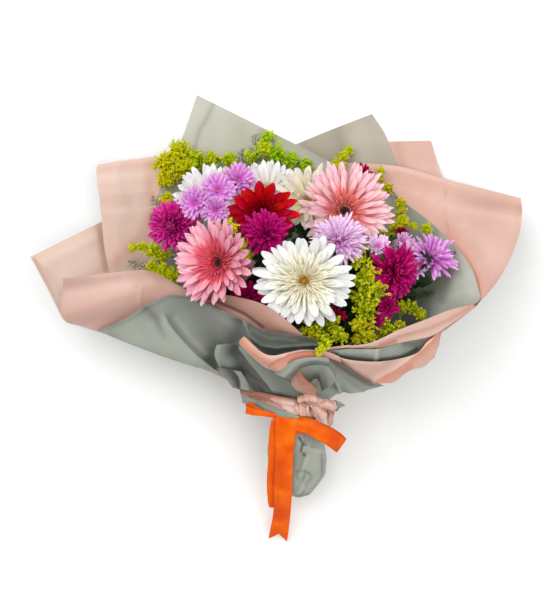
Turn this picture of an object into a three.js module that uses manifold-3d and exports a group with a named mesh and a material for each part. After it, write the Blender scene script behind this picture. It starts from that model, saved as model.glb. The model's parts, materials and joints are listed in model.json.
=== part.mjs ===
// Mixed flower bouquet lying on its back: wrapping sheets, cut flowers, tie ribbon and a wrapped handle.
// Millimetres, +Z up, the table is z = 0. The flowers point away from the table and towards +Y,
// the handle points towards -Y. The origin is set at the end to the middle of the underside.
import * as THREE from 'three';
import { mergeVertices } from 'three/addons/utils/BufferGeometryUtils.js';
import Module from 'manifold-3d';

// ---------- driving dimensions ----------
const PAPER = 0.9;          // thickness of one folded wrapping sheet as modelled
const FLOOR = 0.6;          // lowest middle plane of a sheet
const GAP = 0.35;           // clearance left between neighbouring pieces
const RIBBON_THICK = 0.9;
const BUNDLE_RADIUS = 17.4; // stems at the neck
const TIE_RADIUS = 19.3;    // outside of the stem tie
// handle wrap: stations along the bundle, [distance from the neck, half width, half depth]
const SLEEVE = { thick: 1.1, lean: 3, stations: [[-119, 0, 0], [-117.5, 8, 7], [-111, 18, 17.5], [-99, 26, 24], [-85, 31.5, 27], [-70, 33.5, 28], [-52, 33.2, 27.8], [-30, 29.5, 26.6], [-10, 25.6, 25.4]] };
const KNOT = { at: [11.8,-127.1,112.5], half: [11, 7.5, 4.2], tilt: 0.6 };
const PETALS = 18;          // rays drawn on each gerbera outline
const DISC = 0.2;           // gerbera eye, share of the head radius

// ---------- control data (mm) ----------
const SHEETS = [
  { name: 'wrap_back_left_sage', inside: 'sage', outside: 'peach', cells: [5, 7], ribs: [
    [[2.1,-128.5,77.2], [5.5,-123.7,70.5], [12.1,-120.1,65.8], [19.5,-118.4,63.8], [25.2,-118.3,63.9]],
    [[0.2,-113.7,87.4], [3.9,-108.5,80.3], [10.9,-104.7,75.1], [18.8,-102.9,73], [24.9,-102.8,73.1]],
    [[-41.5,-77.4,78], [-18.9,-82.6,60], [4,-84.2,50], [24.8,-84.3,47], [43.2,-85.3,50]],
    [[-110.5,-19.5,65], [-74.8,-24.4,38], [-35.6,-24.5,23], [4.1,-24.6,18], [41.5,-25.7,20]],
    [[-143.3,74.3,36], [-101.2,53.8,18], [-52.2,44.6,11], [-2.9,40,9], [41.7,37.6,10]],
    [[-133.9,141.5,19], [-89.9,126.9,9], [-42.9,115.3,7], [4.1,105.9,6], [48.8,96.4,8]],
    [[-112.4,191.9,5], [-73.6,179.1,3], [-31.2,162.5,4], [11.2,144.8,5.2], [58.2,127,7]],
    [[-93.8,246.6,0.6], [-50.1,224.7,0.8], [-6.5,202.7,2.8], [37.1,180.8,4.4], [80.6,158.8,6.4]],
  ] },
  { name: 'wrap_back_mid_sage', inside: 'sage', outside: 'peach', cells: [4, 7], ribs: [
    [[9.9,-117.9,62.6], [14.6,-116.6,61], [19.7,-115.8,60.2], [24.9,-115.7,60.2], [30,-116.3,61.2]],
    [[8.1,-101.9,71.1], [13.4,-100.4,69.3], [19,-99.6,68.4], [24.8,-99.5,68.5], [30.4,-100.1,69.5]],
    [[0.6,-84.6,40], [13.3,-85.8,38], [26.1,-87,38], [40,-86.9,40], [53.8,-87.9,43]],
    [[-17,-25.9,9], [8.8,-25.9,7], [34.7,-25.9,6], [60.5,-25.9,8], [83.9,-27,12]],
    [[-17.1,49.5,2.2], [15.9,49.5,0.6], [49,49.5,0.6], [82,49.5,0.6], [112.5,49.5,4]],
    [[-1.8,122.7,0.6], [30.1,130.9,0.6], [65.5,136.8,0.6], [95,136.8,0.6], [126.8,134.4,1.6]],
    [[10,182.9,0.6], [59.6,203.5,0.6], [112.7,224.1,0.6], [128,200.5,1.2], [143.2,162.7,2.2]],
  ] },
  { name: 'wrap_back_right_peach', inside: 'peach', outside: 'sage', cells: [3, 6], ribs: [
    [[32.4,-116.8,62], [36.2,-117.9,63.7], [39.6,-119.4,66], [42.5,-121.3,68.7]],
    [[33.1,-100.7,70.4], [37.3,-101.9,72.4], [41,-103.6,74.9], [44.2,-105.7,77.9]],
    [[62.1,-89.3,37], [71.3,-90.4,40], [79.3,-91.4,43], [87.2,-92.4,47]],
    [[91.1,-28.2,9], [107.3,-29.3,13], [121,-30.4,20], [132.2,-31.5,28]],
    [[114.9,49.5,3.6], [134.6,48.2,7.6], [151.8,46.9,14], [165.3,45.6,22]],
    [[129.1,122.6,1.4], [149.1,122.6,2.4], [168.9,120,6], [187.2,115,12]],
    [[130.9,191.6,0.6], [156.3,192.3,0.8], [182.2,192.4,1.6], [194.5,146.9,9]],
  ] },
  { name: 'wrap_left_upper_peach', inside: 'peach', outside: 'sage', cells: [4, 7], ribs: [
    [[-0.4,-131.1,80.7], [0.5,-127,75], [3.5,-123.2,69.8], [8.3,-120.1,65.6]],
    [[-2.9,-116.5,91.2], [-2,-112,84.9], [1.3,-107.9,79.2], [6.6,-104.5,74.7]],
    [[-46.2,-76.4,74], [-30.4,-80.3,60], [-14.4,-82,48], [4.1,-83.3,42]],
    [[-132.7,-25.1,77], [-100.1,-20.8,42], [-66,-19.9,22], [-31.1,-21.1,13]],
    [[-180.9,18.3,72], [-146.6,26.6,40], [-103.6,37.5,17], [-59.4,40,7.5]],
    [[-193.8,52.6,68], [-160.6,68.4,38], [-120,79.6,17], [-75.9,82.3,7]],
    [[-200.3,105.6,60], [-168,115.1,32], [-130.9,124.4,12], [-85.4,124.8,4.5]],
    [[-206.8,152.1,52], [-173.2,158.6,26], [-137,163.4,8], [-90.2,160.3,2.5]],
    [[-206,161.6,48], [-173.4,168.1,23], [-137.1,173.6,6], [-92.6,176.9,1.2]],
  ] },
  { name: 'wrap_left_lower_peach', inside: 'peach', outside: 'sage', cells: [5, 6], ribs: [
    [[-1.1,-135.6,87], [-2.4,-132.2,82.1], [-2.3,-128.6,77.2], [-0.8,-125.2,72.4], [2.2,-122.1,68.2], [6.3,-119.4,64.6]],
    [[-4,-121.5,98.1], [-5.6,-117.7,92.8], [-5.4,-113.8,87.3], [-3.7,-110,82], [-0.4,-106.5,77.3], [4.1,-103.6,73.3]],
    [[-43.7,-93.1,84], [-47.4,-84.5,70], [-45.4,-78.2,56], [-36.4,-75.2,44], [-25,-75.4,36], [-9.9,-76.7,32]],
    [[-122.7,-56.5,92], [-123.7,-42.2,74], [-120.1,-28.7,58], [-107.1,-18.5,42], [-86.8,-11.7,27], [-63.8,-8.2,16]],
    [[-185.3,-37.2,100], [-195.4,-12.5,88], [-201.1,9.1,76], [-175.7,24.2,52], [-142.6,34.9,30], [-106.2,42.2,13]],
    [[-222.7,-23.6,108], [-236.9,4.5,102], [-247,31.7,92], [-218,52.7,66], [-179.3,68.5,36], [-136.7,77.5,12]],
    [[-240.2,-16.8,112], [-258.1,17.9,112], [-276.6,52.7,108], [-237.8,75.3,74], [-195,98.4,42], [-148.7,122.2,9]],
  ] },
  { name: 'wrap_right_peach', inside: 'peach', outside: 'sage', cells: [8, 6], ribs: [
    [[19.2,-117.2,62], [25.5,-117.1,62.1], [31.5,-118,63.6], [36.9,-119.8,66.4], [41.1,-122.4,70.3], [43.9,-125.7,74.9], [45,-129.3,80], [44.3,-132.9,85.1], [42,-136.4,89.9]],
    [[18.4,-101.3,70.8], [25.3,-101.2,70.8], [32,-102.2,72.5], [37.8,-104.2,75.5], [42.4,-107.1,79.8], [45.5,-110.6,84.9], [46.7,-114.5,90.4], [45.9,-118.5,96], [43.4,-122.3,101.2]],
    [[27.2,-87.9,43], [43.4,-87.9,44], [59.5,-88.9,47], [73.1,-91,53], [82.1,-93,60], [86.3,-96.1,68], [87.2,-98,76], [85.6,-98.7,85], [81.9,-99.4,94]],
    [[48.7,-21.1,13], [74.5,-23.5,13], [97.7,-26.9,18], [118.2,-32.6,28], [133.7,-39.4,42], [141.9,-48.3,58], [141.8,-57,76], [132.7,-65.5,94], [118.3,-71.7,110]],
    [[67.6,49.4,7], [95.8,47,7.5], [126.1,44.6,13], [153.3,37.3,26], [172.8,24.3,45], [182.4,4.6,68], [182.6,-18.1,92], [169.5,-38,114], [148.2,-51.1,130]],
    [[79.5,116.6,5], [112.4,115.4,5], [149.7,110.4,11], [185.9,102.6,27], [216.2,87.6,50], [227.3,59.2,76], [221.1,22.5,102], [204.1,-6.7,126], [173.9,-28.7,142]],
    [[70.1,167.3,4], [141.8,162.4,5.5], [192.7,147.6,16], [240.8,133.5,36], [280.1,121.4,64], [277.8,89.7,82], [260,44.9,106], [227.9,4.4,132], [183.1,-30.8,150]],
  ] },
  { name: 'wrap_right_sage_liner', inside: 'sage', outside: 'peach', cells: [9, 6], ribs: [
    [[26.6,-118.4,64.1], [32.6,-119.7,66], [37.1,-121.6,69], [40.4,-124.2,72.8], [42.4,-127.3,77.2], [42.8,-130.6,81.8], [41.3,-134.2,86.9], [38,-137.5,91.3], [33.2,-140,94.7], [27.3,-141.6,96.6]],
    [[26.5,-102.9,73.3], [32.9,-104.2,75.4], [37.7,-106.3,78.6], [41.3,-109.1,82.7], [43.4,-112.4,87.4], [43.8,-116,92.4], [42.3,-119.9,97.8], [38.7,-123.4,102.6], [33.5,-126.1,106.2], [27.2,-127.8,108.3]],
    [[47.7,-82.8,55], [59.2,-83.9,58], [67,-84.8,64], [72.5,-86.8,71], [74.5,-88.7,79], [74.2,-90.6,88], [71.6,-91.3,98], [66.8,-92,108], [60.9,-91.6,117], [54,-90.2,124]],
    [[76.4,-21,24], [94.9,-25.6,29], [110.7,-32.5,39], [121.5,-40.3,52], [127.6,-48.1,67], [127.7,-54.5,83], [122.2,-59.7,100], [111.1,-63.7,118], [97,-65.4,134], [80.9,-64.9,148]],
    [[95.4,51.5,18], [120.7,44.3,25], [142,33.6,39], [156.9,20.7,57], [165.7,5.7,77], [166.3,-10.1,98], [160.1,-24.5,120], [145.3,-35.4,140], [127.6,-42.7,158], [108.1,-48.9,174]],
    [[111.8,107.7,17], [140.6,95.7,25], [166,78.7,43], [185,58.4,64], [195.4,36.2,88], [198.8,13.4,112], [194.5,-5.5,134], [169.5,-18.6,155], [145.2,-28.3,172], [122.6,-36.7,186]],
    [[127,133.4,18], [157.6,111.6,32], [183.6,88.6,54], [206.5,63.7,79], [220.9,37.1,104], [227.1,6.7,130], [217.6,0,146], [187.7,-7.1,160], [156.1,-18.5,172], [129.3,-28.7,182]],
  ] },
  { name: 'wrap_front_left_peach', inside: 'peach', outside: 'sage', cells: [6, 6], ribs: [
    [[3.3,-135,86.3], [5.3,-137.1,89.5], [8.1,-139,92.2], [11.5,-140.5,94.4], [15.3,-141.5,96], [19.5,-142,96.9], [23.7,-142,97]],
    [[1.5,-120.7,97.2], [3.6,-123,100.6], [6.6,-125,103.5], [10.2,-126.6,105.8], [14.4,-127.7,107.5], [18.8,-128.2,108.5], [23.4,-128.2,108.7]],
    [[-44.7,-89.4,90], [-37.8,-83.4,98], [-29.8,-78.7,105], [-19.6,-75,112], [-7.3,-72.6,118], [6.1,-71.3,122], [21.7,-71.3,124]],
    [[-142.5,-49.6,100], [-121.5,-40.3,112], [-98.5,-33.4,124], [-73.5,-32.1,138], [-42.3,-35.2,150], [-13.7,-43.8,160], [16.9,-48,164]],
    [[-215.8,-25.8,110], [-182.2,-16.7,122], [-140.2,-8.9,134], [-101.7,-7.7,150], [-52.8,-17.4,170], [-15.7,-30.3,184], [21,-39.9,190]],
    [[-237.5,-14.5,126], [-188.9,-2.2,134], [-140.5,9.9,146], [-101.1,6.6,162], [-49.2,-5.4,182], [-12.4,-19.3,196], [24.1,-35.4,200]],
    [[-235.2,28.6,146], [-185.6,34.2,146], [-138.8,36.2,154], [-100.8,17.4,168], [-43.7,7.6,188], [-9.1,-3.2,200], [28.4,-32.1,204]],
  ] },
  { name: 'wrap_front_left_sage', inside: 'peach', outside: 'sage', cells: [6, 5], ribs: [
    [[-0.4,-136.5,88.3], [1,-138,90.5], [2.7,-139.4,92.6], [5,-140.9,94.7], [7.7,-142.1,96.6], [10.2,-143,97.9], [13,-143.7,99]],
    [[-3.3,-122.5,99.6], [-1.8,-124.2,102], [0.1,-125.8,104.3], [2.7,-127.4,106.7], [5.7,-128.8,108.8], [8.5,-129.8,110.3], [11.5,-130.6,111.5]],
    [[-43.5,-96.1,93], [-39.9,-88.9,102], [-35.3,-83,110], [-30.7,-78.2,117], [-25.1,-74.6,123], [-19.5,-71.2,127], [-13.9,-69.9,130]],
    [[-64.9,-80.1,97], [-55.5,-69.5,110], [-47.3,-60.1,124], [-40.4,-53.1,137], [-33.6,-48.5,147], [-29.1,-46.1,154], [-24.6,-44.9,160]],
    [[-131,-57.4,103], [-113.2,-42.4,120], [-95.5,-29.8,142], [-78.2,-20.8,160], [-61.4,-19.6,174], [-46,-24.9,183], [-32.9,-31.3,187]],
    [[-201,-28.6,112], [-175,-18.9,129], [-143.1,-2.2,156], [-115.3,9.2,182], [-87.8,5.4,192], [-61.7,-5.9,198], [-38,-18.2,202]],
  ] },
  { name: 'wrap_front_mid_sage', inside: 'peach', outside: 'sage', cells: [4, 4], ribs: [
    [[11,-141.8,96.2], [15.3,-142.8,97.8], [19.9,-143.3,98.7], [24.7,-143.2,98.8], [28.6,-142.7,98.2]],
    [[9.5,-128.2,108.1], [14.2,-129.3,109.9], [19.3,-129.9,110.9], [24.5,-129.8,110.9], [28.7,-129.2,110.3]],
    [[-9.5,-73.5,124], [2.8,-74.5,128], [15,-74.4,130], [27.2,-74.4,130], [38.4,-75.6,127]],
    [[-20.3,-52.6,156], [-4.9,-57.9,164], [12.5,-58.9,168], [28.9,-57.8,168], [43.1,-59,164]],
    [[-29.7,-33.5,186], [-11.3,-42,192], [10.2,-45.1,196], [31.7,-46.2,196], [49.1,-49.6,190]],
    [[-35.9,-17.2,201], [-15.5,-28.9,207], [8,-32.6,210], [31.5,-36.3,210], [55.1,-43.9,204]],
  ] },
  { name: 'wrap_front_right_lip', inside: 'peach', outside: 'sage', cells: [9, 2], ribs: [
    [[48.6,-48,210], [74.2,-44.8,210], [100,-41.2,206], [129.5,-28.5,197], [159.3,-17.3,187], [188.7,-6.5,172], [216.9,-0.5,152]],
    [[48.6,-49.7,207], [75.4,-46.5,205], [104.6,-44,199], [134.2,-34.5,190], [164.2,-26,179], [191.4,-14.2,167], [218.3,-2.7,150]],
    [[49.8,-50.3,203], [76.8,-47.8,198], [109.5,-47.5,189], [138.1,-40.6,180], [169.5,-34.3,168], [194.1,-19.7,161], [218.5,-4.4,148]],
  ] },
  { name: 'wrap_front_right_sage', inside: 'sage', outside: 'peach', cells: [6, 3], ribs: [
    [[53.2,-51,198], [79.2,-48.5,192], [109.8,-48.1,183], [137.5,-41.3,173], [164.4,-38.2,163]],
    [[54.4,-51.7,190], [80.6,-55.2,183], [112.1,-55.8,180], [136.8,-50.1,168], [160.6,-44.9,156]],
    [[55.7,-53,182], [80.9,-59.7,176], [112.5,-62,173], [137.3,-59.6,160], [155.7,-52.8,149]],
    [[63.2,-70.4,150], [83.1,-74.8,148], [105.3,-78.3,145], [125.4,-75.1,140], [141.3,-67.6,134]],
  ] },
  { name: 'wrap_front_right_peach', inside: 'peach', outside: 'sage', cells: [9, 3], ribs: [
    [[58.8,-53.4,190], [79.4,-60,186], [112,-62.2,182], [135.5,-59.3,171], [153.6,-51.4,162], [165.4,-39.4,158], [177.1,-31.2,156]],
    [[61,-55.6,186], [81.8,-65,180], [110.3,-69.5,174], [132.7,-66.6,163], [151.8,-58.7,156], [167.6,-49.5,151], [178.2,-41.8,149]],
    [[63.4,-57.4,180], [86.6,-71.9,170], [106.5,-79.7,164], [129.1,-76.9,152], [149.1,-66,148], [166,-59,144], [177.1,-51.9,143]],
    [[65.9,-62.1,168], [89.2,-76,160], [107.1,-85.7,152], [128.6,-86.1,142], [147.6,-73,138], [163.4,-68.7,135], [174.4,-59.8,136]],
  ] },
  { name: 'wrap_front_pleat_peach', inside: 'peach', outside: 'sage', cells: [9, 3], ribs: [
    [[-34.9,-34.9,198], [-26.3,-42.4,201], [-15.5,-51.4,204], [-4.8,-54.8,207], [12.3,-51.7,211], [29.3,-48.8,214], [50.6,-50.6,213]],
    [[-37.6,-37.6,195], [-30.6,-46.7,198], [-16.6,-56.3,201], [-5.9,-61.6,204], [10.2,-56.6,208], [28.3,-52.3,210], [50.8,-53.4,208]],
    [[-39.4,-42,190], [-29.6,-51.2,192], [-15.6,-61.9,193], [-2.7,-67.2,194], [12.3,-61.7,200], [29.5,-57.3,203], [52,-57.9,201]],
    [[-33.1,-52.2,174], [-22.3,-60.3,175], [-9.2,-69.5,176], [2.7,-74.9,176], [16.8,-73.1,180], [33,-67.1,182], [50.4,-65,180]],
  ] },
  { name: 'wrap_front_flap_sage', inside: 'peach', outside: 'sage', cells: [9, 4], ribs: [
    [[-64.1,-42.9,176], [-52.5,-42.8,182], [-39.4,-46.5,186], [-15.7,-62.4,178], [7.1,-79.7,164], [25.8,-93.5,150], [40.3,-103.9,140]],
    [[-66.6,-52.4,164], [-55,-54.4,170], [-38.6,-58.7,175], [-22.4,-72.1,164], [-1.6,-86.7,153], [18.2,-97.1,143], [33.8,-105.2,135]],
    [[-63.3,-66,148], [-50,-68.1,152], [-34.6,-73.5,154], [-22.6,-82.5,148], [-7.2,-92.7,142], [9.4,-100.7,136], [26.1,-106.5,131]],
    [[-56.1,-75.5,130], [-43.8,-81,132], [-30.5,-86.5,132], [-18.3,-93.3,130], [-6.1,-98.9,128], [7.2,-104,126], [21.7,-108.5,125]],
  ] },
  { name: 'wrap_front_roll_sage', inside: 'peach', outside: 'sage', cells: [8, 3], ribs: [
    [[17,-84.3,158], [21.2,-69.7,170], [32,-62.4,176], [43.9,-61.8,177], [52.8,-67.4,172], [58.4,-76.4,164], [64.1,-84.4,156]],
    [[22.5,-87.9,152], [27.9,-75.4,162], [36.5,-68.7,168], [45.2,-68.6,169], [51.8,-74.2,165], [56.4,-83.2,158], [59.9,-91.3,150]],
    [[30.3,-93.7,144], [34.6,-83.6,150], [41.2,-76.8,154], [46.6,-77.9,155], [51.1,-84.6,152], [53.4,-92.5,146], [54.7,-99.4,140]],
  ] },
  { name: 'wrap_front_right_cone_sage', inside: 'peach', outside: 'sage', cells: [5, 5], ribs: [
    [[45.1,-135.6,88.9], [41.4,-139.1,93.7], [36.2,-141.9,97.4], [30,-143.8,99.8], [23.2,-144.6,100.6], [16.3,-144.3,100]],
    [[47.1,-121.5,100.3], [43,-125.4,105.5], [37.3,-128.5,109.7], [30.4,-130.6,112.3], [22.8,-131.5,113.3], [15.2,-131.2,112.5]],
    [[69,-101,108], [66.5,-97.2,117], [60.6,-93.4,126], [52.7,-90.9,133], [43.7,-89.6,137], [33.7,-90.6,140]],
    [[86.5,-99.4,118], [81.6,-92.2,130], [74.5,-83.9,142], [64.3,-76.9,152], [50.9,-72.2,160], [36.6,-70.9,165]],
    [[119.2,-91,132], [105.2,-84.8,146], [89.4,-75.6,156], [73.7,-66.6,165], [58.2,-60.9,172], [38.5,-58.6,177]],
  ] },
  { name: 'wrap_collar', inside: 'peach', outside: 'sage', cells: [6, 2], ribs: [
    [[-40.4,-99.8,109.5], [-27.4,-105.6,117], [-10.6,-111.4,123.5], [8.3,-118.9,127.5], [25,-125.1,127.5]],
    [[-39.3,-103.9,106], [-26.3,-109.6,114], [-10,-114.9,120], [8.3,-121.6,124.5], [25,-126.3,125.5]],
    [[-37.7,-110.4,99.5], [-24.1,-115.6,107.5], [-8.9,-120.8,115], [8.4,-126,120.5], [25.1,-127.5,123.5]],
  ] },
  { name: 'wrap_collar_peach', inside: 'peach', outside: 'sage', cells: [6, 2], ribs: [
    [[-42,-94.6,113], [-29.5,-96.9,122.5], [-11.7,-99.7,130], [8.3,-103,135], [29.3,-106.2,137]],
    [[-40.9,-97.5,111.5], [-28.4,-100.9,120.5], [-11.1,-105,128], [9.4,-110.9,132.5], [29.4,-114.7,134]],
    [[-39.9,-102.8,106], [-26.9,-108.5,114], [-9.5,-113.8,120.5], [10.6,-120.8,125], [29.5,-123.4,128]],
  ] },
  { name: 'wrap_ruffle', inside: 'peach', outside: 'sage', cells: [5, 5], ribs: [
    [[31.6,-105.3,134], [38.1,-100.5,141], [46.9,-101.6,142], [55.8,-103.4,139], [64.9,-108.7,132]],
    [[32.6,-110.7,137], [39.7,-108,146], [48.5,-107.9,147], [57.4,-110.4,142], [67.7,-116.5,131]],
    [[37.6,-117.3,136], [43,-116.9,144], [50.1,-115.7,146], [58.6,-118.2,140], [66.7,-123.4,128]],
    [[44.9,-125.3,132], [47.6,-125,137], [52.8,-124.3,139.5], [58.5,-126.3,134], [62.9,-129,126]],
    [[51.2,-133.5,126], [53.1,-133.9,129], [56.4,-134.3,130], [60.6,-134.5,127], [64.1,-134.9,121]],
    [[54.1,-138.3,121], [55.7,-139.6,123], [57.9,-140.4,123], [60.8,-139.7,121], [63.1,-138.5,117]],
  ] },
];
const RIBBON = [
  { name: 'ribbon_tail_long', inside: 'ribbon', outside: 'ribbon', cells: [1, 12], ribs: [
    [[-0.6,-124.5,118.5], [24,-125.6,118.5]],
    [[-1.3,-133,116.3], [22.9,-134.1,116.3]],
    [[-1.7,-141.1,111.5], [21.8,-142.3,111.5]],
    [[-1.3,-154.1,103], [20.4,-155.2,103]],
    [[-1,-167.1,95], [19.2,-168.2,95]],
    [[-1.7,-181.6,84], [18.7,-182.7,84]],
    [[-2.9,-201.2,69], [18.1,-201.2,69]],
    [[-2.9,-226.1,49], [17.4,-226.1,49]],
    [[-4.1,-245.4,32], [15.7,-249,31]],
    [[-7,-262.2,18], [14.1,-265.8,17]],
    [[-9.4,-275.8,7], [12.4,-279.5,6]],
  ] },
  { name: 'ribbon_tail_short', inside: 'ribbon', outside: 'ribbon', cells: [1, 7], ribs: [
    [[-3.4,-130,110.5], [17.4,-131.1,110.5]],
    [[-5.3,-141.5,106.5], [16.3,-141.5,106.5]],
    [[-6.2,-153.2,99.5], [15.8,-153.2,99.5]],
    [[-6.8,-177.1,84], [14.2,-177.1,84]],
    [[-8.6,-201.5,65], [13.2,-201.5,65]],
    [[-7.5,-226.5,45], [14.4,-226.5,45]],
    [[-5.8,-235.4,38], [15.7,-236.6,38]],
  ] },
  { name: 'ribbon_loop_right', inside: 'ribbon', outside: 'ribbon', cells: [1, 12], ribs: [
    [[22.8,-139.8,113.5], [29.8,-122.8,118.5]],
    [[35.4,-144.4,117], [43.9,-127.9,122]],
    [[49.4,-153.3,113.5], [58.9,-137.3,119.5]],
    [[62.4,-163.1,107], [72.2,-147.5,113]],
    [[68.1,-167.3,100.5], [78.1,-152.1,105.5]],
    [[63.2,-160.4,95], [73.2,-146.4,99]],
    [[49,-150.7,96.5], [58,-136.7,100.5]],
    [[34.8,-143,102], [42.8,-129,106]],
    [[24,-137.2,106], [31,-123.2,110]],
  ] },
  { name: 'ribbon_loop_left', inside: 'ribbon', outside: 'ribbon', cells: [1, 10], ribs: [
    [[-1.9,-126.1,111], [-1.4,-116.1,109]],
    [[-16.8,-123.2,110.5], [-15.8,-112.2,109.5]],
    [[-29.1,-121.7,110.5], [-28.1,-110.2,110.5]],
    [[-35.3,-122.4,113.5], [-34.8,-112.4,116.5]],
    [[-28.5,-124,117], [-28.5,-116,122]],
    [[-16.2,-126.2,117.5], [-16.2,-118.2,122.5]],
    [[-2.8,-129.6,115.5], [-2.8,-120.6,119.5]],
  ] },
];
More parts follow.
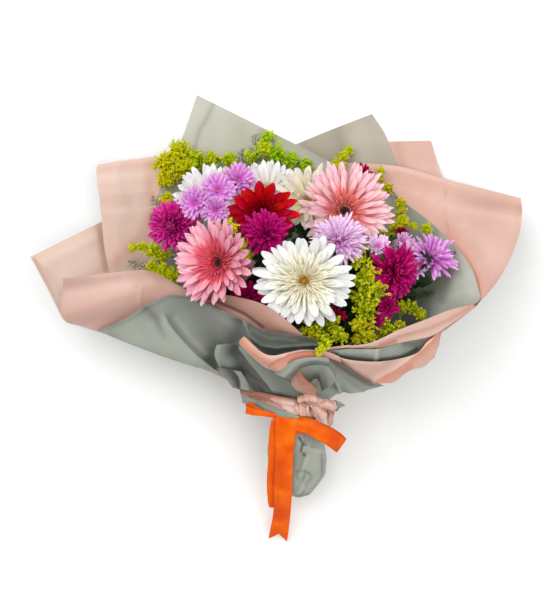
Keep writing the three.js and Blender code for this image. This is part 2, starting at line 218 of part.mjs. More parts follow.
const FLOWERS = [
  { name: 'gerbera_white_front', kind: 'gerbera', stem_radius: 3, heads: [
      { at: [29.7,24.8,186], radius: 55, facing: [0,0.04,0.999], cup: 6 },
    ], stem: [[20.1,-204.4,38.5], [19.1,-169.7,63.3], [17.9,-129,92.3], [17.5,-117.6,100.4], [18,-98.5,110], [19.1,-78.9,118.5], [20.6,-59.1,126.2], [22.4,-39.2,133.9], [24.4,-19.7,142.4], [26.5,-1.4,153.1], [28.4,14,167.7], [29.7,24.8,186]] },
  { name: 'gerbera_pink_left', kind: 'gerbera', stem_radius: 3, heads: [
      { at: [-62.6,44.6,170], radius: 51, facing: [-0.25,-0.02,0.968], cup: 20 },
    ], stem: [[12.4,-205.1,30.2], [11.2,-166.1,57.9], [10,-125.4,86.9], [9.7,-114,95.1], [4.7,-92,104.6], [-1.3,-69.5,112.2], [-9.1,-47.1,118.4], [-18.2,-25.1,123.9], [-28.6,-3.7,129.9], [-39.9,16.3,138.3], [-51.7,33.1,151.4], [-62.6,44.6,170]] },
  { name: 'gerbera_pink_right', kind: 'gerbera', stem_radius: 3, heads: [
      { at: [76.7,104.2,112], radius: 54, facing: [0.1,0.16,0.982], cup: 20 },
    ], stem: [[30.1,-193.6,24.4], [29.1,-159.2,48.9], [27.9,-118.5,77.9], [27.6,-107.1,86.1], [30.6,-79.7,93.2], [34.7,-51.6,95.7], [40.1,-23.7,94.8], [46.2,4,92.1], [52.3,31.6,88.7], [59.5,59.1,86.8], [69.8,84.6,92.7], [76.7,104.2,112]] },
  { name: 'gerbera_red', kind: 'gerbera', stem_radius: 2.8, heads: [
      { at: [-15.1,102.6,120], radius: 40, facing: [-0.02,-0.1,0.995], cup: 22 },
    ], stem: [[24.4,-210,28.6], [23.2,-166.8,59.4], [22,-126.1,88.4], [21.6,-114.7,96.5], [19.2,-81.2,103.9], [15.4,-47,105.4], [9.5,-13.1,103.1], [3.1,20.5,99], [-2.7,53.8,92.6], [-7.8,77.5,70.9], [-12.2,90.3,87.9], [-15.1,102.6,120]] },
  { name: 'gerbera_white_back_left', kind: 'gerbera', stem_radius: 2.8, heads: [
      { at: [-79.3,121,72], radius: 43, facing: [-0.12,0.341,0.932], cup: 14 },
    ], stem: [[14.6,-196.5,20.2], [13.5,-158.4,47.3], [12.3,-117.7,76.3], [12,-106.3,84.4], [4.8,-75.8,88.2], [-4.2,-45.7,87.6], [-15,-16.6,82], [-26.9,11.5,73.8], [-39.3,39.1,64.9], [-52.9,66.9,58.8], [-66.9,95,59.4], [-79.3,121,72]] },
  { name: 'gerbera_white_back_mid', kind: 'gerbera', stem_radius: 2.8, heads: [
      { at: [-9.7,127.4,80], radius: 36, facing: [-0.06,0.322,0.945], cup: 14 },
    ], stem: [[21.1,-196.6,15.9], [19.9,-156.3,44.6], [18.7,-115.6,73.6], [18.3,-104.2,81.7], [16,-74.7,86.1], [13.3,-44.9,86.6], [10.2,-15.5,82.6], [6.7,13.5,76.3], [2.9,42.5,69.6], [-1.2,71.7,64.8], [-5.5,101.1,66.6], [-9.7,127.4,80]] },
  { name: 'gerbera_white_back_right', kind: 'gerbera', stem_radius: 2.8, heads: [
      { at: [39.2,116.9,84], radius: 40, facing: [-0.05,0.301,0.952], cup: 13 },
    ], stem: [[26,-198.1,27], [24.9,-162,52.8], [23.7,-121.3,81.8], [23.4,-109.9,89.9], [24.4,-81.1,94.9], [25.9,-52,94.6], [28,-23.2,90], [30.5,5.1,83.1], [33.2,33.3,75.7], [35.9,61.9,70.2], [38.1,90.9,71.1], [39.2,116.9,84]] },
  { name: 'chrysanthemum_magenta_left', kind: 'mum', stem_radius: 2.3, heads: [
      { at: [-114.8,87.4,112], radius: 30, facing: [-0.301,0,0.954], cup: 13 },
      { at: [-95.4,105,96], radius: 16, facing: [0.1,0.3,0.949], cup: 8 },
    ], stem: [[10.7,-205.2,23.3], [9.5,-162.9,53.4], [8.3,-122.2,82.4], [8,-110.8,90.5], [0.7,-89.7,97.7], [-8.9,-68.8,101.3], [-21.2,-48.9,101.1], [-34.7,-29.9,98.8], [-48.5,-11.2,95.7], [-62,7.6,93], [-74.8,27.2,91.7], [-86.5,47.5,92]] },
  { name: 'chrysanthemum_magenta_mid', kind: 'mum', stem_radius: 2.3, heads: [
      { at: [-12.6,81.1,156], radius: 30, facing: [0,0.301,0.954], cup: 12 },
    ], stem: [[22.7,-194.9,23.7], [21.6,-159.4,49], [20.4,-118.7,78], [20.1,-107.3,86.1], [15.3,-75.4,97.9], [9.5,-42.6,106.6], [4.2,-9.2,112.5], [-2,24.5,115], [-8.1,55.8,104], [-11.1,78.6,87.5], [-11.9,81.1,121.6], [-12.6,81.1,156]] },
  { name: 'chrysanthemum_magenta_right', kind: 'mum', stem_radius: 2.3, heads: [
      { at: [128.6,36.4,142], radius: 28, facing: [0.552,-0.02,0.833], cup: 13 },
      { at: [121.5,-3.3,150], radius: 13, facing: [0.099,-0.099,0.99], cup: 8 },
      { at: [109.1,-18.6,156], radius: 10, facing: [0,-0.196,0.981], cup: 7 },
    ], stem: [[38.4,-202.6,28.5], [37.3,-164,56], [36.1,-123.2,85], [35.8,-111.8,93.1], [38.6,-101.7,98.5], [42.5,-91.6,103.1], [48,-81.8,106.7], [54.6,-72.4,109.6], [61.7,-63.5,112.2], [69.2,-54.8,115], [76.7,-46.3,118.3], [84.1,-37.9,122]] },
  { name: 'chrysanthemum_magenta_low', kind: 'mum', stem_radius: 2.3, heads: [
      { at: [-25.7,12,158], radius: 14, facing: [-0.099,-0.099,0.99], cup: 8 },
      { at: [-2.7,-12,168], radius: 14, facing: [0,-0.196,0.981], cup: 8 },
    ], stem: [[18.1,-200.9,32.7], [17.1,-165.8,57.7], [15.9,-125.1,86.7], [15.5,-113.7,94.8], [14.4,-105.4,99.8], [13.1,-96.8,104.1], [11.4,-88.1,108], [9.3,-79.3,111.6], [6.9,-70.6,115.1], [4.4,-62,119], [1.9,-53.7,123.3], [-0.6,-45.6,128]] },
  { name: 'chrysanthemum_crimson_low', kind: 'mum', stem_radius: 1.9, heads: [
      { at: [66,-12,166], radius: 10, facing: [0,-0.196,0.981], cup: 7 },
    ], stem: [[31.3,-206.4,32.2], [30.1,-167.1,60.2], [28.9,-126.4,89.2], [28.6,-115,97.3], [31.1,-100.3,104.8], [34.5,-85.3,111.6], [39,-70.4,117.9], [44.3,-55.7,124], [50.1,-41.5,130.8], [56.2,-28.3,139.2], [61.9,-17.9,150.9], [66,-12,166]] },
  { name: 'chrysanthemum_crimson_back', kind: 'mum', stem_radius: 2, heads: [
      { at: [98.2,144.8,58], radius: 11, facing: [0.098,0.195,0.976], cup: 7 },
      { at: [142.2,80.4,88], radius: 8, facing: [0.192,0.192,0.962], cup: 6 },
    ], stem: [[29.7,-195.7,16.1], [28.5,-156,44.4], [27.3,-115.3,73.4], [27,-103.9,81.6], [31.6,-82.8,87.1], [38,-61.9,90.9], [46.7,-41.4,90.5], [56.7,-21.7,87.4], [67.1,-2.5,83.1], [77.6,16.7,78.6], [87.8,36.1,74.9], [97.6,55.9,72]] },
  { name: 'chrysanthemum_lilac_left', kind: 'mum', stem_radius: 2.3, heads: [
      { at: [-89.3,112,132], radius: 16, facing: [-0.196,0,0.981], cup: 6 },
      { at: [-65.1,125.8,124], radius: 17, facing: [0,0.1,0.995], cup: 6 },
      { at: [-66.7,104.7,146], radius: 13, facing: [0,-0.196,0.981], cup: 6 },
      { at: [-42.2,139.4,104], radius: 16, facing: [0.049,0.196,0.979], cup: 6 },
    ], stem: [[15.8,-199.3,28], [14.7,-163,53.8], [13.5,-122.3,82.8], [13.2,-110.9,90.9], [8.7,-91.7,99], [3.2,-71.9,104.2], [-3.5,-51.8,107], [-11,-31.9,107.9], [-19.2,-12.2,107.8], [-27.5,7.5,107.8], [-35.5,27.2,108.4], [-43.2,47.1,110]] },
  { name: 'chrysanthemum_lilac_mid', kind: 'mum', stem_radius: 2.3, heads: [
      { at: [70.6,72.2,160], radius: 32, facing: [0.04,0.099,0.994], cup: 12 },
    ], stem: [[28.8,-199.1,32.3], [27.7,-164.8,56.8], [26.5,-124.1,85.8], [26.2,-112.7,93.9], [30.1,-81,105], [36,-48.6,112.5], [43.7,-16.1,117.2], [52.6,16.5,118.9], [60.9,44.4,104.7], [64.2,57.4,94.4], [67.4,65.1,127.1], [70.6,72.2,160]] },
  { name: 'chrysanthemum_lilac_small', kind: 'mum', stem_radius: 1.9, heads: [
      { at: [111.8,62.8,146], radius: 13, facing: [0.101,0.404,0.909], cup: 6 },
    ], stem: [[33.8,-204.8,27.7], [32.6,-164.4,56.5], [31.4,-123.7,85.5], [31.1,-112.3,93.6], [36.5,-89.3,103], [44.3,-65.6,108.5], [54.4,-42.4,111.6], [66,-19.8,113.7], [78.4,2.4,116.3], [90.9,24,121.2], [102.5,44.5,130.9], [111.8,62.8,146]] },
  { name: 'chrysanthemum_lilac_right', kind: 'mum', stem_radius: 2.3, heads: [
      { at: [173.4,51.6,108], radius: 29, facing: [0.503,0.503,0.704], cup: 10 },
    ], stem: [[38.2,-195.5,27.2], [37.2,-161,51.8], [36,-120.3,80.8], [35.7,-108.9,88.9], [46.1,-84.9,97], [57.9,-60.3,99.1], [74.2,-38.4,98.4], [93,-18.7,95.9], [113,-0.2,93.4], [133.8,17.6,94.4], [154.1,35.8,97.3], [173.4,51.6,108]] },
  { name: 'chrysanthemum_lilac_back', kind: 'mum', stem_radius: 2, heads: [
      { at: [145.9,49.2,116], radius: 20, facing: [0.5,0.1,0.86], cup: 8 },
      { at: [141,68.5,106], radius: 10, facing: [0.301,0.201,0.932], cup: 6 },
    ], stem: [[31.2,-197.2,28.5], [30.2,-162.3,53.4], [29,-121.6,82.4], [28.7,-110.2,90.5], [34.4,-93.7,96.7], [43.7,-78.6,102.1], [55.9,-64.8,103.9], [68.6,-51.5,101.9], [81.1,-38,99.4], [93.7,-24.6,98.1], [106,-10.6,98.2], [116.7,4.5,98]] },
  { name: 'chrysanthemum_blush', kind: 'mum', stem_radius: 1.9, heads: [
      { at: [-33.7,39.7,142], radius: 13, facing: [0.196,0,0.981], cup: 6 },
    ], stem: [[22.2,-206.3,25.4], [20.9,-164.1,55.5], [19.7,-123.4,84.5], [19.4,-112,92.6], [13.8,-92.2,99.6], [8.1,-71.9,104.6], [1.5,-51.5,107.8], [-6.4,-31.5,110.1], [-14.8,-11.6,112.6], [-23.1,7.9,116.7], [-30.2,26.2,125.6], [-33.7,39.7,142]] },
];
const SPRAYS = [
  { name: 'solidago_back_left', stem_radius: 1.6, tufts: [[-126.9,121.6,40,8], [-129.8,146.7,30,11], [-130,164.4,26,12], [-112.6,177.4,24,13], [-92.8,168.1,24,12], [-74.2,168.4,20,9], [-55.6,168.5,18,8], [-107.6,155.8,32,13], [-88.8,138.1,36,6]],
    stem: [[17.7,-198.7,23.4], [16.6,-160.6,50.5], [15.4,-119.9,79.5], [15,-108.5,87.6], [8.6,-74.9,94.1], [-0.4,-41.4,93.4], [-11.8,-9.4,85.5], [-24.8,20.8,74], [-39,50.1,61.4], [-54.5,79.1,50], [-71.2,108.5,41.4], [-88.8,138.1,36]] },
  { name: 'solidago_back_mid', stem_radius: 1.6, tufts: [[-11.1,194.8,12,7.3], [-14.6,180.3,17,10], [-28.7,171.2,14,8.2], [34.6,164.3,12,8.1], [15.8,168.8,15,9.2], [-0.6,174.3,19,12], [0.6,154.5,26,6.3]],
    stem: [[25.9,-194.6,20.1], [24.8,-157.5,46.5], [23.6,-116.8,75.5], [23.3,-105.4,83.6], [21.1,-72.1,90.1], [18.3,-38.3,89.6], [15.3,-5.3,81.9], [12.1,26.5,70.1], [8.9,57.8,57], [5.9,89.2,44.5], [3.1,121.5,34], [0.6,154.5,26]] },
  { name: 'solidago_back_right', stem_radius: 1.6, tufts: [[85.1,180.8,11,4.5], [78,173.6,13,6], [72,163.9,17,7], [67.1,150.6,24,5]],
    stem: [[25.6,-190.1,18.6], [24.6,-155.3,43.4], [23.4,-114.6,72.4], [23,-103.2,80.5], [25.2,-70.3,87.1], [28.9,-36.9,87.1], [33.9,-4.4,80.1], [39.7,26.9,69.2], [46,57.4,56.6], [52.8,88,44.1], [59.9,119,33.1], [67.1,150.6,24]] },
  { name: 'solidago_right_tip', stem_radius: 1.6, tufts: [[122.4,155.7,17,4.5], [119.8,146.1,21,6], [130.9,135,30,6], [144.1,115.7,42,7], [142.4,103.8,50,6]],
    stem: [[34.1,-194.5,19.5], [33,-157.1,46.2], [31.8,-116.4,75.2], [31.5,-105,83.3], [40.5,-76.9,91.5], [53.6,-49.4,94.5], [69.8,-23.6,91.5], [87,0.8,84.9], [103.8,25,76.5], [119.2,49.9,67.3], [132.1,76.2,58.3], [142.4,103.8,50]] },
  { name: 'solidago_left_low', stem_radius: 1.6, tufts: [[-163.6,63.9,74,5], [-152.2,65,74,6], [-139.7,60.4,74,8], [-129.4,55.9,74,8], [-141.4,40.9,82,7], [-128.7,37.4,86,8], [-118.2,30.5,92,8], [-105,36.3,84,6]],
    stem: [[10.9,-203,19.3], [9.6,-160.3,49.7], [8.4,-119.6,78.7], [8.1,-108.2,86.9], [0.9,-85.7,91.4], [-8.4,-63.7,92.3], [-20.2,-43,89.4], [-33.8,-23.8,84.7], [-49.1,-5.8,79.9], [-66,10.8,76.5], [-84.8,25.7,76.7], [-105,36.3,84]] },
  { name: 'solidago_right_mid', stem_radius: 1.6, tufts: [[170.6,85.6,72,6], [157.2,89.2,68,4], [144.4,93.6,72,7], [133.4,85.1,84,8], [120.2,77.9,96,8], [114.3,60.8,100,5]],
    stem: [[35.4,-198.2,21.2], [34.3,-159.1,49.1], [33.1,-118.4,78.1], [32.7,-107,86.2], [38,-85.5,94.7], [46.6,-64.1,100.7], [57.7,-43.3,103.3], [70,-23,103.6], [82.5,-2.8,102.6], [94.4,17.7,101.3], [105.1,38.9,100.3], [114.3,60.8,100]] },
  { name: 'solidago_mid_right', stem_radius: 1.6, tufts: [[82.9,57.1,152,8], [92.9,63.8,150,9], [90.3,46,160,11], [103.4,35,160,9], [93.4,26.2,164,12], [106.5,14.2,164,13], [92.2,7.6,166,12], [97.5,-8.7,168,13], [93.2,-24,168,11], [101.7,-35.9,172,8], [89.3,-37.2,158,7]],
    stem: [[35.2,-205.7,31.7], [34.1,-166.6,59.6], [32.9,-125.9,88.6], [32.6,-114.5,96.7], [35.9,-102.8,104.5], [40.6,-91.2,111.8], [47.2,-80.4,118.7], [55,-70.3,125.5], [63.6,-60.9,132.5], [72.4,-52.3,140], [81,-44.5,148.6], [89.3,-37.2,158]] },
  { name: 'solidago_front', stem_radius: 1.6, tufts: [[46.9,-50.6,192,5], [54.6,-41.1,184,9], [67.8,-34.7,178,8], [62.5,-22.8,174,9], [36.4,-29.3,174,10], [49.5,-27.2,172,11], [47.6,-44.9,160,6]],
    stem: [[28,-207.7,34.3], [26.9,-168.6,62.1], [25.7,-127.9,91.1], [25.3,-116.5,99.2], [26.8,-107.3,106.9], [29,-98,114.3], [32,-89.1,122], [35.5,-80.5,129.8], [39.2,-72,137.5], [42.6,-63.3,145.1], [45.4,-54.2,152.6], [47.6,-44.9,160]] },
  { name: 'solidago_right_low', stem_radius: 1.6, tufts: [[160.7,-11.1,126,6], [149.6,-3.3,126,8], [137.1,-4.4,130,8], [135.7,-24.2,152,7], [120,-26.3,156,9], [114,-37.5,146,5]],
    stem: [[38.9,-201.1,35], [37.8,-166.5,59.6], [36.6,-125.8,88.6], [36.3,-114.4,96.7], [42.3,-102.8,104.5], [50.4,-91.9,111.2], [60.9,-82.4,116.8], [72.4,-73.9,121.8], [84.2,-65.6,126.7], [95.5,-57,132.1], [105.5,-47.6,138.6], [114,-37.5,146]] },
  { name: 'solidago_mid_left', stem_radius: 1.6, tufts: [[-48.5,80.7,166,6], [-36.7,65.7,160,6], [-31.3,52.8,150,6]],
    stem: [[20.8,-202.4,23.5], [19.6,-161.9,52.3], [18.4,-121.2,81.4], [18,-109.8,89.5], [13.4,-76.8,104.1], [3.1,-44.1,115.8], [-9.2,-10.8,123.6], [-24,19.6,115.3], [-37,35.3,85.4], [-43.3,46.6,78.7], [-37.6,50.3,114.3], [-31.3,52.8,150]] },
];
const FERNS = [
  { name: 'asparagus_fern_left', stem_radius: 1.1, tips: [[-144.6,125.5,34], [-169.7,48,70], [-146.3,102.9,44]],
    stem: [[14.2,-202.8,21.1], [12.9,-161,50.9], [11.7,-120.3,79.9], [11.4,-108.9,88], [4.8,-90.5,94.2], [-4.4,-72.4,96.9], [-16.1,-55.5,95.9], [-28.9,-39.8,92.6], [-42.2,-24.7,88.5], [-55.5,-9.7,84.3], [-68.7,5.7,80.9], [-81.4,21.6,78]] },
  { name: 'asparagus_fern_back', stem_radius: 1.1, tips: [[-25.3,199.8,9], [-122.5,191.1,14], [-41.7,180.9,10]],
    stem: [[19.1,-197.5,20.1], [17.9,-158.7,47.8], [16.7,-118,76.8], [16.4,-106.6,84.9], [13.9,-86.8,89.6], [10.8,-66.7,90.4], [6.9,-46.9,87], [2.5,-27.8,81.2], [-2.1,-9,74.5], [-6.9,9.8,67.9], [-11.8,28.9,62.4], [-16.7,48.3,58]] },
  { name: 'asparagus_fern_right', stem_radius: 1.1, tips: [[202.8,60.2,82], [182.2,75.4,70], [175.3,13.5,98]],
    stem: [[35,-199.9,26.6], [33.8,-162.2,53.4], [32.6,-121.5,82.4], [32.3,-110.1,90.6], [38.6,-92.3,94.7], [48.2,-75.6,95.1], [61.3,-61.4,94.9], [75.3,-48.2,92.8], [89.5,-35.4,89.4], [103.7,-22.6,86.3], [117.6,-9.3,84.5], [131.1,4.5,84]] },
];
const NECK = [22.1,-123.7,85];
const ALONG = [-0.024,0.814,0.58];   // unit vector of the bundle, handle end to flowers
const BACKWARD = [0,0.58,-0.814]; // unit vector square to it, towards the table

// ---------- set-up ----------
const wasm = await Module();
wasm.setup();
const { Manifold, Mesh } = wasm;
const V = (p) => new THREE.Vector3(p[0], p[1], p[2]);
const neck = V(NECK), along = V(ALONG).normalize();
const back = V(BACKWARD).normalize();
const side = new THREE.Vector3().crossVectors(along, back).normalize(); // to +X
if (side.x < 0) side.negate();

const colours = {
  sage: 0x969b8f, peach: 0xe4beac, ribbon: 0xf0640a, white: 0xf6f1e4, pink: 0xf28aa6, red: 0xc8001e,
  magenta: 0xa00a78, crimson: 0x8a0030, lilac: 0xd7a0e1, blush: 0xf0a0c8,
  goldenrod: 0xd6cc14, fern: 0x3f8f2e, twine: 0xb9a27a,
};
const material = (name, colour, extra = {}) => Object.assign(new THREE.MeshStandardMaterial({ color: colour, roughness: 0.8, metalness: 0, ...extra }), { name });
const MAT = {
  sage: material('paper_sage', colours.sage),
  peach: material('paper_peach', colours.peach),
  ribbon: material('ribbon_satin', colours.ribbon, { roughness: 0.35 }),
  twine: material('tie_twine', colours.twine),
  white: material('flower_white', colours.white),
  pink: material('flower_pink', colours.pink),
  red: material('flower_red', colours.red),
  magenta: material('flower_magenta', colours.magenta),
  crimson: material('flower_crimson', colours.crimson),
  lilac: material('flower_lilac', colours.lilac),
  blush: material('flower_blush', colours.blush),
  goldenrod: material('flower_goldenrod', colours.goldenrod),
  fern: material('fern_green', colours.fern),
};

// solid from a geometry; turned inside out where its faces point in
function fixed(geometry) {
  let g = geometry.clone();
  g.deleteAttribute('normal');
  g.deleteAttribute('uv');
  g = mergeVertices(g, 1e-4);
  const index = [];
  const id = Array.from(g.index.array);
  for (let i = 0; i < id.length; i += 3) if (id[i] !== id[i + 1] && id[i + 1] !== id[i + 2] && id[i] !== id[i + 2]) index.push(id[i], id[i + 1], id[i + 2]);
  const make = (t) => new Manifold(new Mesh({ numProp: 3, vertProperties: new Float32Array(g.attributes.position.array), triVerts: new Uint32Array(t) }));
  const m = make(index);
  return m.volume() > 0 ? m : make(index.reverse());
}
function solidFixed(points, tris) {
  const g = new THREE.BufferGeometry();
  g.setAttribute('position', new THREE.Float32BufferAttribute(points.flat(), 3));
  g.setIndex(tris.flat());
  return fixed(g);
}
function largest(m) {
  const parts = m.decompose();
  let best = parts[0];
  for (const p of parts) if (p.volume() > best.volume()) best = p;
  return best;
}
function toGeometry(m) {
  const mesh = m.getMesh();
  const p = [];
  for (let i = 0; i < mesh.numVert; i++) p.push(mesh.vertProperties[i * mesh.numProp], mesh.vertProperties[i * mesh.numProp + 1], mesh.vertProperties[i * mesh.numProp + 2]);
  const g = new THREE.BufferGeometry();
  g.setAttribute('position', new THREE.Float32BufferAttribute(p, 3));
  g.setIndex(Array.from(mesh.triVerts));
  g.computeVertexNormals();
  return g;
}

// point on a chord-length Catmull-Rom curve through the control points
function curve(ctl, knots, u) {
  const n = ctl.length;
  let i = 0;
  while (i < n - 2 && u > knots[i + 1]) i++;
  const P = (k) => (k < 0 ? ctl[0].clone().multiplyScalar(2).sub(ctl[1]) : k > n - 1 ? ctl[n - 1].clone().multiplyScalar(2).sub(ctl[n - 2]) : ctl[k]);
  const T = (k) => (k < 0 ? 2 * knots[0] - knots[1] : k > n - 1 ? 2 * knots[n - 1] - knots[n - 2] : knots[k]);
  const p0 = P(i - 1), p1 = P(i), p2 = P(i + 1), p3 = P(i + 2);
  const t0 = T(i - 1), t1 = T(i), t2 = T(i + 1), t3 = T(i + 2);
  const m1 = p2.clone().sub(p0).multiplyScalar((t2 - t1) / (t2 - t0));
  const m2 = p3.clone().sub(p1).multiplyScalar((t2 - t1) / (t3 - t1));
  const s = (u - t1) / (t2 - t1), s2 = s * s, s3 = s2 * s;
  return p1.clone().multiplyScalar(2 * s3 - 3 * s2 + 1).addScaledVector(m1, s3 - 2 * s2 + s).addScaledVector(p2, -2 * s3 + 3 * s2).addScaledVector(m2, s3 - s2);
}
function knotsOf(rows) {
  // mean chord length between neighbouring rows, square-rooted so that short rows stay calm
  const k = [0];
  for (let i = 1; i < rows.length; i++) {
    let d = 0;
    for (let j = 0; j < rows[i].length; j++) d += rows[i][j].distanceTo(rows[i - 1][j]);
    k.push(k[i - 1] + Math.pow(d / rows[i].length, 0.5));
  }
  return k.map((v) => v / k[k.length - 1]);
}
function surface(ribs, nu, nv) {
  const rows = ribs.map((r) => r.map(V));
  const kv = knotsOf(rows);
  const cols = rows[0].map((_, j) => rows.map((r) => [r[j]]));
  const ku = knotsOf(rows[0].map((_, j) => rows.map((r) => r[j])));
  // even spacing along the sheet
  const len = [0];
  for (let i = 1; i < rows.length; i++) {
    let d = 0;
    for (let j = 0; j < rows[i].length; j++) d += rows[i][j].distanceTo(rows[i - 1][j]);
    len.push(len[i - 1] + d / rows[i].length);
  }
  const grid = [];
  for (let i = 0; i <= nv; i++) {
    const L = (i / nv) * len[len.length - 1];
    let k = 0;
    while (k < len.length - 2 && L > len[k + 1]) k++;
    const v = kv[k] + ((L - len[k]) / (len[k + 1] - len[k])) * (kv[k + 1] - kv[k]);
    const line = cols.map((c) => curve(c.map((q) => q[0]), kv, v));
    const row = [];
    for (let j = 0; j <= nu; j++) row.push(curve(line, ku, nu === ku.length - 1 ? ku[j] : j / nu));
    for (const p of row) p.z = Math.max(p.z, FLOOR); // sheets that reach the table lie flat on it
    grid.push(row);
  }
  return grid;
}
// thin closed sheet around a grid of points
function shell(grid, thick, grow = 0) {
  const nv = grid.length - 1, nu = grid[0].length - 1;
  const g = grid.map((r) => r.map((p) => p.clone()));
  if (grow > 0) {
    for (let j = 0; j <= nu; j++) {
      g[0][j].addScaledVector(g[0][j].clone().sub(grid[1][j]).normalize(), grow);
      g[nv][j].addScaledVector(g[nv][j].clone().sub(grid[nv - 1][j]).normalize(), grow);
    }
    for (let i = 0; i <= nv; i++) {
      g[i][0].addScaledVector(grid[i][0].clone().sub(grid[i][1]).normalize(), grow);
      g[i][nu].addScaledVector(grid[i][nu].clone().sub(grid[i][nu - 1]).normalize(), grow);
    }
  }
  const normal = (i, j) => {
    const a = g[Math.min(i + 1, nv)][j].clone().sub(g[Math.max(i - 1, 0)][j]);
    const b = g[i][Math.min(j + 1, nu)].clone().sub(g[i][Math.max(j - 1, 0)]);
    return a.cross(b).normalize();
  };
  const pts = [], tri = [], half = thick / 2 + grow, W = nu + 1, off = (nv + 1) * W;
  for (const s of [1, -1]) for (let i = 0; i <= nv; i++) for (let j = 0; j <= nu; j++) {
    const p = g[i][j].clone().addScaledVector(normal(i, j), s * half);
    pts.push([p.x, p.y, p.z]);
  }
  for (let i = 0; i < nv; i++) for (let j = 0; j < nu; j++) {
    const a = i * W + j, b = a + 1, c = a + W, d = c + 1;
    // split each cell along its shorter diagonal
    const short = g[i][j].distanceTo(g[i + 1][j + 1]) <= g[i][j + 1].distanceTo(g[i + 1][j]);
    if (short) tri.push([a, d, b], [a, c, d], [a + off, b + off, d + off], [a + off, d + off, c + off]);
    else tri.push([a, c, b], [b, c, d], [a + off, b + off, c + off], [b + off, d + off, c + off]);
  }
  const wall = (k, l) => tri.push([k, l, l + off], [k, l + off, k + off]);
  for (let j = 0; j < nu; j++) { wall(j, j + 1); wall(nv * W + j + 1, nv * W + j); }
  for (let i = 0; i < nv; i++) { wall((i + 1) * W, i * W); wall(i * W + nu, (i + 1) * W + nu); }
  return solidFixed(pts, tri);
}
// round rod along a smooth path, with n sides
function rod(path, radius, n = 5, steps = path.length - 1) {
  const ring = new THREE.Shape();
  for (let i = 0; i < n; i++) {
    const t = (i / n) * 2 * Math.PI;
    if (i) ring.lineTo(radius * Math.cos(t), radius * Math.sin(t)); else ring.moveTo(radius, 0);
  }
  ring.closePath();
  const line = new THREE.CatmullRomCurve3(path.map((p) => (p.isVector3 ? p : V(p))), false, 'centripetal');
  return fixed(new THREE.ExtrudeGeometry(ring, { steps, bevelEnabled: false, curveSegments: 1, extrudePath: line }));
}
// solid of revolution with a varying outline: profile(angleIndex) gives [radius, height] pairs, top centre to bottom centre
function bloom(at, facing, n, profile) {
  const m = profile(0).length;
  const g = new THREE.LatheGeometry(profile(0).map(([r, h]) => new THREE.Vector2(r, h)), n);
  const pos = g.attributes.position;
  for (let i = 0; i <= n; i++) {
    const p = profile(i % n), t = ((i % n) / n) * 2 * Math.PI;
    for (let k = 0; k < m; k++) pos.setXYZ(i * m + k, p[k][0] * Math.cos(t), p[k][0] * Math.sin(t), p[k][1]);
  }
  g.applyQuaternion(new THREE.Quaternion().setFromUnitVectors(new THREE.Vector3(0, 0, 1), V(facing).normalize()));
  g.translate(...at);
  return fixed(g);
}
function gerbera(h, g = 0) {
  const R = h.radius, c = h.cup;
  const lift = (q) => c * Math.pow(q, 1.6);
  // room kept free for the head: the same bowl with a plain round rim
  if (g > 0) return bloom(h.at, h.facing, 18, () => [[0, -12 - g], [R * 0.3 + g, -7.4 - g], [(R + g) * 1.03, c - 1.9 - g], [(R + g) * 1.03, c + 0.9], [R * 0.5, lift(0.5) + 2.2 + g], [0, 6.5 + g]]);
  return bloom(h.at, h.facing, PETALS * 2, (i) => {
    const tip = i % 2 === 0 ? 1 : 0.86;
    return [
      [0, -11 - g], [R * 0.3 + g, -6.5 - g], [(R + g) * tip - 0.3, lift(tip) - 0.8 - g], [(R + g) * tip, lift(tip) + 0.4 + g * 0.4],
      [R * 0.55, lift(0.55) + 1.2 + g], [R * DISC, 4 + g], [0, 5.5 + g],
    ];
  });
}
function mum(h, g = 0) {
  const R = h.radius + g, c = h.cup + g, n = R > 20 ? 16 : 12;
  if (g > 0) return bloom(h.at, h.facing, 10, () => [[0, -R * 0.24 - 1.5 - g], [R * 1.08, c * 0.04 - g], [R * 1.08, c * 0.26 + g], [R * 0.64, c * 0.8 + g], [0, c + g]]);
  return bloom(h.at, h.facing, n, (i) => {
    const a = i % 2 === 0 ? 1 : 0.88, b = i % 2 === 0 ? 0.92 : 1;
    return [[0, -R * 0.24 - 1.5 - g], [R * 0.97 * a, c * 0.06 - g * 0.5], [R * a, c * 0.24 + g * 0.2], [R * 0.6 * b, c * 0.78], [0, c]];
  });
}
function tuft(x, y, z, r) {
  const g = r < 7 ? new THREE.OctahedronGeometry(r * 1.1, 0) : new THREE.IcosahedronGeometry(r, 0);
  g.rotateX(x * 0.7).rotateY(y * 0.9).translate(x, y, z);
  return fixed(g);
}
const union = (list) => Manifold.union(list);
const sample = (ctl, n) => { const P = ctl.map(V), k = knotsOf(P.map((p) => [p])); const out = []; for (let i = 0; i <= n; i++) out.push(curve(P, k, i / n)); return out; };

// ---------- the pieces ----------
const pieces = [];   // { name, mat, stem(g), head(g), rank }
const paper = (s) => {
  const grid = surface(s.ribs, s.cells[0], s.cells[1]);
  pieces.push({ name: s.name, mat: /peach|lip|ruffle/.test(s.name) ? MAT.peach : MAT.sage, body: (g) => shell(grid, PAPER, g), kind: 'paper' });
};
SHEETS.forEach(paper);

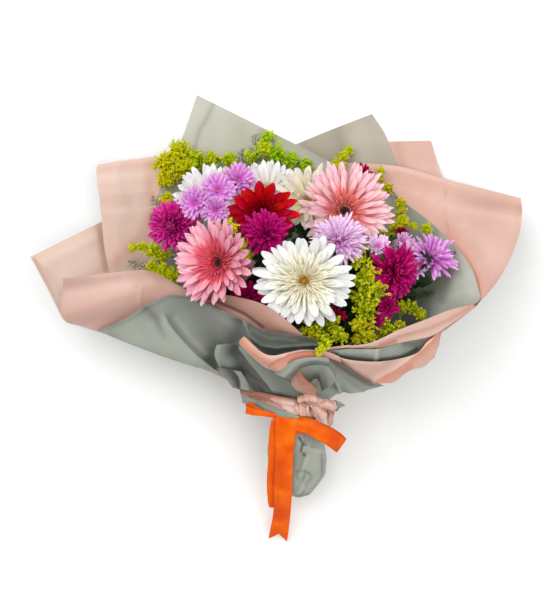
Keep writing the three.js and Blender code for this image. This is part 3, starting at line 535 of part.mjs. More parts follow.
// stem tie: a band of twine around the bundle under the ribbon
const ringAround = (t0, t1, in0, out0, in1 = in0, out1 = out0, n = 24) => {
  const pts = [], tri = [];
  const ring = (t, r) => { for (let i = 0; i < n; i++) { const w = (i / n) * 2 * Math.PI; const q = neck.clone().addScaledVector(along, t).addScaledVector(side, r * Math.cos(w)).addScaledVector(back, r * Math.sin(w)); pts.push([q.x, q.y, q.z]); } };
  ring(t0, in0); ring(t0, out0); ring(t1, out1); ring(t1, in1);
  for (let k = 0; k < 4; k++) for (let i = 0; i < n; i++) {
    const a = k * n + i, b = k * n + ((i + 1) % n), c = ((k + 1) % 4) * n + i, d = ((k + 1) % 4) * n + ((i + 1) % n);
    tri.push([a, b, d], [a, d, c]);
  }
  return solidFixed(pts, tri);
};
pieces.push({ name: 'stem_tie', mat: MAT.twine, kind: 'tie', body: (g) => ringAround(-6 - g, 6 + g, BUNDLE_RADIUS + 0.3 - g, TIE_RADIUS + g) });
// handle wrap: paper folded round the lower stems, open at the neck and closed at its foot
const sleeve = (g) => {
  const T = SLEEVE.thick, out = SLEEVE.stations.map(([t, x, b]) => (x ? [t, x + g, b + g] : [t, 0, 0])), foot = SLEEVE.stations[0][0];
  const inn = SLEEVE.stations.map(([t, x, b], k) => (x ? [k ? t : t + 2 * T, x - T - g, b - T - g] : [t + 2 * T, 0, 0])).reverse();
  out[0][0] -= g; inn[0][0] += g; out[out.length - 1][0] += g;
  const all = [...out, ...inn], n = 16, m = all.length;
  const geo = new THREE.LatheGeometry(all.map(([t, x]) => new THREE.Vector2(x, t)), n);
  const pos = geo.attributes.position;
  for (let i = 0; i <= n; i++) for (let k = 0; k < m; k++) {
    const w = ((i % n) / n) * 2 * Math.PI, [t, x, b] = all[k];
    const lean = SLEEVE.lean * Math.pow(Math.max(0, -t / -foot), 3) * -1;
    const on = x === 0 ? 0 : 1;
    const q = neck.clone().addScaledVector(along, t).addScaledVector(side, on * x * Math.cos(w) - lean).addScaledVector(back, on * b * Math.sin(w));
    pos.setXYZ(i * m + k, q.x, q.y, Math.max(q.z, 0.3 + (k >= out.length ? T : 0)));
  }
  return fixed(geo);
};
pieces.push({ name: 'handle_wrap', mat: MAT.sage, kind: 'hard', body: sleeve });
// ribbon round the neck, its knot, loops and tails
pieces.push({ name: 'ribbon_band', mat: MAT.ribbon, kind: 'hard', body: (g) => ringAround(-9 - g, 6 + g, 25.9 - g, 25.9 + RIBBON_THICK + g, 28.4 - g, 28.4 + RIBBON_THICK + g) });
pieces.push({ name: 'ribbon_knot', mat: MAT.ribbon, kind: 'hard', body: (g) => {
  const k = new THREE.SphereGeometry(1, 12, 8);
  const p = k.attributes.position;
  for (let i = 0; i < p.count; i++) { const q = [p.getX(i), p.getY(i), p.getZ(i)].map((v) => Math.sign(v) * Math.pow(Math.abs(v), 0.6)); p.setXYZ(i, q[0] * (KNOT.half[0] + g), q[1] * (KNOT.half[1] + g), q[2] * (KNOT.half[2] + g)); }
  k.rotateX(KNOT.tilt).translate(...KNOT.at);
  return fixed(k);
} });
for (const s of RIBBON) {
  const grid = surface(s.ribs, s.cells[0], s.cells[1]);
  pieces.push({ name: s.name, mat: MAT.ribbon, kind: 'hard', body: (g) => shell(grid, RIBBON_THICK, g) });
}

const colourOf = (name) => {
  if (name.includes('white')) return MAT.white;
  if (name.includes('pink')) return MAT.pink;
  if (name.includes('red')) return MAT.red;
  if (name.includes('magenta')) return MAT.magenta;
  if (name.includes('crimson')) return MAT.crimson;
  if (name.includes('lilac')) return MAT.lilac;
  return MAT.blush;
};
for (const f of FLOWERS) {
  const head = (h, g) => (f.kind === 'gerbera' ? gerbera(h, g) : mum(h, g));
  pieces.push({
    name: f.name, mat: colourOf(f.name), kind: 'flower', size: Math.max(...f.heads.map((h) => h.radius)),
    stems: (g) => {
      const list = [rod(sample(f.stem, 8), f.stem_radius + g, 5)];
      const fork = V(f.stem[f.stem.length - 1]);
      if (f.heads.length > 1) for (const h of f.heads) {
        const c = V(h.at), n = V(h.facing).normalize(), d = c.distanceTo(fork);
        list.push(rod([fork.clone().addScaledVector(c.clone().sub(fork).normalize(), -1), fork.clone().lerp(c.clone().addScaledVector(n, -d * 0.3), 0.5), c.clone().addScaledVector(n, -d * 0.14), c.clone().addScaledVector(n, 1)], Math.max(1.5, f.stem_radius - 0.5) + g, 5));
      }
      return union(list);
    },
    heads: (g) => f.heads.map((h) => head(h, g)),
  });
}
for (const s of SPRAYS) pieces.push({
  name: s.name, mat: MAT.goldenrod, kind: 'spray', size: 8,
  stems: (g) => {
    const spine = s.tufts.map((t) => V(t)).reverse();
    return union([rod(sample(s.stem, 7), s.stem_radius + g, 4), rod([V(s.stem[s.stem.length - 1]).addScaledVector(spine[0].clone().sub(V(s.stem[s.stem.length - 2])).normalize(), -0.5), ...spine.slice(1)], 1.1 + g, 4)]);
  },
  heads: (g) => s.tufts.map((t) => tuft(t[0], t[1], t[2], t[3] + g)),
});
for (const s of FERNS) pieces.push({
  name: s.name, mat: MAT.fern, kind: 'fern', size: 5,
  stems: (g) => {
    const fork = V(s.stem[s.stem.length - 1]);
    const list = [rod(sample(s.stem, 7), s.stem_radius + g, 4)];
    s.tips.forEach((tip, k) => {
      const T = V(tip), d = T.clone().sub(fork), L = d.length();
      const mid = fork.clone().lerp(T, 0.5).addScaledVector(new THREE.Vector3(0, 0, 1), L * 0.05);
      const start = fork.clone().addScaledVector(d.clone().normalize(), -0.6);
      list.push(rod([start, mid, T], 0.85 + g, 3));
      const w = new THREE.Vector3().crossVectors(d, new THREE.Vector3(0, 0, 1)).normalize();
      for (let i = 0; i < 2; i++) for (const q of [1, -1]) {
        const u = 0.6 + i * 0.2 + (q > 0 ? 0.05 : 0);
        const on = u < 0.5 ? fork.clone().lerp(mid, u * 2) : mid.clone().lerp(T, (u - 0.5) * 2);
        const out = on.clone().addScaledVector(w, q * L * 0.13 * (1.25 - u)).addScaledVector(d, 0.07);
        list.push(rod([on, out], 0.6 + g, 3));
      }
    });
    return union(list);
  },
  heads: () => [],
});

// ---------- keep neighbours apart ----------
const boxOf = (m) => { const b = m.boundingBox(); return [b.min, b.max]; };
const meet = (a, b) => { const [p, q] = boxOf(a), [r, s] = boxOf(b); for (let i = 0; i < 3; i++) if (p[i] > s[i] || r[i] > q[i]) return false; return true; };
const rank = { tie: 0, hard: 0, paper: 1, flower: 2, spray: 3, fern: 4 };
const done = [];
const order = pieces.slice().sort((a, b) => rank[a.kind] - rank[b.kind] || (b.size || 0) - (a.size || 0));
for (const p of order) {
  if (p.body) {
    p.core = p.body(0);
    p.fat = [p.body(GAP)];
  } else {
    p.coreStem = p.stems(0);
    p.fatStem = p.stems(GAP);
  }
}
for (const p of order) {
  if (p.body) {
    let m = p.core;
    for (const q of done) if (q.fatAll && meet(m, q.fatAll)) m = m.subtract(q.fatAll);
    p.final = largest(m);
    p.fatAll = p.fat[0];
    done.push(p);
  } else {
    let stem = p.coreStem;
    for (const q of done) if (q.fatStem && meet(stem, q.fatStem)) stem = stem.subtract(q.fatStem);
    for (const q of done) if (q.body && meet(stem, q.fatAll)) stem = stem.subtract(q.fatAll);
    stem = largest(stem);
    let heads = p.heads(0).map((h) => {
      for (const q of done) if (q.fatAll && meet(h, q.fatAll)) h = h.subtract(q.fatAll);
      for (const q of order) if (q !== p && q.fatStem && !done.includes(q) && meet(h, q.fatStem)) h = h.subtract(q.fatStem);
      return h.volume() > 1 ? largest(h) : h;
    }).filter((h) => h.volume() > 1);
    p.final = largest(union([stem, ...heads]));
    p.headCount = heads.length;
    p.fatAll = union([p.fatStem, ...p.heads(GAP)]);
    done.push(p);
  }
}

// ---------- assemble, origin at the middle of the underside ----------
const group = new THREE.Group();
group.name = 'flower_bouquet';
const box = new THREE.Box3();
for (const p of pieces) {
  const g = toGeometry(p.final);
  const mesh = new THREE.Mesh(g, p.mat);
  mesh.name = p.name;
  group.add(mesh);
  g.computeBoundingBox();
  box.union(g.boundingBox);
}
const shift = new THREE.Vector3(-(box.min.x + box.max.x) / 2, -(box.min.y + box.max.y) / 2, -box.min.z);
for (const m of group.children) m.geometry.translate(shift.x, shift.y, shift.z);
group.userData.shift = shift.toArray();

export default group;
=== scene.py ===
"""Mixed bouquet in a two-tone paper wrap, lying on its back and seen from straight above."""
import json
import math
import sys

import bpy
import numpy as np
from mathutils import Matrix, Vector
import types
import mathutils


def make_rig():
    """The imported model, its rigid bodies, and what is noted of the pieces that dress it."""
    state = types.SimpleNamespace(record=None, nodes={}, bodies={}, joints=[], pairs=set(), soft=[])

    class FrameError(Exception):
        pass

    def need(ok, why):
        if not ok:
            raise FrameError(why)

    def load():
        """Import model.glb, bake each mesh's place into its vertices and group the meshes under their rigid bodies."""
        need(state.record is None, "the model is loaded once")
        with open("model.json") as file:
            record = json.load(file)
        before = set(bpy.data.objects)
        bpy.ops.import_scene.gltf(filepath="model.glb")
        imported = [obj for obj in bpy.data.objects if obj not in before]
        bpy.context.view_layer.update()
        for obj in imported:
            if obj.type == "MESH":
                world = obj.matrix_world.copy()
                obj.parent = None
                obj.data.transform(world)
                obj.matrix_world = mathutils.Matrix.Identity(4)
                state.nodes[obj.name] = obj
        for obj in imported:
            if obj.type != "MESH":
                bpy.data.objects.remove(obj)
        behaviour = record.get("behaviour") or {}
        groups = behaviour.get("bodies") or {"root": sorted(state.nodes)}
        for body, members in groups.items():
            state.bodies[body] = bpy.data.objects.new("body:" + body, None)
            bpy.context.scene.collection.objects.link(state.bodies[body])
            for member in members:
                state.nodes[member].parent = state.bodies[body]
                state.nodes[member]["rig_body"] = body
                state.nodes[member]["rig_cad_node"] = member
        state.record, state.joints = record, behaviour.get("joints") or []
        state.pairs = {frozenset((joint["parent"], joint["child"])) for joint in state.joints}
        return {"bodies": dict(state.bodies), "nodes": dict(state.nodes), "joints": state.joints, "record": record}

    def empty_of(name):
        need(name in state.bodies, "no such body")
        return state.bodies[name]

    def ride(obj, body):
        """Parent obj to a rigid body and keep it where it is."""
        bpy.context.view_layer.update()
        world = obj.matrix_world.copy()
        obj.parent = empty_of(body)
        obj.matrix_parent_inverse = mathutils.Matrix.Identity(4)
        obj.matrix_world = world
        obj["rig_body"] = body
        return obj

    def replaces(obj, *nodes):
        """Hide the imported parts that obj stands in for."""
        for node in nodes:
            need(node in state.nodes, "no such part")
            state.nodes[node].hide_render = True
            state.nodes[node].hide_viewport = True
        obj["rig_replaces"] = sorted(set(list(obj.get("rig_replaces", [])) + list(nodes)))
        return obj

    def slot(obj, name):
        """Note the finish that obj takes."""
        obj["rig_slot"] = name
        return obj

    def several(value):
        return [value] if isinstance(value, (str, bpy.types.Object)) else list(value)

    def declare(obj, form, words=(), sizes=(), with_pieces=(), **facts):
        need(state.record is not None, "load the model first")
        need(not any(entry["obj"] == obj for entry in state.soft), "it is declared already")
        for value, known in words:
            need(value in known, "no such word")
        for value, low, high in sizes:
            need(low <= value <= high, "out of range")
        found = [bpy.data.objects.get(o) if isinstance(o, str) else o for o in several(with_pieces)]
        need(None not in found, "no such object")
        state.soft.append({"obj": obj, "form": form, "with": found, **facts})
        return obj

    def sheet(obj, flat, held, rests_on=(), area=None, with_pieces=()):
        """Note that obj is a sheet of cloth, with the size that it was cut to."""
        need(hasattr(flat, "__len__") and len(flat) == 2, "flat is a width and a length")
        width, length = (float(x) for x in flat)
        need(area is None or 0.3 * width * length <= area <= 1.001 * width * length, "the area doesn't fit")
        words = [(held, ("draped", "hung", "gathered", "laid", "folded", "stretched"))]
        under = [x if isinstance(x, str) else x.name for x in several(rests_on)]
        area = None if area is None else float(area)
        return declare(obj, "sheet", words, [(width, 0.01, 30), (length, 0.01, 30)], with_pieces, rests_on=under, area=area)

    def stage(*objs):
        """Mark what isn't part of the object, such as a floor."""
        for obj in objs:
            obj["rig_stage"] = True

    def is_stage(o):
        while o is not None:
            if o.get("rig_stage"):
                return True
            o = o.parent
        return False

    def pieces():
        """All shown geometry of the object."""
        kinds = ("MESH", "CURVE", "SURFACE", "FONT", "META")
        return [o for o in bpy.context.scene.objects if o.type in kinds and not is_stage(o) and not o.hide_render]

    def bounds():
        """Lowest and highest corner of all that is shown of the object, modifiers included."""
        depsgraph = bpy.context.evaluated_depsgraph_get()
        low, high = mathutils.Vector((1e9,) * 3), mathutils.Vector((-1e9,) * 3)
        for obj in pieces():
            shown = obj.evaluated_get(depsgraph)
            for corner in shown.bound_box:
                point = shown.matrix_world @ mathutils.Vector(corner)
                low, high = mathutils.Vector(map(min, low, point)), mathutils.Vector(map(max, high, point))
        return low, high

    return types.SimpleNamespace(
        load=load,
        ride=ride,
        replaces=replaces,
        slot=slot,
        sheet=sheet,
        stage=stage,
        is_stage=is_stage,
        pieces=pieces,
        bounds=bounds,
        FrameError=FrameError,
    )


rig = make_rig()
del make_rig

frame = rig.load()
cad_lo, cad_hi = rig.bounds()
MM = 0.001

# ---------------------------------------------------------------- measured data, mm
SHIFT_MM = [-1.7168, 16.5714, -0.15]
CAM_HEIGHT = 2200.0
FLOOR_MM = 0.6
NECK = [22.12, -123.65, 85.0]
ALONG = [-0.024005, 0.814229, 0.580048]
BACKWARD = [-0.0, 0.580215, -0.814463]
SIDE = [0.999712, 0.019551, 0.013928]
SLEEVE = [[-119, 0, 0], [-117.5, 8, 7], [-111, 18, 17.5], [-99, 26, 24], [-85, 31.5, 27], [-70, 33.5, 28], [-52, 33.2, 27.8], [-30, 29.5, 26.6], [-10, 25.6, 25.4]]
KNOT = dict(at=[11.76, -127.08, 112.5], half=[11.0, 7.5, 4.2], tilt=0.6)
SHEETS = [
    {'name': 'wrap_back_left_sage', 'ribs': [[[2.13, -128.49, 77.18], [5.53, -123.67, 70.55], [12.07, -120.06, 65.76], [19.46, -118.44, 63.79], [25.17, -118.33, 63.87]], [[0.22, -113.72, 87.39], [3.86, -108.54, 80.27], [10.88, -104.67, 75.13], [18.82, -102.93, 73.01], [24.94, -102.81, 73.1]], [[-41.54, -77.4, 78.0], [-18.94, -82.64, 60.0], [4.04, -84.18, 50.0], [24.83, -84.3, 47.0], [43.24, -85.34, 50.0]], [[-110.51, -19.47, 65.0], [-74.8, -24.35, 38.0], [-35.61, -24.52, 23.0], [4.1, -24.58, 18.0], [41.51, -25.72, 20.0]], [[-143.35, 74.28, 36.0], [-101.23, 53.84, 18.0], [-52.25, 44.62, 11.0], [-2.94, 39.96, 9.0], [41.7, 37.59, 10.0]], [[-133.94, 141.55, 19.0], [-89.9, 126.92, 9.0], [-42.93, 115.27, 7.0], [4.12, 105.91, 6.0], [48.79, 96.41, 8.0]], [[-112.43, 191.9, 5.0], [-73.65, 179.12, 3.0], [-31.21, 162.54, 4.0], [11.18, 144.8, 5.2], [58.22, 127.03, 7.0]], [[-93.78, 246.55, 0.6], [-50.13, 224.71, 0.8], [-6.48, 202.7, 2.8], [37.1, 180.77, 4.4], [80.59, 158.84, 6.4]]]},
    {'name': 'wrap_back_mid_sage', 'ribs': [[[9.87, -117.9, 62.62], [14.62, -116.57, 60.96], [19.71, -115.85, 60.15], [24.92, -115.75, 60.23], [30.01, -116.27, 61.18]], [[8.08, -101.91, 71.14], [13.35, -100.44, 69.3], [19.0, -99.64, 68.4], [24.77, -99.53, 68.48], [30.41, -100.11, 69.54]], [[0.58, -84.57, 40.0], [13.34, -85.81, 38.0], [26.09, -86.97, 38.0], [39.97, -86.89, 40.0], [53.8, -87.93, 43.0]], [[-17.04, -25.85, 9.0], [8.82, -25.88, 7.0], [34.72, -25.89, 6.0], [60.55, -25.87, 8.0], [83.91, -26.99, 12.0]], [[-17.09, 49.51, 2.2], [15.93, 49.55, 0.6], [48.96, 49.55, 0.6], [81.99, 49.55, 0.6], [112.49, 49.47, 4.0]], [[-1.77, 122.69, 0.6], [30.08, 130.94, 0.6], [65.47, 136.84, 0.6], [94.96, 136.84, 0.6], [126.76, 134.42, 1.6]], [[10.03, 182.85, 0.6], [59.57, 203.49, 0.6], [112.66, 224.14, 0.6], [127.96, 200.49, 1.2], [143.23, 162.68, 2.2]]]},
    {'name': 'wrap_back_right_peach', 'ribs': [[[32.44, -116.77, 61.97], [36.23, -117.91, 63.74], [39.61, -119.43, 66.01], [42.45, -121.28, 68.72]], [[33.1, -100.66, 70.42], [37.31, -101.93, 72.38], [41.05, -103.61, 74.9], [44.2, -105.66, 77.9]], [[62.07, -89.33, 37.0], [71.25, -90.37, 40.0], [79.25, -91.4, 43.0], [87.19, -92.38, 47.0]], [[91.08, -28.2, 9.0], [107.33, -29.33, 13.0], [121.02, -30.4, 20.0], [132.23, -31.45, 28.0]], [[114.86, 49.48, 3.6], [134.64, 48.21, 7.6], [151.84, 46.9, 14.0], [165.3, 45.56, 22.0]], [[129.13, 122.64, 1.4], [149.11, 122.59, 2.4], [168.87, 120.03, 6.0], [187.18, 115.01, 12.0]], [[130.94, 191.58, 0.6], [156.29, 192.27, 0.8], [182.18, 192.44, 1.6], [194.49, 146.9, 9.0]]]},
    {'name': 'wrap_left_upper_peach', 'ribs': [[[-0.37, -131.07, 80.69], [0.5, -126.96, 74.96], [3.5, -123.17, 69.76], [8.34, -120.06, 65.6]], [[-2.9, -116.5, 91.16], [-1.95, -112.01, 84.9], [1.33, -107.86, 79.22], [6.62, -104.47, 74.67]], [[-46.18, -76.4, 74.0], [-30.42, -80.35, 60.0], [-14.43, -81.95, 48.0], [4.05, -83.34, 42.0]], [[-132.66, -25.05, 77.0], [-100.12, -20.83, 42.0], [-66.0, -19.86, 22.0], [-31.09, -21.11, 13.0]], [[-180.91, 18.26, 72.0], [-146.56, 26.65, 40.0], [-103.62, 37.47, 17.0], [-59.39, 39.98, 7.5]], [[-193.83, 52.6, 68.0], [-160.61, 68.42, 38.0], [-120.02, 79.62, 17.0], [-75.87, 82.34, 7.0]], [[-200.29, 105.6, 60.0], [-168.03, 115.12, 32.0], [-130.85, 124.4, 12.0], [-85.38, 124.82, 4.5]], [[-206.8, 152.08, 52.0], [-173.16, 158.58, 26.0], [-136.97, 163.42, 8.0], [-90.17, 160.3, 2.5]], [[-206.03, 161.6, 48.0], [-173.4, 168.14, 23.0], [-137.1, 173.58, 6.0], [-92.58, 176.9, 1.2]]]},
    {'name': 'wrap_left_lower_peach', 'ribs': [[[-1.08, -135.56, 86.97], [-2.44, -132.16, 82.13], [-2.34, -128.64, 77.19], [-0.77, -125.2, 72.44], [2.17, -122.07, 68.16], [6.31, -119.41, 64.6]], [[-4.05, -121.49, 98.13], [-5.56, -117.72, 92.77], [-5.44, -113.81, 87.29], [-3.7, -110.01, 82.02], [-0.44, -106.53, 77.28], [4.15, -103.59, 73.33]], [[-43.7, -93.07, 84.0], [-47.41, -84.54, 70.0], [-45.42, -78.2, 56.0], [-36.43, -75.17, 44.0], [-24.95, -75.44, 36.0], [-9.88, -76.75, 32.0]], [[-122.68, -56.53, 92.0], [-123.72, -42.19, 74.0], [-120.06, -28.72, 58.0], [-107.07, -18.52, 42.0], [-86.83, -11.66, 27.0], [-63.84, -8.2, 16.0]], [[-185.29, -37.17, 100.0], [-195.41, -12.46, 88.0], [-201.08, 9.11, 76.0], [-175.7, 24.19, 52.0], [-142.58, 34.92, 30.0], [-106.16, 42.23, 13.0]], [[-222.73, -23.56, 108.0], [-236.87, 4.5, 102.0], [-247.05, 31.66, 92.0], [-218.05, 52.65, 66.0], [-179.33, 68.48, 36.0], [-136.72, 77.46, 12.0]], [[-240.22, -16.8, 112.0], [-258.14, 17.92, 112.0], [-276.59, 52.74, 108.0], [-237.75, 75.26, 74.0], [-195.03, 98.39, 42.0], [-148.66, 122.22, 9.0]]]},
    {'name': 'wrap_right_peach', 'ribs': [[[19.15, -117.18, 62.01], [25.47, -117.06, 62.1], [31.54, -117.95, 63.6], [36.9, -119.79, 66.4], [41.13, -122.43, 70.28], [43.9, -125.67, 74.95], [44.99, -129.26, 80.03], [44.33, -132.92, 85.14], [41.97, -136.37, 89.88]], [[18.43, -101.33, 70.75], [25.33, -101.19, 70.85], [31.97, -102.17, 72.49], [37.82, -104.17, 75.55], [42.44, -107.06, 79.79], [45.46, -110.6, 84.89], [46.66, -114.52, 90.44], [45.94, -118.52, 96.02], [43.35, -122.28, 101.2]], [[27.19, -87.93, 43.0], [43.36, -87.89, 44.0], [59.47, -88.92, 47.0], [73.12, -90.97, 53.0], [82.07, -92.97, 60.0], [86.34, -96.06, 68.0], [87.15, -97.97, 76.0], [85.65, -98.69, 85.0], [81.89, -99.4, 94.0]], [[48.68, -21.11, 13.0], [74.49, -23.46, 13.0], [97.72, -26.92, 18.0], [118.25, -32.62, 28.0], [133.69, -39.35, 42.0], [141.89, -48.25, 58.0], [141.83, -56.96, 76.0], [132.73, -65.52, 94.0], [118.27, -71.74, 110.0]], [[67.63, 49.4, 7.0], [95.84, 47.04, 7.5], [126.1, 44.58, 13.0], [153.34, 37.31, 26.0], [172.8, 24.27, 45.0], [182.39, 4.57, 68.0], [182.6, -18.09, 92.0], [169.51, -38.04, 114.0], [148.22, -51.07, 130.0]], [[79.47, 116.55, 5.0], [112.43, 115.38, 5.0], [149.7, 110.37, 11.0], [185.9, 102.57, 27.0], [216.22, 87.64, 50.0], [227.28, 59.24, 76.0], [221.12, 22.51, 102.0], [204.13, -6.67, 126.0], [173.85, -28.7, 142.0]], [[70.08, 167.26, 4.0], [141.83, 162.43, 5.5], [192.7, 147.6, 16.0], [240.84, 133.48, 36.0], [280.12, 121.44, 64.0], [277.76, 89.75, 82.0], [260.01, 44.93, 106.0], [227.94, 4.44, 132.0], [183.07, -30.79, 150.0]]]},
    {'name': 'wrap_right_sage_liner', 'ribs': [[[26.57, -118.45, 64.09], [32.56, -119.66, 66.04], [37.06, -121.61, 68.97], [40.41, -124.23, 72.77], [42.36, -127.3, 77.17], [42.76, -130.59, 81.81], [41.31, -134.25, 86.88], [38.01, -137.5, 91.31], [33.17, -140.04, 94.67], [27.27, -141.61, 96.63]], [[26.45, -102.93, 73.34], [32.88, -104.24, 75.44], [37.7, -106.33, 78.57], [41.3, -109.14, 82.66], [43.39, -112.43, 87.37], [43.82, -115.97, 92.36], [42.27, -119.89, 97.8], [38.73, -123.38, 102.55], [33.54, -126.11, 106.16], [27.2, -127.79, 108.26]], [[47.75, -82.84, 55.0], [59.17, -83.87, 58.0], [67.02, -84.78, 64.0], [72.51, -86.79, 71.0], [74.51, -88.73, 79.0], [74.2, -90.62, 88.0], [71.59, -91.32, 98.0], [66.76, -92.01, 108.0], [60.89, -91.61, 117.0], [54.0, -90.19, 124.0]], [[76.45, -21.01, 24.0], [94.9, -25.62, 29.0], [110.69, -32.45, 39.0], [121.55, -40.32, 52.0], [127.56, -48.05, 67.0], [127.74, -54.5, 83.0], [122.21, -59.7, 100.0], [111.11, -63.65, 118.0], [96.96, -65.38, 134.0], [80.9, -64.94, 148.0]], [[95.38, 51.5, 18.0], [120.74, 44.33, 25.0], [141.99, 33.61, 39.0], [156.9, 20.69, 57.0], [165.68, 5.69, 77.0], [166.3, -10.15, 98.0], [160.09, -24.54, 120.0], [145.3, -35.36, 140.0], [127.6, -42.71, 158.0], [108.12, -48.9, 174.0]], [[111.82, 107.72, 17.0], [140.57, 95.66, 25.0], [166.02, 78.67, 43.0], [185.03, 58.43, 64.0], [195.41, 36.25, 88.0], [198.79, 13.44, 112.0], [194.48, -5.54, 134.0], [169.47, -18.65, 155.0], [145.21, -28.28, 172.0], [122.61, -36.73, 186.0]], [[126.98, 133.42, 18.0], [157.56, 111.63, 32.0], [183.59, 88.63, 54.0], [206.48, 63.71, 79.0], [220.91, 37.1, 104.0], [227.05, 6.66, 130.0], [217.58, 0.0, 146.0], [187.65, -7.11, 160.0], [156.09, -18.49, 172.0], [129.34, -28.68, 182.0]]]},
    {'name': 'wrap_front_left_peach', 'ribs': [[[3.31, -134.99, 86.35], [5.32, -137.15, 89.46], [8.08, -139.0, 92.17], [11.45, -140.46, 94.37], [15.3, -141.48, 95.95], [19.46, -142.0, 96.85], [23.74, -142.0, 97.04]], [[1.49, -120.69, 97.23], [3.65, -123.0, 100.57], [6.6, -124.99, 103.48], [10.23, -126.56, 105.83], [14.36, -127.65, 107.53], [18.82, -128.21, 108.5], [23.42, -128.21, 108.7]], [[-44.7, -89.41, 90.0], [-37.77, -83.43, 98.0], [-29.78, -78.66, 105.0], [-19.6, -75.04, 112.0], [-7.26, -72.59, 118.0], [6.13, -71.33, 122.0], [21.71, -71.26, 124.0]], [[-142.49, -49.56, 100.0], [-121.51, -40.32, 112.0], [-98.54, -33.4, 124.0], [-73.55, -32.07, 138.0], [-42.33, -35.19, 150.0], [-13.68, -43.77, 160.0], [16.93, -48.05, 164.0]], [[-215.79, -25.78, 110.0], [-182.23, -16.72, 122.0], [-140.18, -8.87, 134.0], [-101.71, -7.7, 150.0], [-52.81, -17.42, 170.0], [-15.68, -30.28, 184.0], [21.02, -39.89, 190.0]], [[-237.5, -14.46, 126.0], [-188.94, -2.22, 134.0], [-140.47, 9.92, 146.0], [-101.11, 6.56, 162.0], [-49.25, -5.41, 182.0], [-12.36, -19.35, 196.0], [24.14, -35.4, 200.0]], [[-235.21, 28.64, 146.0], [-185.63, 34.15, 146.0], [-138.82, 36.21, 154.0], [-100.81, 17.44, 168.0], [-43.71, 7.55, 188.0], [-9.12, -3.22, 200.0], [28.37, -32.12, 204.0]]]},
    {'name': 'wrap_front_left_sage', 'ribs': [[[-0.43, -136.49, 88.29], [0.98, -138.02, 90.51], [2.7, -139.44, 92.57], [5.02, -140.9, 94.71], [7.68, -142.14, 96.56], [10.24, -143.04, 97.93], [12.99, -143.74, 99.03]], [[-3.33, -122.51, 99.59], [-1.77, -124.22, 102.05], [0.14, -125.79, 104.34], [2.71, -127.4, 106.7], [5.66, -128.78, 108.76], [8.5, -129.78, 110.27], [11.54, -130.56, 111.5]], [[-43.51, -96.06, 93.0], [-39.95, -88.9, 102.0], [-35.31, -82.95, 110.0], [-30.72, -78.21, 117.0], [-25.07, -74.64, 123.0], [-19.46, -71.16, 127.0], [-13.88, -69.95, 130.0]], [[-64.86, -80.09, 97.0], [-55.49, -69.5, 110.0], [-47.32, -60.13, 124.0], [-40.39, -53.11, 137.0], [-33.59, -48.45, 147.0], [-29.08, -46.09, 154.0], [-24.62, -44.86, 160.0]], [[-131.03, -57.36, 103.0], [-113.24, -42.39, 120.0], [-95.48, -29.8, 142.0], [-78.23, -20.79, 160.0], [-61.4, -19.56, 174.0], [-45.98, -24.88, 183.0], [-32.93, -31.31, 187.0]], [[-201.03, -28.56, 112.0], [-174.95, -18.88, 129.0], [-143.07, -2.19, 156.0], [-115.27, 9.2, 182.0], [-87.78, 5.39, 192.0], [-61.74, -5.91, 198.0], [-38.04, -18.22, 202.0]]]},
    {'name': 'wrap_front_mid_sage', 'ribs': [[[10.97, -141.79, 96.21], [15.3, -142.83, 97.85], [19.94, -143.31, 98.71], [24.69, -143.22, 98.78], [28.57, -142.7, 98.22]], [[9.48, -128.21, 108.12], [14.22, -129.34, 109.9], [19.29, -129.87, 110.85], [24.47, -129.77, 110.92], [28.71, -129.21, 110.31]], [[-9.46, -73.49, 124.0], [2.78, -74.46, 128.0], [14.99, -74.39, 130.0], [27.2, -74.39, 130.0], [38.36, -75.61, 127.0]], [[-20.28, -52.62, 156.0], [-4.91, -57.88, 164.0], [12.53, -58.85, 168.0], [28.88, -57.76, 168.0], [43.14, -58.97, 164.0]], [[-29.71, -33.49, 186.0], [-11.31, -42.0, 192.0], [10.21, -45.14, 196.0], [31.71, -46.22, 196.0], [49.05, -49.59, 190.0]], [[-35.92, -17.16, 201.0], [-15.5, -28.86, 207.0], [8.01, -32.55, 210.0], [31.49, -36.29, 210.0], [55.13, -43.89, 204.0]]]},
    {'name': 'wrap_front_right_lip', 'ribs': [[[48.57, -48.03, 210.0], [74.18, -44.83, 210.0], [100.0, -41.18, 206.0], [129.46, -28.47, 197.0], [159.26, -17.28, 187.0], [188.72, -6.53, 172.0], [216.95, -0.55, 152.0]], [[48.64, -49.71, 207.0], [75.44, -46.55, 205.0], [104.64, -44.0, 199.0], [134.22, -34.5, 190.0], [164.22, -26.02, 179.0], [191.37, -14.18, 167.0], [218.26, -2.75, 150.0]], [[49.81, -50.34, 203.0], [76.78, -47.78, 198.0], [109.48, -47.46, 189.0], [138.14, -40.63, 180.0], [169.48, -34.33, 168.0], [194.12, -19.69, 161.0], [218.47, -4.4, 148.0]]]},
    {'name': 'wrap_front_right_sage', 'ribs': [[[53.15, -51.01, 198.0], [79.16, -48.47, 192.0], [109.81, -48.14, 183.0], [137.53, -41.31, 173.0], [164.43, -38.24, 163.0]], [[54.44, -51.75, 190.0], [80.6, -55.17, 183.0], [112.14, -55.8, 180.0], [136.78, -50.13, 168.0], [160.61, -44.95, 156.0]], [[55.74, -53.04, 182.0], [80.88, -59.71, 176.0], [112.53, -61.97, 173.0], [137.32, -59.63, 160.0], [155.66, -52.8, 149.0]], [[63.22, -70.37, 150.0], [83.1, -74.84, 148.0], [105.26, -78.26, 145.0], [125.41, -75.13, 140.0], [141.29, -67.6, 134.0]]]},
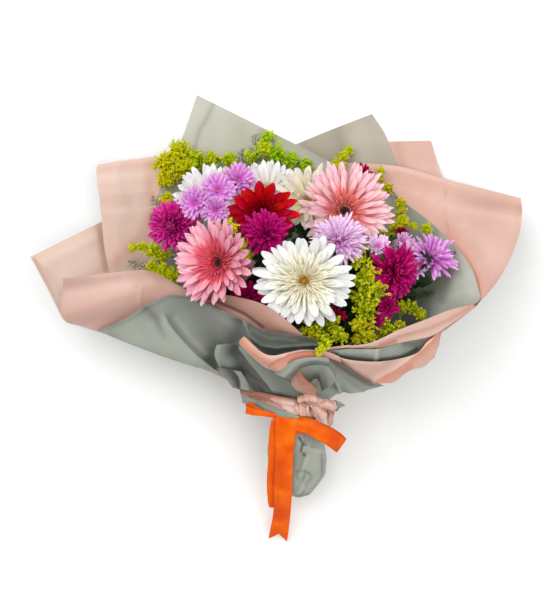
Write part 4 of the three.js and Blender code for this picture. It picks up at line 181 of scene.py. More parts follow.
    {'name': 'wrap_front_right_peach', 'ribs': [[[58.76, -53.37, 190.0], [79.4, -59.95, 186.0], [112.03, -62.24, 182.0], [135.49, -59.31, 171.0], [153.58, -51.38, 162.0], [165.38, -39.43, 158.0], [177.06, -31.25, 156.0]], [[61.03, -55.63, 186.0], [81.8, -65.01, 180.0], [110.3, -69.55, 174.0], [132.75, -66.65, 163.0], [151.84, -58.65, 156.0], [167.6, -49.46, 151.0], [178.21, -41.8, 149.0]], [[63.38, -57.42, 180.0], [86.56, -71.86, 170.0], [106.47, -79.72, 164.0], [129.07, -76.89, 152.0], [149.13, -66.04, 148.0], [165.97, -59.0, 144.0], [177.08, -51.86, 143.0]], [[65.94, -62.12, 168.0], [89.18, -76.05, 160.0], [107.1, -85.68, 152.0], [128.6, -86.1, 142.0], [147.65, -72.99, 138.0], [163.37, -68.67, 135.0], [174.36, -59.78, 136.0]]]},
    {'name': 'wrap_front_pleat_peach', 'ribs': [[[-34.9, -34.9, 198.0], [-26.27, -42.35, 201.0], [-15.52, -51.39, 204.0], [-4.81, -54.84, 207.0], [12.27, -51.74, 211.0], [29.29, -48.79, 214.0], [50.62, -50.62, 213.0]], [[-37.64, -37.64, 195.0], [-30.6, -46.71, 198.0], [-16.62, -56.29, 201.0], [-5.89, -61.56, 204.0], [10.15, -56.63, 208.0], [28.29, -52.3, 210.0], [50.75, -53.42, 208.0]], [[-39.35, -42.05, 190.0], [-29.62, -51.16, 192.0], [-15.61, -61.9, 193.0], [-2.69, -67.25, 194.0], [12.34, -61.68, 200.0], [29.46, -57.3, 203.0], [52.0, -57.9, 201.0]], [[-33.14, -52.16, 174.0], [-22.27, -60.28, 175.0], [-9.23, -69.48, 176.0], [2.71, -74.91, 176.0], [16.79, -73.13, 180.0], [33.01, -67.11, 182.0], [50.38, -65.01, 180.0]]]},
    {'name': 'wrap_front_flap_sage', 'ribs': [[[-64.05, -42.88, 176.0], [-52.5, -42.75, 182.0], [-39.43, -46.45, 186.0], [-15.73, -62.36, 178.0], [7.1, -79.72, 164.0], [25.84, -93.46, 150.0], [40.33, -103.86, 140.0]], [[-66.61, -52.42, 164.0], [-54.99, -54.44, 170.0], [-38.56, -58.65, 175.0], [-22.39, -72.07, 164.0], [-1.65, -86.74, 153.0], [18.2, -97.09, 143.0], [33.78, -105.22, 135.0]], [[-63.29, -66.04, 148.0], [-49.98, -68.11, 152.0], [-34.57, -73.53, 154.0], [-22.56, -82.55, 148.0], [-7.17, -92.72, 142.0], [9.41, -100.74, 136.0], [26.08, -106.53, 131.0]], [[-56.07, -75.5, 130.0], [-43.81, -80.97, 132.0], [-30.5, -86.52, 132.0], [-18.32, -93.26, 130.0], [-6.11, -98.91, 128.0], [7.23, -104.01, 126.0], [21.7, -108.51, 125.0]]]},
    {'name': 'wrap_front_roll_sage', 'ribs': [[[16.98, -84.33, 158.0], [21.23, -69.68, 170.0], [32.03, -62.42, 176.0], [43.95, -61.85, 177.0], [52.76, -67.44, 172.0], [58.42, -76.44, 164.0], [64.14, -84.42, 156.0]], [[22.52, -87.88, 152.0], [27.87, -75.42, 162.0], [36.51, -68.66, 168.0], [45.21, -68.63, 169.0], [51.85, -74.22, 165.0], [56.41, -83.24, 158.0], [59.93, -91.26, 150.0]], [[30.33, -93.73, 144.0], [34.64, -83.57, 150.0], [41.15, -76.82, 154.0], [46.62, -77.88, 155.0], [51.08, -84.58, 152.0], [53.43, -92.54, 146.0], [54.69, -99.44, 140.0]]]},
    {'name': 'wrap_front_right_cone_sage', 'ribs': [[[45.05, -135.6, 88.93], [41.38, -139.08, 93.66], [36.23, -141.87, 97.37], [30.01, -143.75, 99.75], [23.18, -144.59, 100.64], [16.29, -144.3, 99.95]], [[47.09, -121.53, 100.29], [43.02, -125.39, 105.54], [37.31, -128.48, 109.65], [30.41, -130.57, 112.3], [22.84, -131.49, 113.28], [15.21, -131.18, 112.52]], [[69.01, -100.99, 108.0], [66.48, -97.2, 117.0], [60.63, -93.44, 126.0], [52.66, -90.91, 133.0], [43.71, -89.63, 137.0], [33.7, -90.6, 140.0]], [[86.54, -99.39, 118.0], [81.61, -92.15, 130.0], [74.51, -83.89, 142.0], [64.26, -76.89, 152.0], [50.88, -72.22, 160.0], [36.57, -70.95, 165.0]], [[119.24, -90.95, 132.0], [105.21, -84.83, 146.0], [89.35, -75.65, 156.0], [73.68, -66.58, 165.0], [58.19, -60.91, 172.0], [38.52, -58.59, 177.0]]]},
    {'name': 'wrap_collar', 'ribs': [[[-40.37, -99.79, 109.5], [-27.37, -105.58, 117.0], [-10.58, -111.38, 123.5], [8.34, -118.94, 127.5], [25.01, -125.06, 127.5]], [[-39.31, -103.89, 106.0], [-26.29, -109.65, 114.0], [-10.04, -114.91, 120.0], [8.35, -121.56, 124.5], [25.04, -126.29, 125.5]], [[-37.74, -110.41, 99.5], [-24.13, -115.6, 107.5], [-8.95, -120.78, 115.0], [8.37, -126.04, 120.5], [25.06, -127.53, 123.5]]]},
    {'name': 'wrap_collar_peach', 'ribs': [[[-41.98, -94.59, 113.0], [-29.53, -96.94, 122.5], [-11.66, -99.7, 130.0], [8.31, -103.01, 135.0], [29.32, -106.23, 137.0]], [[-40.89, -97.46, 111.5], [-28.44, -100.94, 120.5], [-11.11, -105.02, 128.0], [9.43, -110.89, 132.5], [29.37, -114.69, 134.0]], [[-39.87, -102.77, 106.0], [-26.85, -108.53, 114.0], [-9.48, -113.77, 120.5], [10.57, -120.76, 125.0], [29.45, -123.36, 128.0]]]},
    {'name': 'wrap_ruffle', 'ribs': [[[31.58, -105.27, 134.0], [38.1, -100.5, 141.0], [46.91, -101.55, 142.0], [55.82, -103.36, 139.0], [64.89, -108.7, 132.0]], [[32.64, -110.65, 137.0], [39.66, -107.97, 146.0], [48.45, -107.91, 147.0], [57.4, -110.38, 142.0], [67.69, -116.52, 131.0]], [[37.64, -117.35, 136.0], [43.01, -116.89, 144.0], [50.13, -115.68, 146.0], [58.56, -118.23, 140.0], [66.68, -123.36, 128.0]], [[44.92, -125.34, 132.0], [47.58, -125.04, 137.0], [52.83, -124.33, 139.5], [58.51, -126.33, 134.0], [62.85, -129.04, 126.0]], [[51.17, -133.49, 126.0], [53.1, -133.85, 129.0], [56.4, -134.34, 130.0], [60.6, -134.54, 127.0], [64.12, -134.93, 121.0]], [[54.08, -138.27, 121.0], [55.7, -139.59, 123.0], [57.93, -140.37, 123.0], [60.77, -139.72, 121.0], [63.12, -138.54, 117.0]]]},
]
RIBBONS = [
    {'name': 'ribbon_tail_long', 'ribs': [[[-0.56, -124.48, 118.5], [24.0, -125.6, 118.5]], [[-1.34, -133.0, 116.3], [22.91, -134.11, 116.3]], [[-1.68, -141.14, 111.5], [21.84, -142.26, 111.5]], [[-1.35, -154.09, 103.0], [20.36, -155.22, 103.0]], [[-1.02, -167.1, 95.0], [19.19, -168.23, 95.0]], [[-1.7, -181.59, 84.0], [18.73, -182.73, 84.0]], [[-2.86, -201.17, 69.0], [18.06, -201.17, 69.0]], [[-2.88, -226.13, 49.0], [17.42, -226.13, 49.0]], [[-4.07, -245.36, 32.0], [15.71, -248.96, 31.0]], [[-7.02, -262.16, 18.0], [14.05, -265.79, 17.0]], [[-9.41, -275.83, 7.0], [12.36, -279.49, 6.0]]]},
    {'name': 'ribbon_tail_short', 'ribs': [[[-3.36, -130.0, 110.5], [17.37, -131.13, 110.5]], [[-5.28, -141.48, 106.5], [16.28, -141.48, 106.5]], [[-6.2, -153.22, 99.5], [15.77, -153.22, 99.5]], [[-6.81, -177.05, 84.0], [14.19, -177.05, 84.0]], [[-8.59, -201.54, 65.0], [13.17, -201.54, 65.0]], [[-7.51, -226.55, 45.0], [14.45, -226.55, 45.0]], [[-5.8, -235.4, 38.0], [15.65, -236.56, 38.0]]]},
    {'name': 'ribbon_loop_right', 'ribs': [[[22.77, -139.84, 113.5], [29.77, -122.84, 118.5]], [[35.36, -144.39, 117.0], [43.86, -127.89, 122.0]], [[49.45, -153.28, 113.5], [58.95, -137.28, 119.5]], [[62.36, -163.06, 107.0], [72.16, -147.46, 113.0]], [[68.11, -167.32, 100.5], [78.11, -152.12, 105.5]], [[63.24, -160.4, 95.0], [73.24, -146.4, 99.0]], [[49.04, -150.71, 96.5], [58.04, -136.71, 100.5]], [[34.79, -143.03, 102.0], [42.79, -129.03, 106.0]], [[23.99, -137.16, 106.0], [30.99, -123.16, 110.0]]]},
    {'name': 'ribbon_loop_left', 'ribs': [[[-1.93, -126.07, 111.0], [-1.43, -116.07, 109.0]], [[-16.75, -123.2, 110.5], [-15.75, -112.2, 109.5]], [[-29.08, -121.75, 110.5], [-28.08, -110.25, 110.5]], [[-35.25, -122.42, 113.5], [-34.75, -112.42, 116.5]], [[-28.46, -123.96, 117.0], [-28.46, -115.96, 122.0]], [[-16.18, -126.16, 117.5], [-16.18, -118.16, 122.5]], [[-2.79, -129.6, 115.5], [-2.79, -120.6, 119.5]]]},
]
FLOWERS = [
    {'name': 'gerbera_white_front', 'kind': 'gerbera', 'stem_radius': 3.0, 'heads': [{'c': [29.71, 24.85, 186.0], 'R': 55, 'n': [0.0, 0.04, 0.9992], 'cup': 6}], 'stem': [[20.1, -204.44, 38.54], [19.08, -169.69, 63.3], [17.88, -128.97, 92.3], [17.54, -117.58, 100.42], [18.01, -98.49, 109.99], [19.12, -78.92, 118.46], [20.6, -59.08, 126.24], [22.41, -39.23, 133.92], [24.44, -19.74, 142.42], [26.53, -1.4, 153.1], [28.38, 13.96, 167.71], [29.71, 24.85, 186.0]]},
    {'name': 'gerbera_pink_left', 'kind': 'gerbera', 'stem_radius': 3.0, 'heads': [{'c': [-62.61, 44.64, 170.0], 'R': 51, 'n': [-0.2495, -0.02, 0.9682], 'cup': 20}], 'stem': [[12.39, -205.07, 30.17], [11.24, -166.1, 57.93], [10.04, -125.39, 86.94], [9.7, -113.99, 95.06], [4.75, -91.98, 104.59], [-1.28, -69.52, 112.23], [-9.05, -47.13, 118.39], [-18.24, -25.1, 123.89], [-28.59, -3.74, 129.94], [-39.9, 16.29, 138.27], [-51.66, 33.1, 151.45], [-62.61, 44.64, 170.0]]},
    {'name': 'gerbera_pink_right', 'kind': 'gerbera', 'stem_radius': 3.0, 'heads': [{'c': [76.72, 104.15, 112.0], 'R': 54, 'n': [0.1002, 0.1603, 0.982], 'cup': 20}], 'stem': [[30.12, -193.6, 24.42], [29.1, -159.17, 48.94], [27.9, -118.46, 77.95], [27.57, -107.06, 86.07], [30.57, -79.66, 93.16], [34.7, -51.62, 95.69], [40.08, -23.67, 94.82], [46.2, 4.01, 92.1], [52.32, 31.63, 88.72], [59.5, 59.07, 86.77], [69.84, 84.58, 92.74], [76.72, 104.15, 112.0]]},
    {'name': 'gerbera_red', 'kind': 'gerbera', 'stem_radius': 2.8, 'heads': [{'c': [-15.06, 102.64, 120.0], 'R': 40, 'n': [-0.0201, -0.1005, 0.9947], 'cup': 22}], 'stem': [[24.43, -209.96, 28.63], [23.16, -166.78, 59.39], [21.96, -126.07, 88.39], [21.62, -114.67, 96.51], [19.21, -81.15, 103.88], [15.4, -46.98, 105.4], [9.45, -13.13, 103.09], [3.09, 20.48, 99.01], [-2.7, 53.81, 92.61], [-7.84, 77.54, 70.92], [-12.18, 90.34, 87.94], [-15.06, 102.64, 120.0]]},
    {'name': 'gerbera_white_back_left', 'kind': 'gerbera', 'stem_radius': 2.8, 'heads': [{'c': [-79.33, 120.99, 72.0], 'R': 43, 'n': [-0.1203, 0.3409, 0.9324], 'cup': 14}], 'stem': [[14.62, -196.48, 20.2], [13.49, -158.45, 47.29], [12.29, -117.74, 76.29], [11.96, -106.34, 84.41], [4.79, -75.84, 88.19], [-4.19, -45.65, 87.64], [-14.98, -16.57, 81.97], [-26.87, 11.51, 73.82], [-39.25, 39.15, 64.93], [-52.91, 66.89, 58.82], [-66.87, 95.05, 59.43], [-79.33, 120.99, 72.0]]},
    {'name': 'gerbera_white_back_mid', 'kind': 'gerbera', 'stem_radius': 2.8, 'heads': [{'c': [-9.67, 127.35, 80.0], 'R': 36, 'n': [-0.0603, 0.3217, 0.9449], 'cup': 14}], 'stem': [[21.07, -196.61, 15.86], [19.89, -156.32, 44.56], [18.68, -115.6, 73.56], [18.35, -104.2, 81.68], [15.95, -74.71, 86.07], [13.34, -44.95, 86.6], [10.18, -15.48, 82.62], [6.67, 13.55, 76.29], [2.89, 42.46, 69.56], [-1.17, 71.7, 64.77], [-5.52, 101.1, 66.6], [-9.67, 127.35, 80.0]]},
    {'name': 'gerbera_white_back_right', 'kind': 'gerbera', 'stem_radius': 2.8, 'heads': [{'c': [39.16, 116.9, 84.0], 'R': 40, 'n': [-0.0501, 0.3008, 0.9524], 'cup': 13}], 'stem': [[25.96, -198.14, 27.02], [24.89, -162.01, 52.76], [23.69, -121.3, 81.76], [23.35, -109.9, 89.88], [24.39, -81.14, 94.86], [25.92, -51.98, 94.58], [28.05, -23.18, 90.03], [30.55, 5.12, 83.09], [33.22, 33.29, 75.73], [35.86, 61.88, 70.22], [38.07, 90.87, 71.13], [39.16, 116.9, 84.0]]},
    {'name': 'chrysanthemum_magenta_left', 'kind': 'mum', 'stem_radius': 2.3, 'heads': [{'c': [-114.79, 87.35, 112.0], 'R': 30, 'n': [-0.3011, 0.0, 0.9536], 'cup': 13}, {'c': [-95.36, 104.95, 96.0], 'R': 16, 'n': [0.0999, 0.2996, 0.9488], 'cup': 8}], 'stem': [[10.74, -205.16, 23.25], [9.49, -162.89, 53.36], [8.29, -122.18, 82.37], [7.96, -110.78, 90.49], [0.75, -89.71, 97.65], [-8.95, -68.78, 101.29], [-21.2, -48.87, 101.13], [-34.68, -29.88, 98.77], [-48.49, -11.25, 95.66], [-62.05, 7.64, 92.96], [-74.76, 27.24, 91.69], [-86.5, 47.49, 92.0]]},
    {'name': 'chrysanthemum_magenta_mid', 'kind': 'mum', 'stem_radius': 2.3, 'heads': [{'c': [-12.61, 81.13, 156.0], 'R': 30, 'n': [0.0, 0.3011, 0.9536], 'cup': 12}], 'stem': [[22.65, -194.86, 23.71], [21.61, -159.4, 48.97], [20.41, -118.69, 77.97], [20.07, -107.29, 86.09], [15.25, -75.37, 97.88], [9.53, -42.64, 106.63], [4.16, -9.2, 112.51], [-2.03, 24.47, 115.0], [-8.1, 55.81, 103.96], [-11.07, 78.65, 87.53], [-11.92, 81.12, 121.63], [-12.61, 81.13, 156.0]]},
    {'name': 'chrysanthemum_magenta_right', 'kind': 'mum', 'stem_radius': 2.3, 'heads': [{'c': [128.6, 36.43, 142.0], 'R': 28, 'n': [0.5523, -0.0201, 0.8334], 'cup': 13}, {'c': [121.5, -3.3, 150.0], 'R': 13, 'n': [0.099, -0.099, 0.9901], 'cup': 8}, {'c': [109.08, -18.64, 156.0], 'R': 10, 'n': [0.0, -0.1961, 0.9806], 'cup': 7}], 'stem': [[38.43, -202.61, 28.47], [37.29, -163.96, 56.01], [36.09, -123.24, 85.01], [35.75, -111.85, 93.13], [38.6, -101.72, 98.48], [42.47, -91.6, 103.11], [47.98, -81.81, 106.69], [54.55, -72.45, 109.59], [61.73, -63.47, 112.23], [69.21, -54.77, 115.02], [76.72, -46.27, 118.26], [84.15, -37.9, 122.0]]},
    {'name': 'chrysanthemum_magenta_low', 'kind': 'mum', 'stem_radius': 2.3, 'heads': [{'c': [-25.74, 12.05, 158.0], 'R': 14, 'n': [-0.099, -0.099, 0.9901], 'cup': 8}, {'c': [-2.72, -11.99, 168.0], 'R': 14, 'n': [0.0, -0.1961, 0.9806], 'cup': 8}], 'stem': [[18.11, -200.93, 32.68], [17.08, -165.77, 57.72], [15.88, -125.06, 86.72], [15.54, -113.66, 94.84], [14.44, -105.42, 99.84], [13.12, -96.79, 104.09], [11.39, -88.06, 107.96], [9.29, -79.29, 111.56], [6.93, -70.58, 115.15], [4.44, -62.01, 118.99], [1.93, -53.68, 123.28], [-0.56, -45.57, 128.0]]},
    {'name': 'chrysanthemum_crimson_low', 'kind': 'mum', 'stem_radius': 1.9, 'heads': [{'c': [66.0, -12.0, 166.0], 'R': 10, 'n': [0.0, -0.1961, 0.9806], 'cup': 7}], 'stem': [[31.27, -206.43, 32.15], [30.12, -167.12, 60.15], [28.92, -126.41, 89.16], [28.58, -115.01, 97.28], [31.1, -100.26, 104.85], [34.48, -85.29, 111.64], [38.95, -70.37, 117.88], [44.25, -55.7, 124.04], [50.11, -41.51, 130.8], [56.22, -28.34, 139.18], [61.87, -17.89, 150.9], [66.0, -12.0, 166.0]]},
    {'name': 'chrysanthemum_crimson_back', 'kind': 'mum', 'stem_radius': 2.0, 'heads': [{'c': [98.23, 144.76, 58.0], 'R': 11, 'n': [0.0976, 0.1952, 0.9759], 'cup': 7}, {'c': [142.17, 80.43, 88.0], 'R': 8, 'n': [0.1925, 0.1925, 0.9623], 'cup': 6}], 'stem': [[29.7, -195.74, 16.11], [28.53, -155.98, 44.44], [27.33, -115.26, 73.44], [26.99, -103.86, 81.56], [31.64, -82.81, 87.15], [38.05, -61.85, 90.92], [46.74, -41.38, 90.52], [56.66, -21.68, 87.38], [67.08, -2.47, 83.07], [77.56, 16.7, 78.65], [87.76, 36.14, 74.89], [97.59, 55.93, 72.0]]},
    {'name': 'chrysanthemum_lilac_left', 'kind': 'mum', 'stem_radius': 2.3, 'heads': [{'c': [-89.29, 112.03, 132.0], 'R': 16, 'n': [-0.1961, 0.0, 0.9806], 'cup': 6}, {'c': [-65.14, 125.82, 124.0], 'R': 17, 'n': [0.0, 0.0995, 0.995], 'cup': 6}, {'c': [-66.65, 104.66, 146.0], 'R': 13, 'n': [0.0, -0.1961, 0.9806], 'cup': 6}, {'c': [-42.16, 139.4, 104.0], 'R': 16, 'n': [0.049, 0.1959, 0.9794], 'cup': 6}], 'stem': [[15.76, -199.3, 27.95], [14.7, -163.04, 53.79], [13.5, -122.33, 82.79], [13.16, -110.93, 90.91], [8.72, -91.73, 98.97], [3.16, -71.85, 104.25], [-3.49, -51.79, 106.98], [-11.04, -31.86, 107.86], [-19.21, -12.16, 107.81], [-27.5, 7.48, 107.76], [-35.53, 27.23, 108.43], [-43.16, 47.08, 110.0]]},
    {'name': 'chrysanthemum_lilac_mid', 'kind': 'mum', 'stem_radius': 2.3, 'heads': [{'c': [70.57, 72.22, 160.0], 'R': 32, 'n': [0.0398, 0.0994, 0.9942], 'cup': 12}], 'stem': [[28.76, -199.13, 32.3], [27.74, -164.78, 56.77], [26.54, -124.07, 85.77], [26.21, -112.67, 93.89], [30.08, -81.02, 105.04], [35.96, -48.62, 112.53], [43.7, -16.06, 117.21], [52.56, 16.47, 118.93], [60.87, 44.4, 104.73], [64.16, 57.38, 94.37], [67.36, 65.05, 127.13], [70.57, 72.22, 160.0]]},
    {'name': 'chrysanthemum_lilac_small', 'kind': 'mum', 'stem_radius': 1.9, 'heads': [{'c': [111.82, 62.8, 146.0], 'R': 13, 'n': [0.101, 0.4041, 0.9091], 'cup': 6}], 'stem': [[33.78, -204.79, 27.73], [32.59, -164.43, 56.48], [31.39, -123.72, 85.48], [31.05, -112.32, 93.6], [36.48, -89.26, 103.01], [44.34, -65.64, 108.49], [54.43, -42.42, 111.6], [66.02, -19.79, 113.75], [78.41, 2.37, 116.33], [90.95, 24.04, 121.16], [102.46, 44.54, 130.88], [111.82, 62.8, 146.0]]},
    {'name': 'chrysanthemum_lilac_right', 'kind': 'mum', 'stem_radius': 2.3, 'heads': [{'c': [173.36, 51.62, 108.0], 'R': 29, 'n': [0.5025, 0.5025, 0.7035], 'cup': 10}], 'stem': [[38.23, -195.47, 27.23], [37.21, -160.97, 51.81], [36.01, -120.26, 80.81], [35.68, -108.86, 88.93], [46.09, -84.86, 96.98], [57.87, -60.33, 99.11], [74.22, -38.44, 98.38], [93.03, -18.69, 95.95], [113.02, -0.16, 93.43], [133.8, 17.61, 94.39], [154.07, 35.79, 97.26], [173.36, 51.62, 108.0]]},
    {'name': 'chrysanthemum_lilac_back', 'kind': 'mum', 'stem_radius': 2.0, 'heads': [{'c': [145.87, 49.18, 116.0], 'R': 20, 'n': [0.5001, 0.1, 0.8602], 'cup': 8}, {'c': [140.95, 68.51, 106.0], 'R': 10, 'n': [0.3008, 0.2005, 0.9324], 'cup': 6}], 'stem': [[31.22, -197.19, 28.54], [30.19, -162.3, 53.39], [28.99, -121.59, 82.39], [28.66, -110.19, 90.51], [34.43, -93.69, 96.66], [43.72, -78.64, 102.06], [55.85, -64.82, 103.93], [68.57, -51.5, 101.89], [81.06, -38.0, 99.43], [93.75, -24.55, 98.11], [105.95, -10.6, 98.16], [116.69, 4.51, 98.0]]},
    {'name': 'chrysanthemum_blush', 'kind': 'mum', 'stem_radius': 1.9, 'heads': [{'c': [-33.67, 39.74, 142.0], 'R': 13, 'n': [0.1961, 0.0, 0.9806], 'cup': 6}], 'stem': [[22.16, -206.3, 25.4], [20.91, -164.07, 55.49], [19.71, -123.36, 84.49], [19.38, -111.96, 92.61], [13.79, -92.23, 99.64], [8.11, -71.92, 104.62], [1.47, -51.54, 107.82], [-6.37, -31.46, 110.14], [-14.75, -11.61, 112.59], [-23.13, 7.95, 116.67], [-30.22, 26.23, 125.58], [-33.67, 39.74, 142.0]]},
]
SPRAYS = [
    {'name': 'solidago_back_left', 'stem_radius': 1.6, 'tufts': [[-126.86, 121.65, 40.0, 8], [-129.78, 146.65, 30.0, 11], [-130.02, 164.41, 26.0, 12], [-112.63, 177.4, 24.0, 13], [-92.79, 168.07, 24.0, 12], [-74.25, 168.38, 20.0, 9], [-55.59, 168.53, 18.0, 8], [-107.56, 155.82, 32.0, 13], [-88.79, 138.12, 36.0, 6]], 'stem': [[17.68, -198.66, 23.41], [16.56, -160.64, 50.5], [15.36, -119.93, 79.5], [15.02, -108.53, 87.62], [8.62, -74.91, 94.15], [-0.41, -41.35, 93.37], [-11.85, -9.42, 85.49], [-24.84, 20.8, 73.96], [-38.98, 50.11, 61.44], [-54.52, 79.14, 49.99], [-71.23, 108.5, 41.4], [-88.79, 138.12, 36.0]]},
    {'name': 'solidago_back_mid', 'stem_radius': 1.6, 'tufts': [[-11.15, 194.81, 12.0, 7.3], [-14.64, 180.32, 17.0, 10], [-28.73, 171.18, 14.0, 8.2], [34.62, 164.3, 12.0, 8.1], [15.82, 168.76, 15.0, 9.2], [-0.58, 174.3, 19.0, 12], [0.58, 154.5, 26.0, 6.3]], 'stem': [[25.9, -194.63, 20.08], [24.8, -157.55, 46.49], [23.6, -116.83, 75.49], [23.27, -105.44, 83.61], [21.08, -72.11, 90.1], [18.33, -38.27, 89.58], [15.25, -5.31, 81.85], [12.05, 26.49, 70.13], [8.88, 57.76, 57.05], [5.86, 89.25, 44.47], [3.09, 121.51, 34.02], [0.58, 154.5, 26.0]]},
    {'name': 'solidago_back_right', 'stem_radius': 1.6, 'tufts': [[85.12, 180.81, 11.0, 4.5], [78.01, 173.61, 13.0, 6], [72.01, 163.92, 17.0, 7], [67.11, 150.56, 24.0, 5]], 'stem': [[25.6, -190.07, 18.59], [24.58, -155.32, 43.35], [23.38, -114.6, 72.35], [23.04, -103.2, 80.47], [25.25, -70.29, 87.08], [28.91, -36.92, 87.09], [33.87, -4.41, 80.11], [39.65, 26.88, 69.16], [45.99, 57.45, 56.57], [52.77, 87.96, 44.07], [59.85, 118.98, 33.11], [67.11, 150.56, 24.0]]},
    {'name': 'solidago_right_tip', 'stem_radius': 1.6, 'tufts': [[122.36, 155.73, 17.0, 4.5], [119.8, 146.09, 21.0, 6], [130.94, 135.01, 30.0, 6], [144.11, 115.75, 42.0, 7], [142.42, 103.79, 50.0, 6]], 'stem': [[34.1, -194.54, 19.48], [32.99, -157.07, 46.17], [31.79, -116.36, 75.17], [31.46, -104.96, 83.29], [40.47, -76.87, 91.53], [53.59, -49.44, 94.53], [69.79, -23.65, 91.55], [86.99, 0.84, 84.94], [103.82, 25.01, 76.48], [119.22, 49.85, 67.28], [132.1, 76.15, 58.29], [142.42, 103.79, 50.0]]},
    {'name': 'solidago_left_low', 'stem_radius': 1.6, 'tufts': [[-163.63, 63.86, 74.0, 5], [-152.23, 65.0, 74.0, 6], [-139.69, 60.44, 74.0, 8], [-129.43, 55.88, 74.0, 8], [-141.43, 40.9, 82.0, 7], [-128.69, 37.42, 86.0, 8], [-118.15, 30.53, 92.0, 8], [-104.98, 36.32, 84.0, 6]], 'stem': [[10.88, -202.97, 19.35], [9.62, -160.31, 49.74], [8.42, -119.6, 78.74], [8.08, -108.2, 86.86], [0.95, -85.73, 91.41], [-8.39, -63.67, 92.26], [-20.23, -42.99, 89.39], [-33.84, -23.77, 84.74], [-49.07, -5.83, 79.94], [-66.0, 10.84, 76.53], [-84.76, 25.68, 76.74], [-104.98, 36.32, 84.0]]},
    {'name': 'solidago_right_mid', 'stem_radius': 1.6, 'tufts': [[170.64, 85.6, 72.0, 6], [157.24, 89.2, 68.0, 4], [144.38, 93.59, 72.0, 7], [133.36, 85.12, 84.0, 8], [120.19, 77.87, 96.0, 8], [114.33, 60.82, 100.0, 5]], 'stem': [[35.41, -198.2, 21.2], [34.25, -159.1, 49.06], [33.05, -118.39, 78.06], [32.72, -106.99, 86.18], [38.05, -85.45, 94.69], [46.57, -64.14, 100.69], [57.66, -43.31, 103.32], [69.97, -22.98, 103.58], [82.49, -2.8, 102.59], [94.43, 17.71, 101.26], [105.06, 38.94, 100.31], [114.33, 60.82, 100.0]]},
    {'name': 'solidago_mid_right', 'stem_radius': 1.6, 'tufts': [[82.93, 57.12, 152.0, 8], [92.91, 63.77, 150.0, 9], [90.27, 45.96, 160.0, 11], [103.4, 35.01, 160.0, 9], [93.37, 26.21, 164.0, 12], [106.47, 14.2, 164.0, 13], [92.19, 7.64, 166.0, 12], [97.55, -8.72, 168.0, 13], [93.19, -23.98, 168.0, 11], [101.7, -35.9, 172.0, 8], [89.26, -37.24, 158.0, 7]], 'stem': [[35.24, -205.73, 31.68], [34.09, -166.59, 59.57], [32.89, -125.87, 88.57], [32.55, -114.48, 96.69], [35.92, -102.79, 104.51], [40.61, -91.22, 111.79], [47.16, -80.35, 118.72], [55.0, -70.26, 125.48], [63.56, -60.91, 132.45], [72.36, -52.3, 140.03], [81.0, -44.46, 148.58], [89.26, -37.24, 158.0]]},
    {'name': 'solidago_front', 'stem_radius': 1.6, 'tufts': [[46.85, -50.62, 192.0, 5], [54.61, -41.09, 184.0, 9], [67.78, -34.7, 178.0, 8], [62.48, -22.82, 174.0, 9], [36.4, -29.34, 174.0, 10], [49.49, -27.19, 172.0, 11], [47.6, -44.86, 160.0, 6]], 'stem': [[28.03, -207.68, 34.25], [26.88, -168.6, 62.09], [25.68, -127.89, 91.09], [25.35, -116.49, 99.22], [26.81, -107.29, 106.91], [28.99, -98.01, 114.35], [31.98, -89.14, 122.02], [35.49, -80.54, 129.76], [39.15, -71.98, 137.48], [42.57, -63.25, 145.13], [45.39, -54.2, 152.64], [47.6, -44.86, 160.0]]},
    {'name': 'solidago_right_low', 'stem_radius': 1.6, 'tufts': [[160.74, -11.12, 126.0, 6], [149.62, -3.34, 126.0, 8], [137.12, -4.44, 130.0, 8], [135.66, -24.17, 152.0, 7], [120.05, -26.31, 156.0, 9], [114.03, -37.46, 146.0, 5]], 'stem': [[38.86, -201.11, 34.96], [37.84, -166.51, 59.61], [36.64, -125.8, 88.61], [36.3, -114.4, 96.74], [42.28, -102.83, 104.54], [50.41, -91.89, 111.21], [60.87, -82.42, 116.81], [72.42, -73.88, 121.79], [84.19, -65.61, 126.71], [95.5, -57.03, 132.12], [105.54, -47.64, 138.57], [114.03, -37.46, 146.0]]},
    {'name': 'solidago_mid_left', 'stem_radius': 1.6, 'tufts': [[-48.55, 80.73, 166.0, 6], [-36.66, 65.65, 160.0, 6], [-31.34, 52.78, 150.0, 6]], 'stem': [[20.78, -202.42, 23.46], [19.58, -161.87, 52.35], [18.38, -121.16, 81.35], [18.05, -109.76, 89.47], [13.44, -76.84, 104.06], [3.1, -44.08, 115.76], [-9.17, -10.82, 123.61], [-23.95, 19.64, 115.25], [-37.02, 35.29, 85.44], [-43.34, 46.59, 78.67], [-37.57, 50.27, 114.29], [-31.34, 52.78, 150.0]]},
]
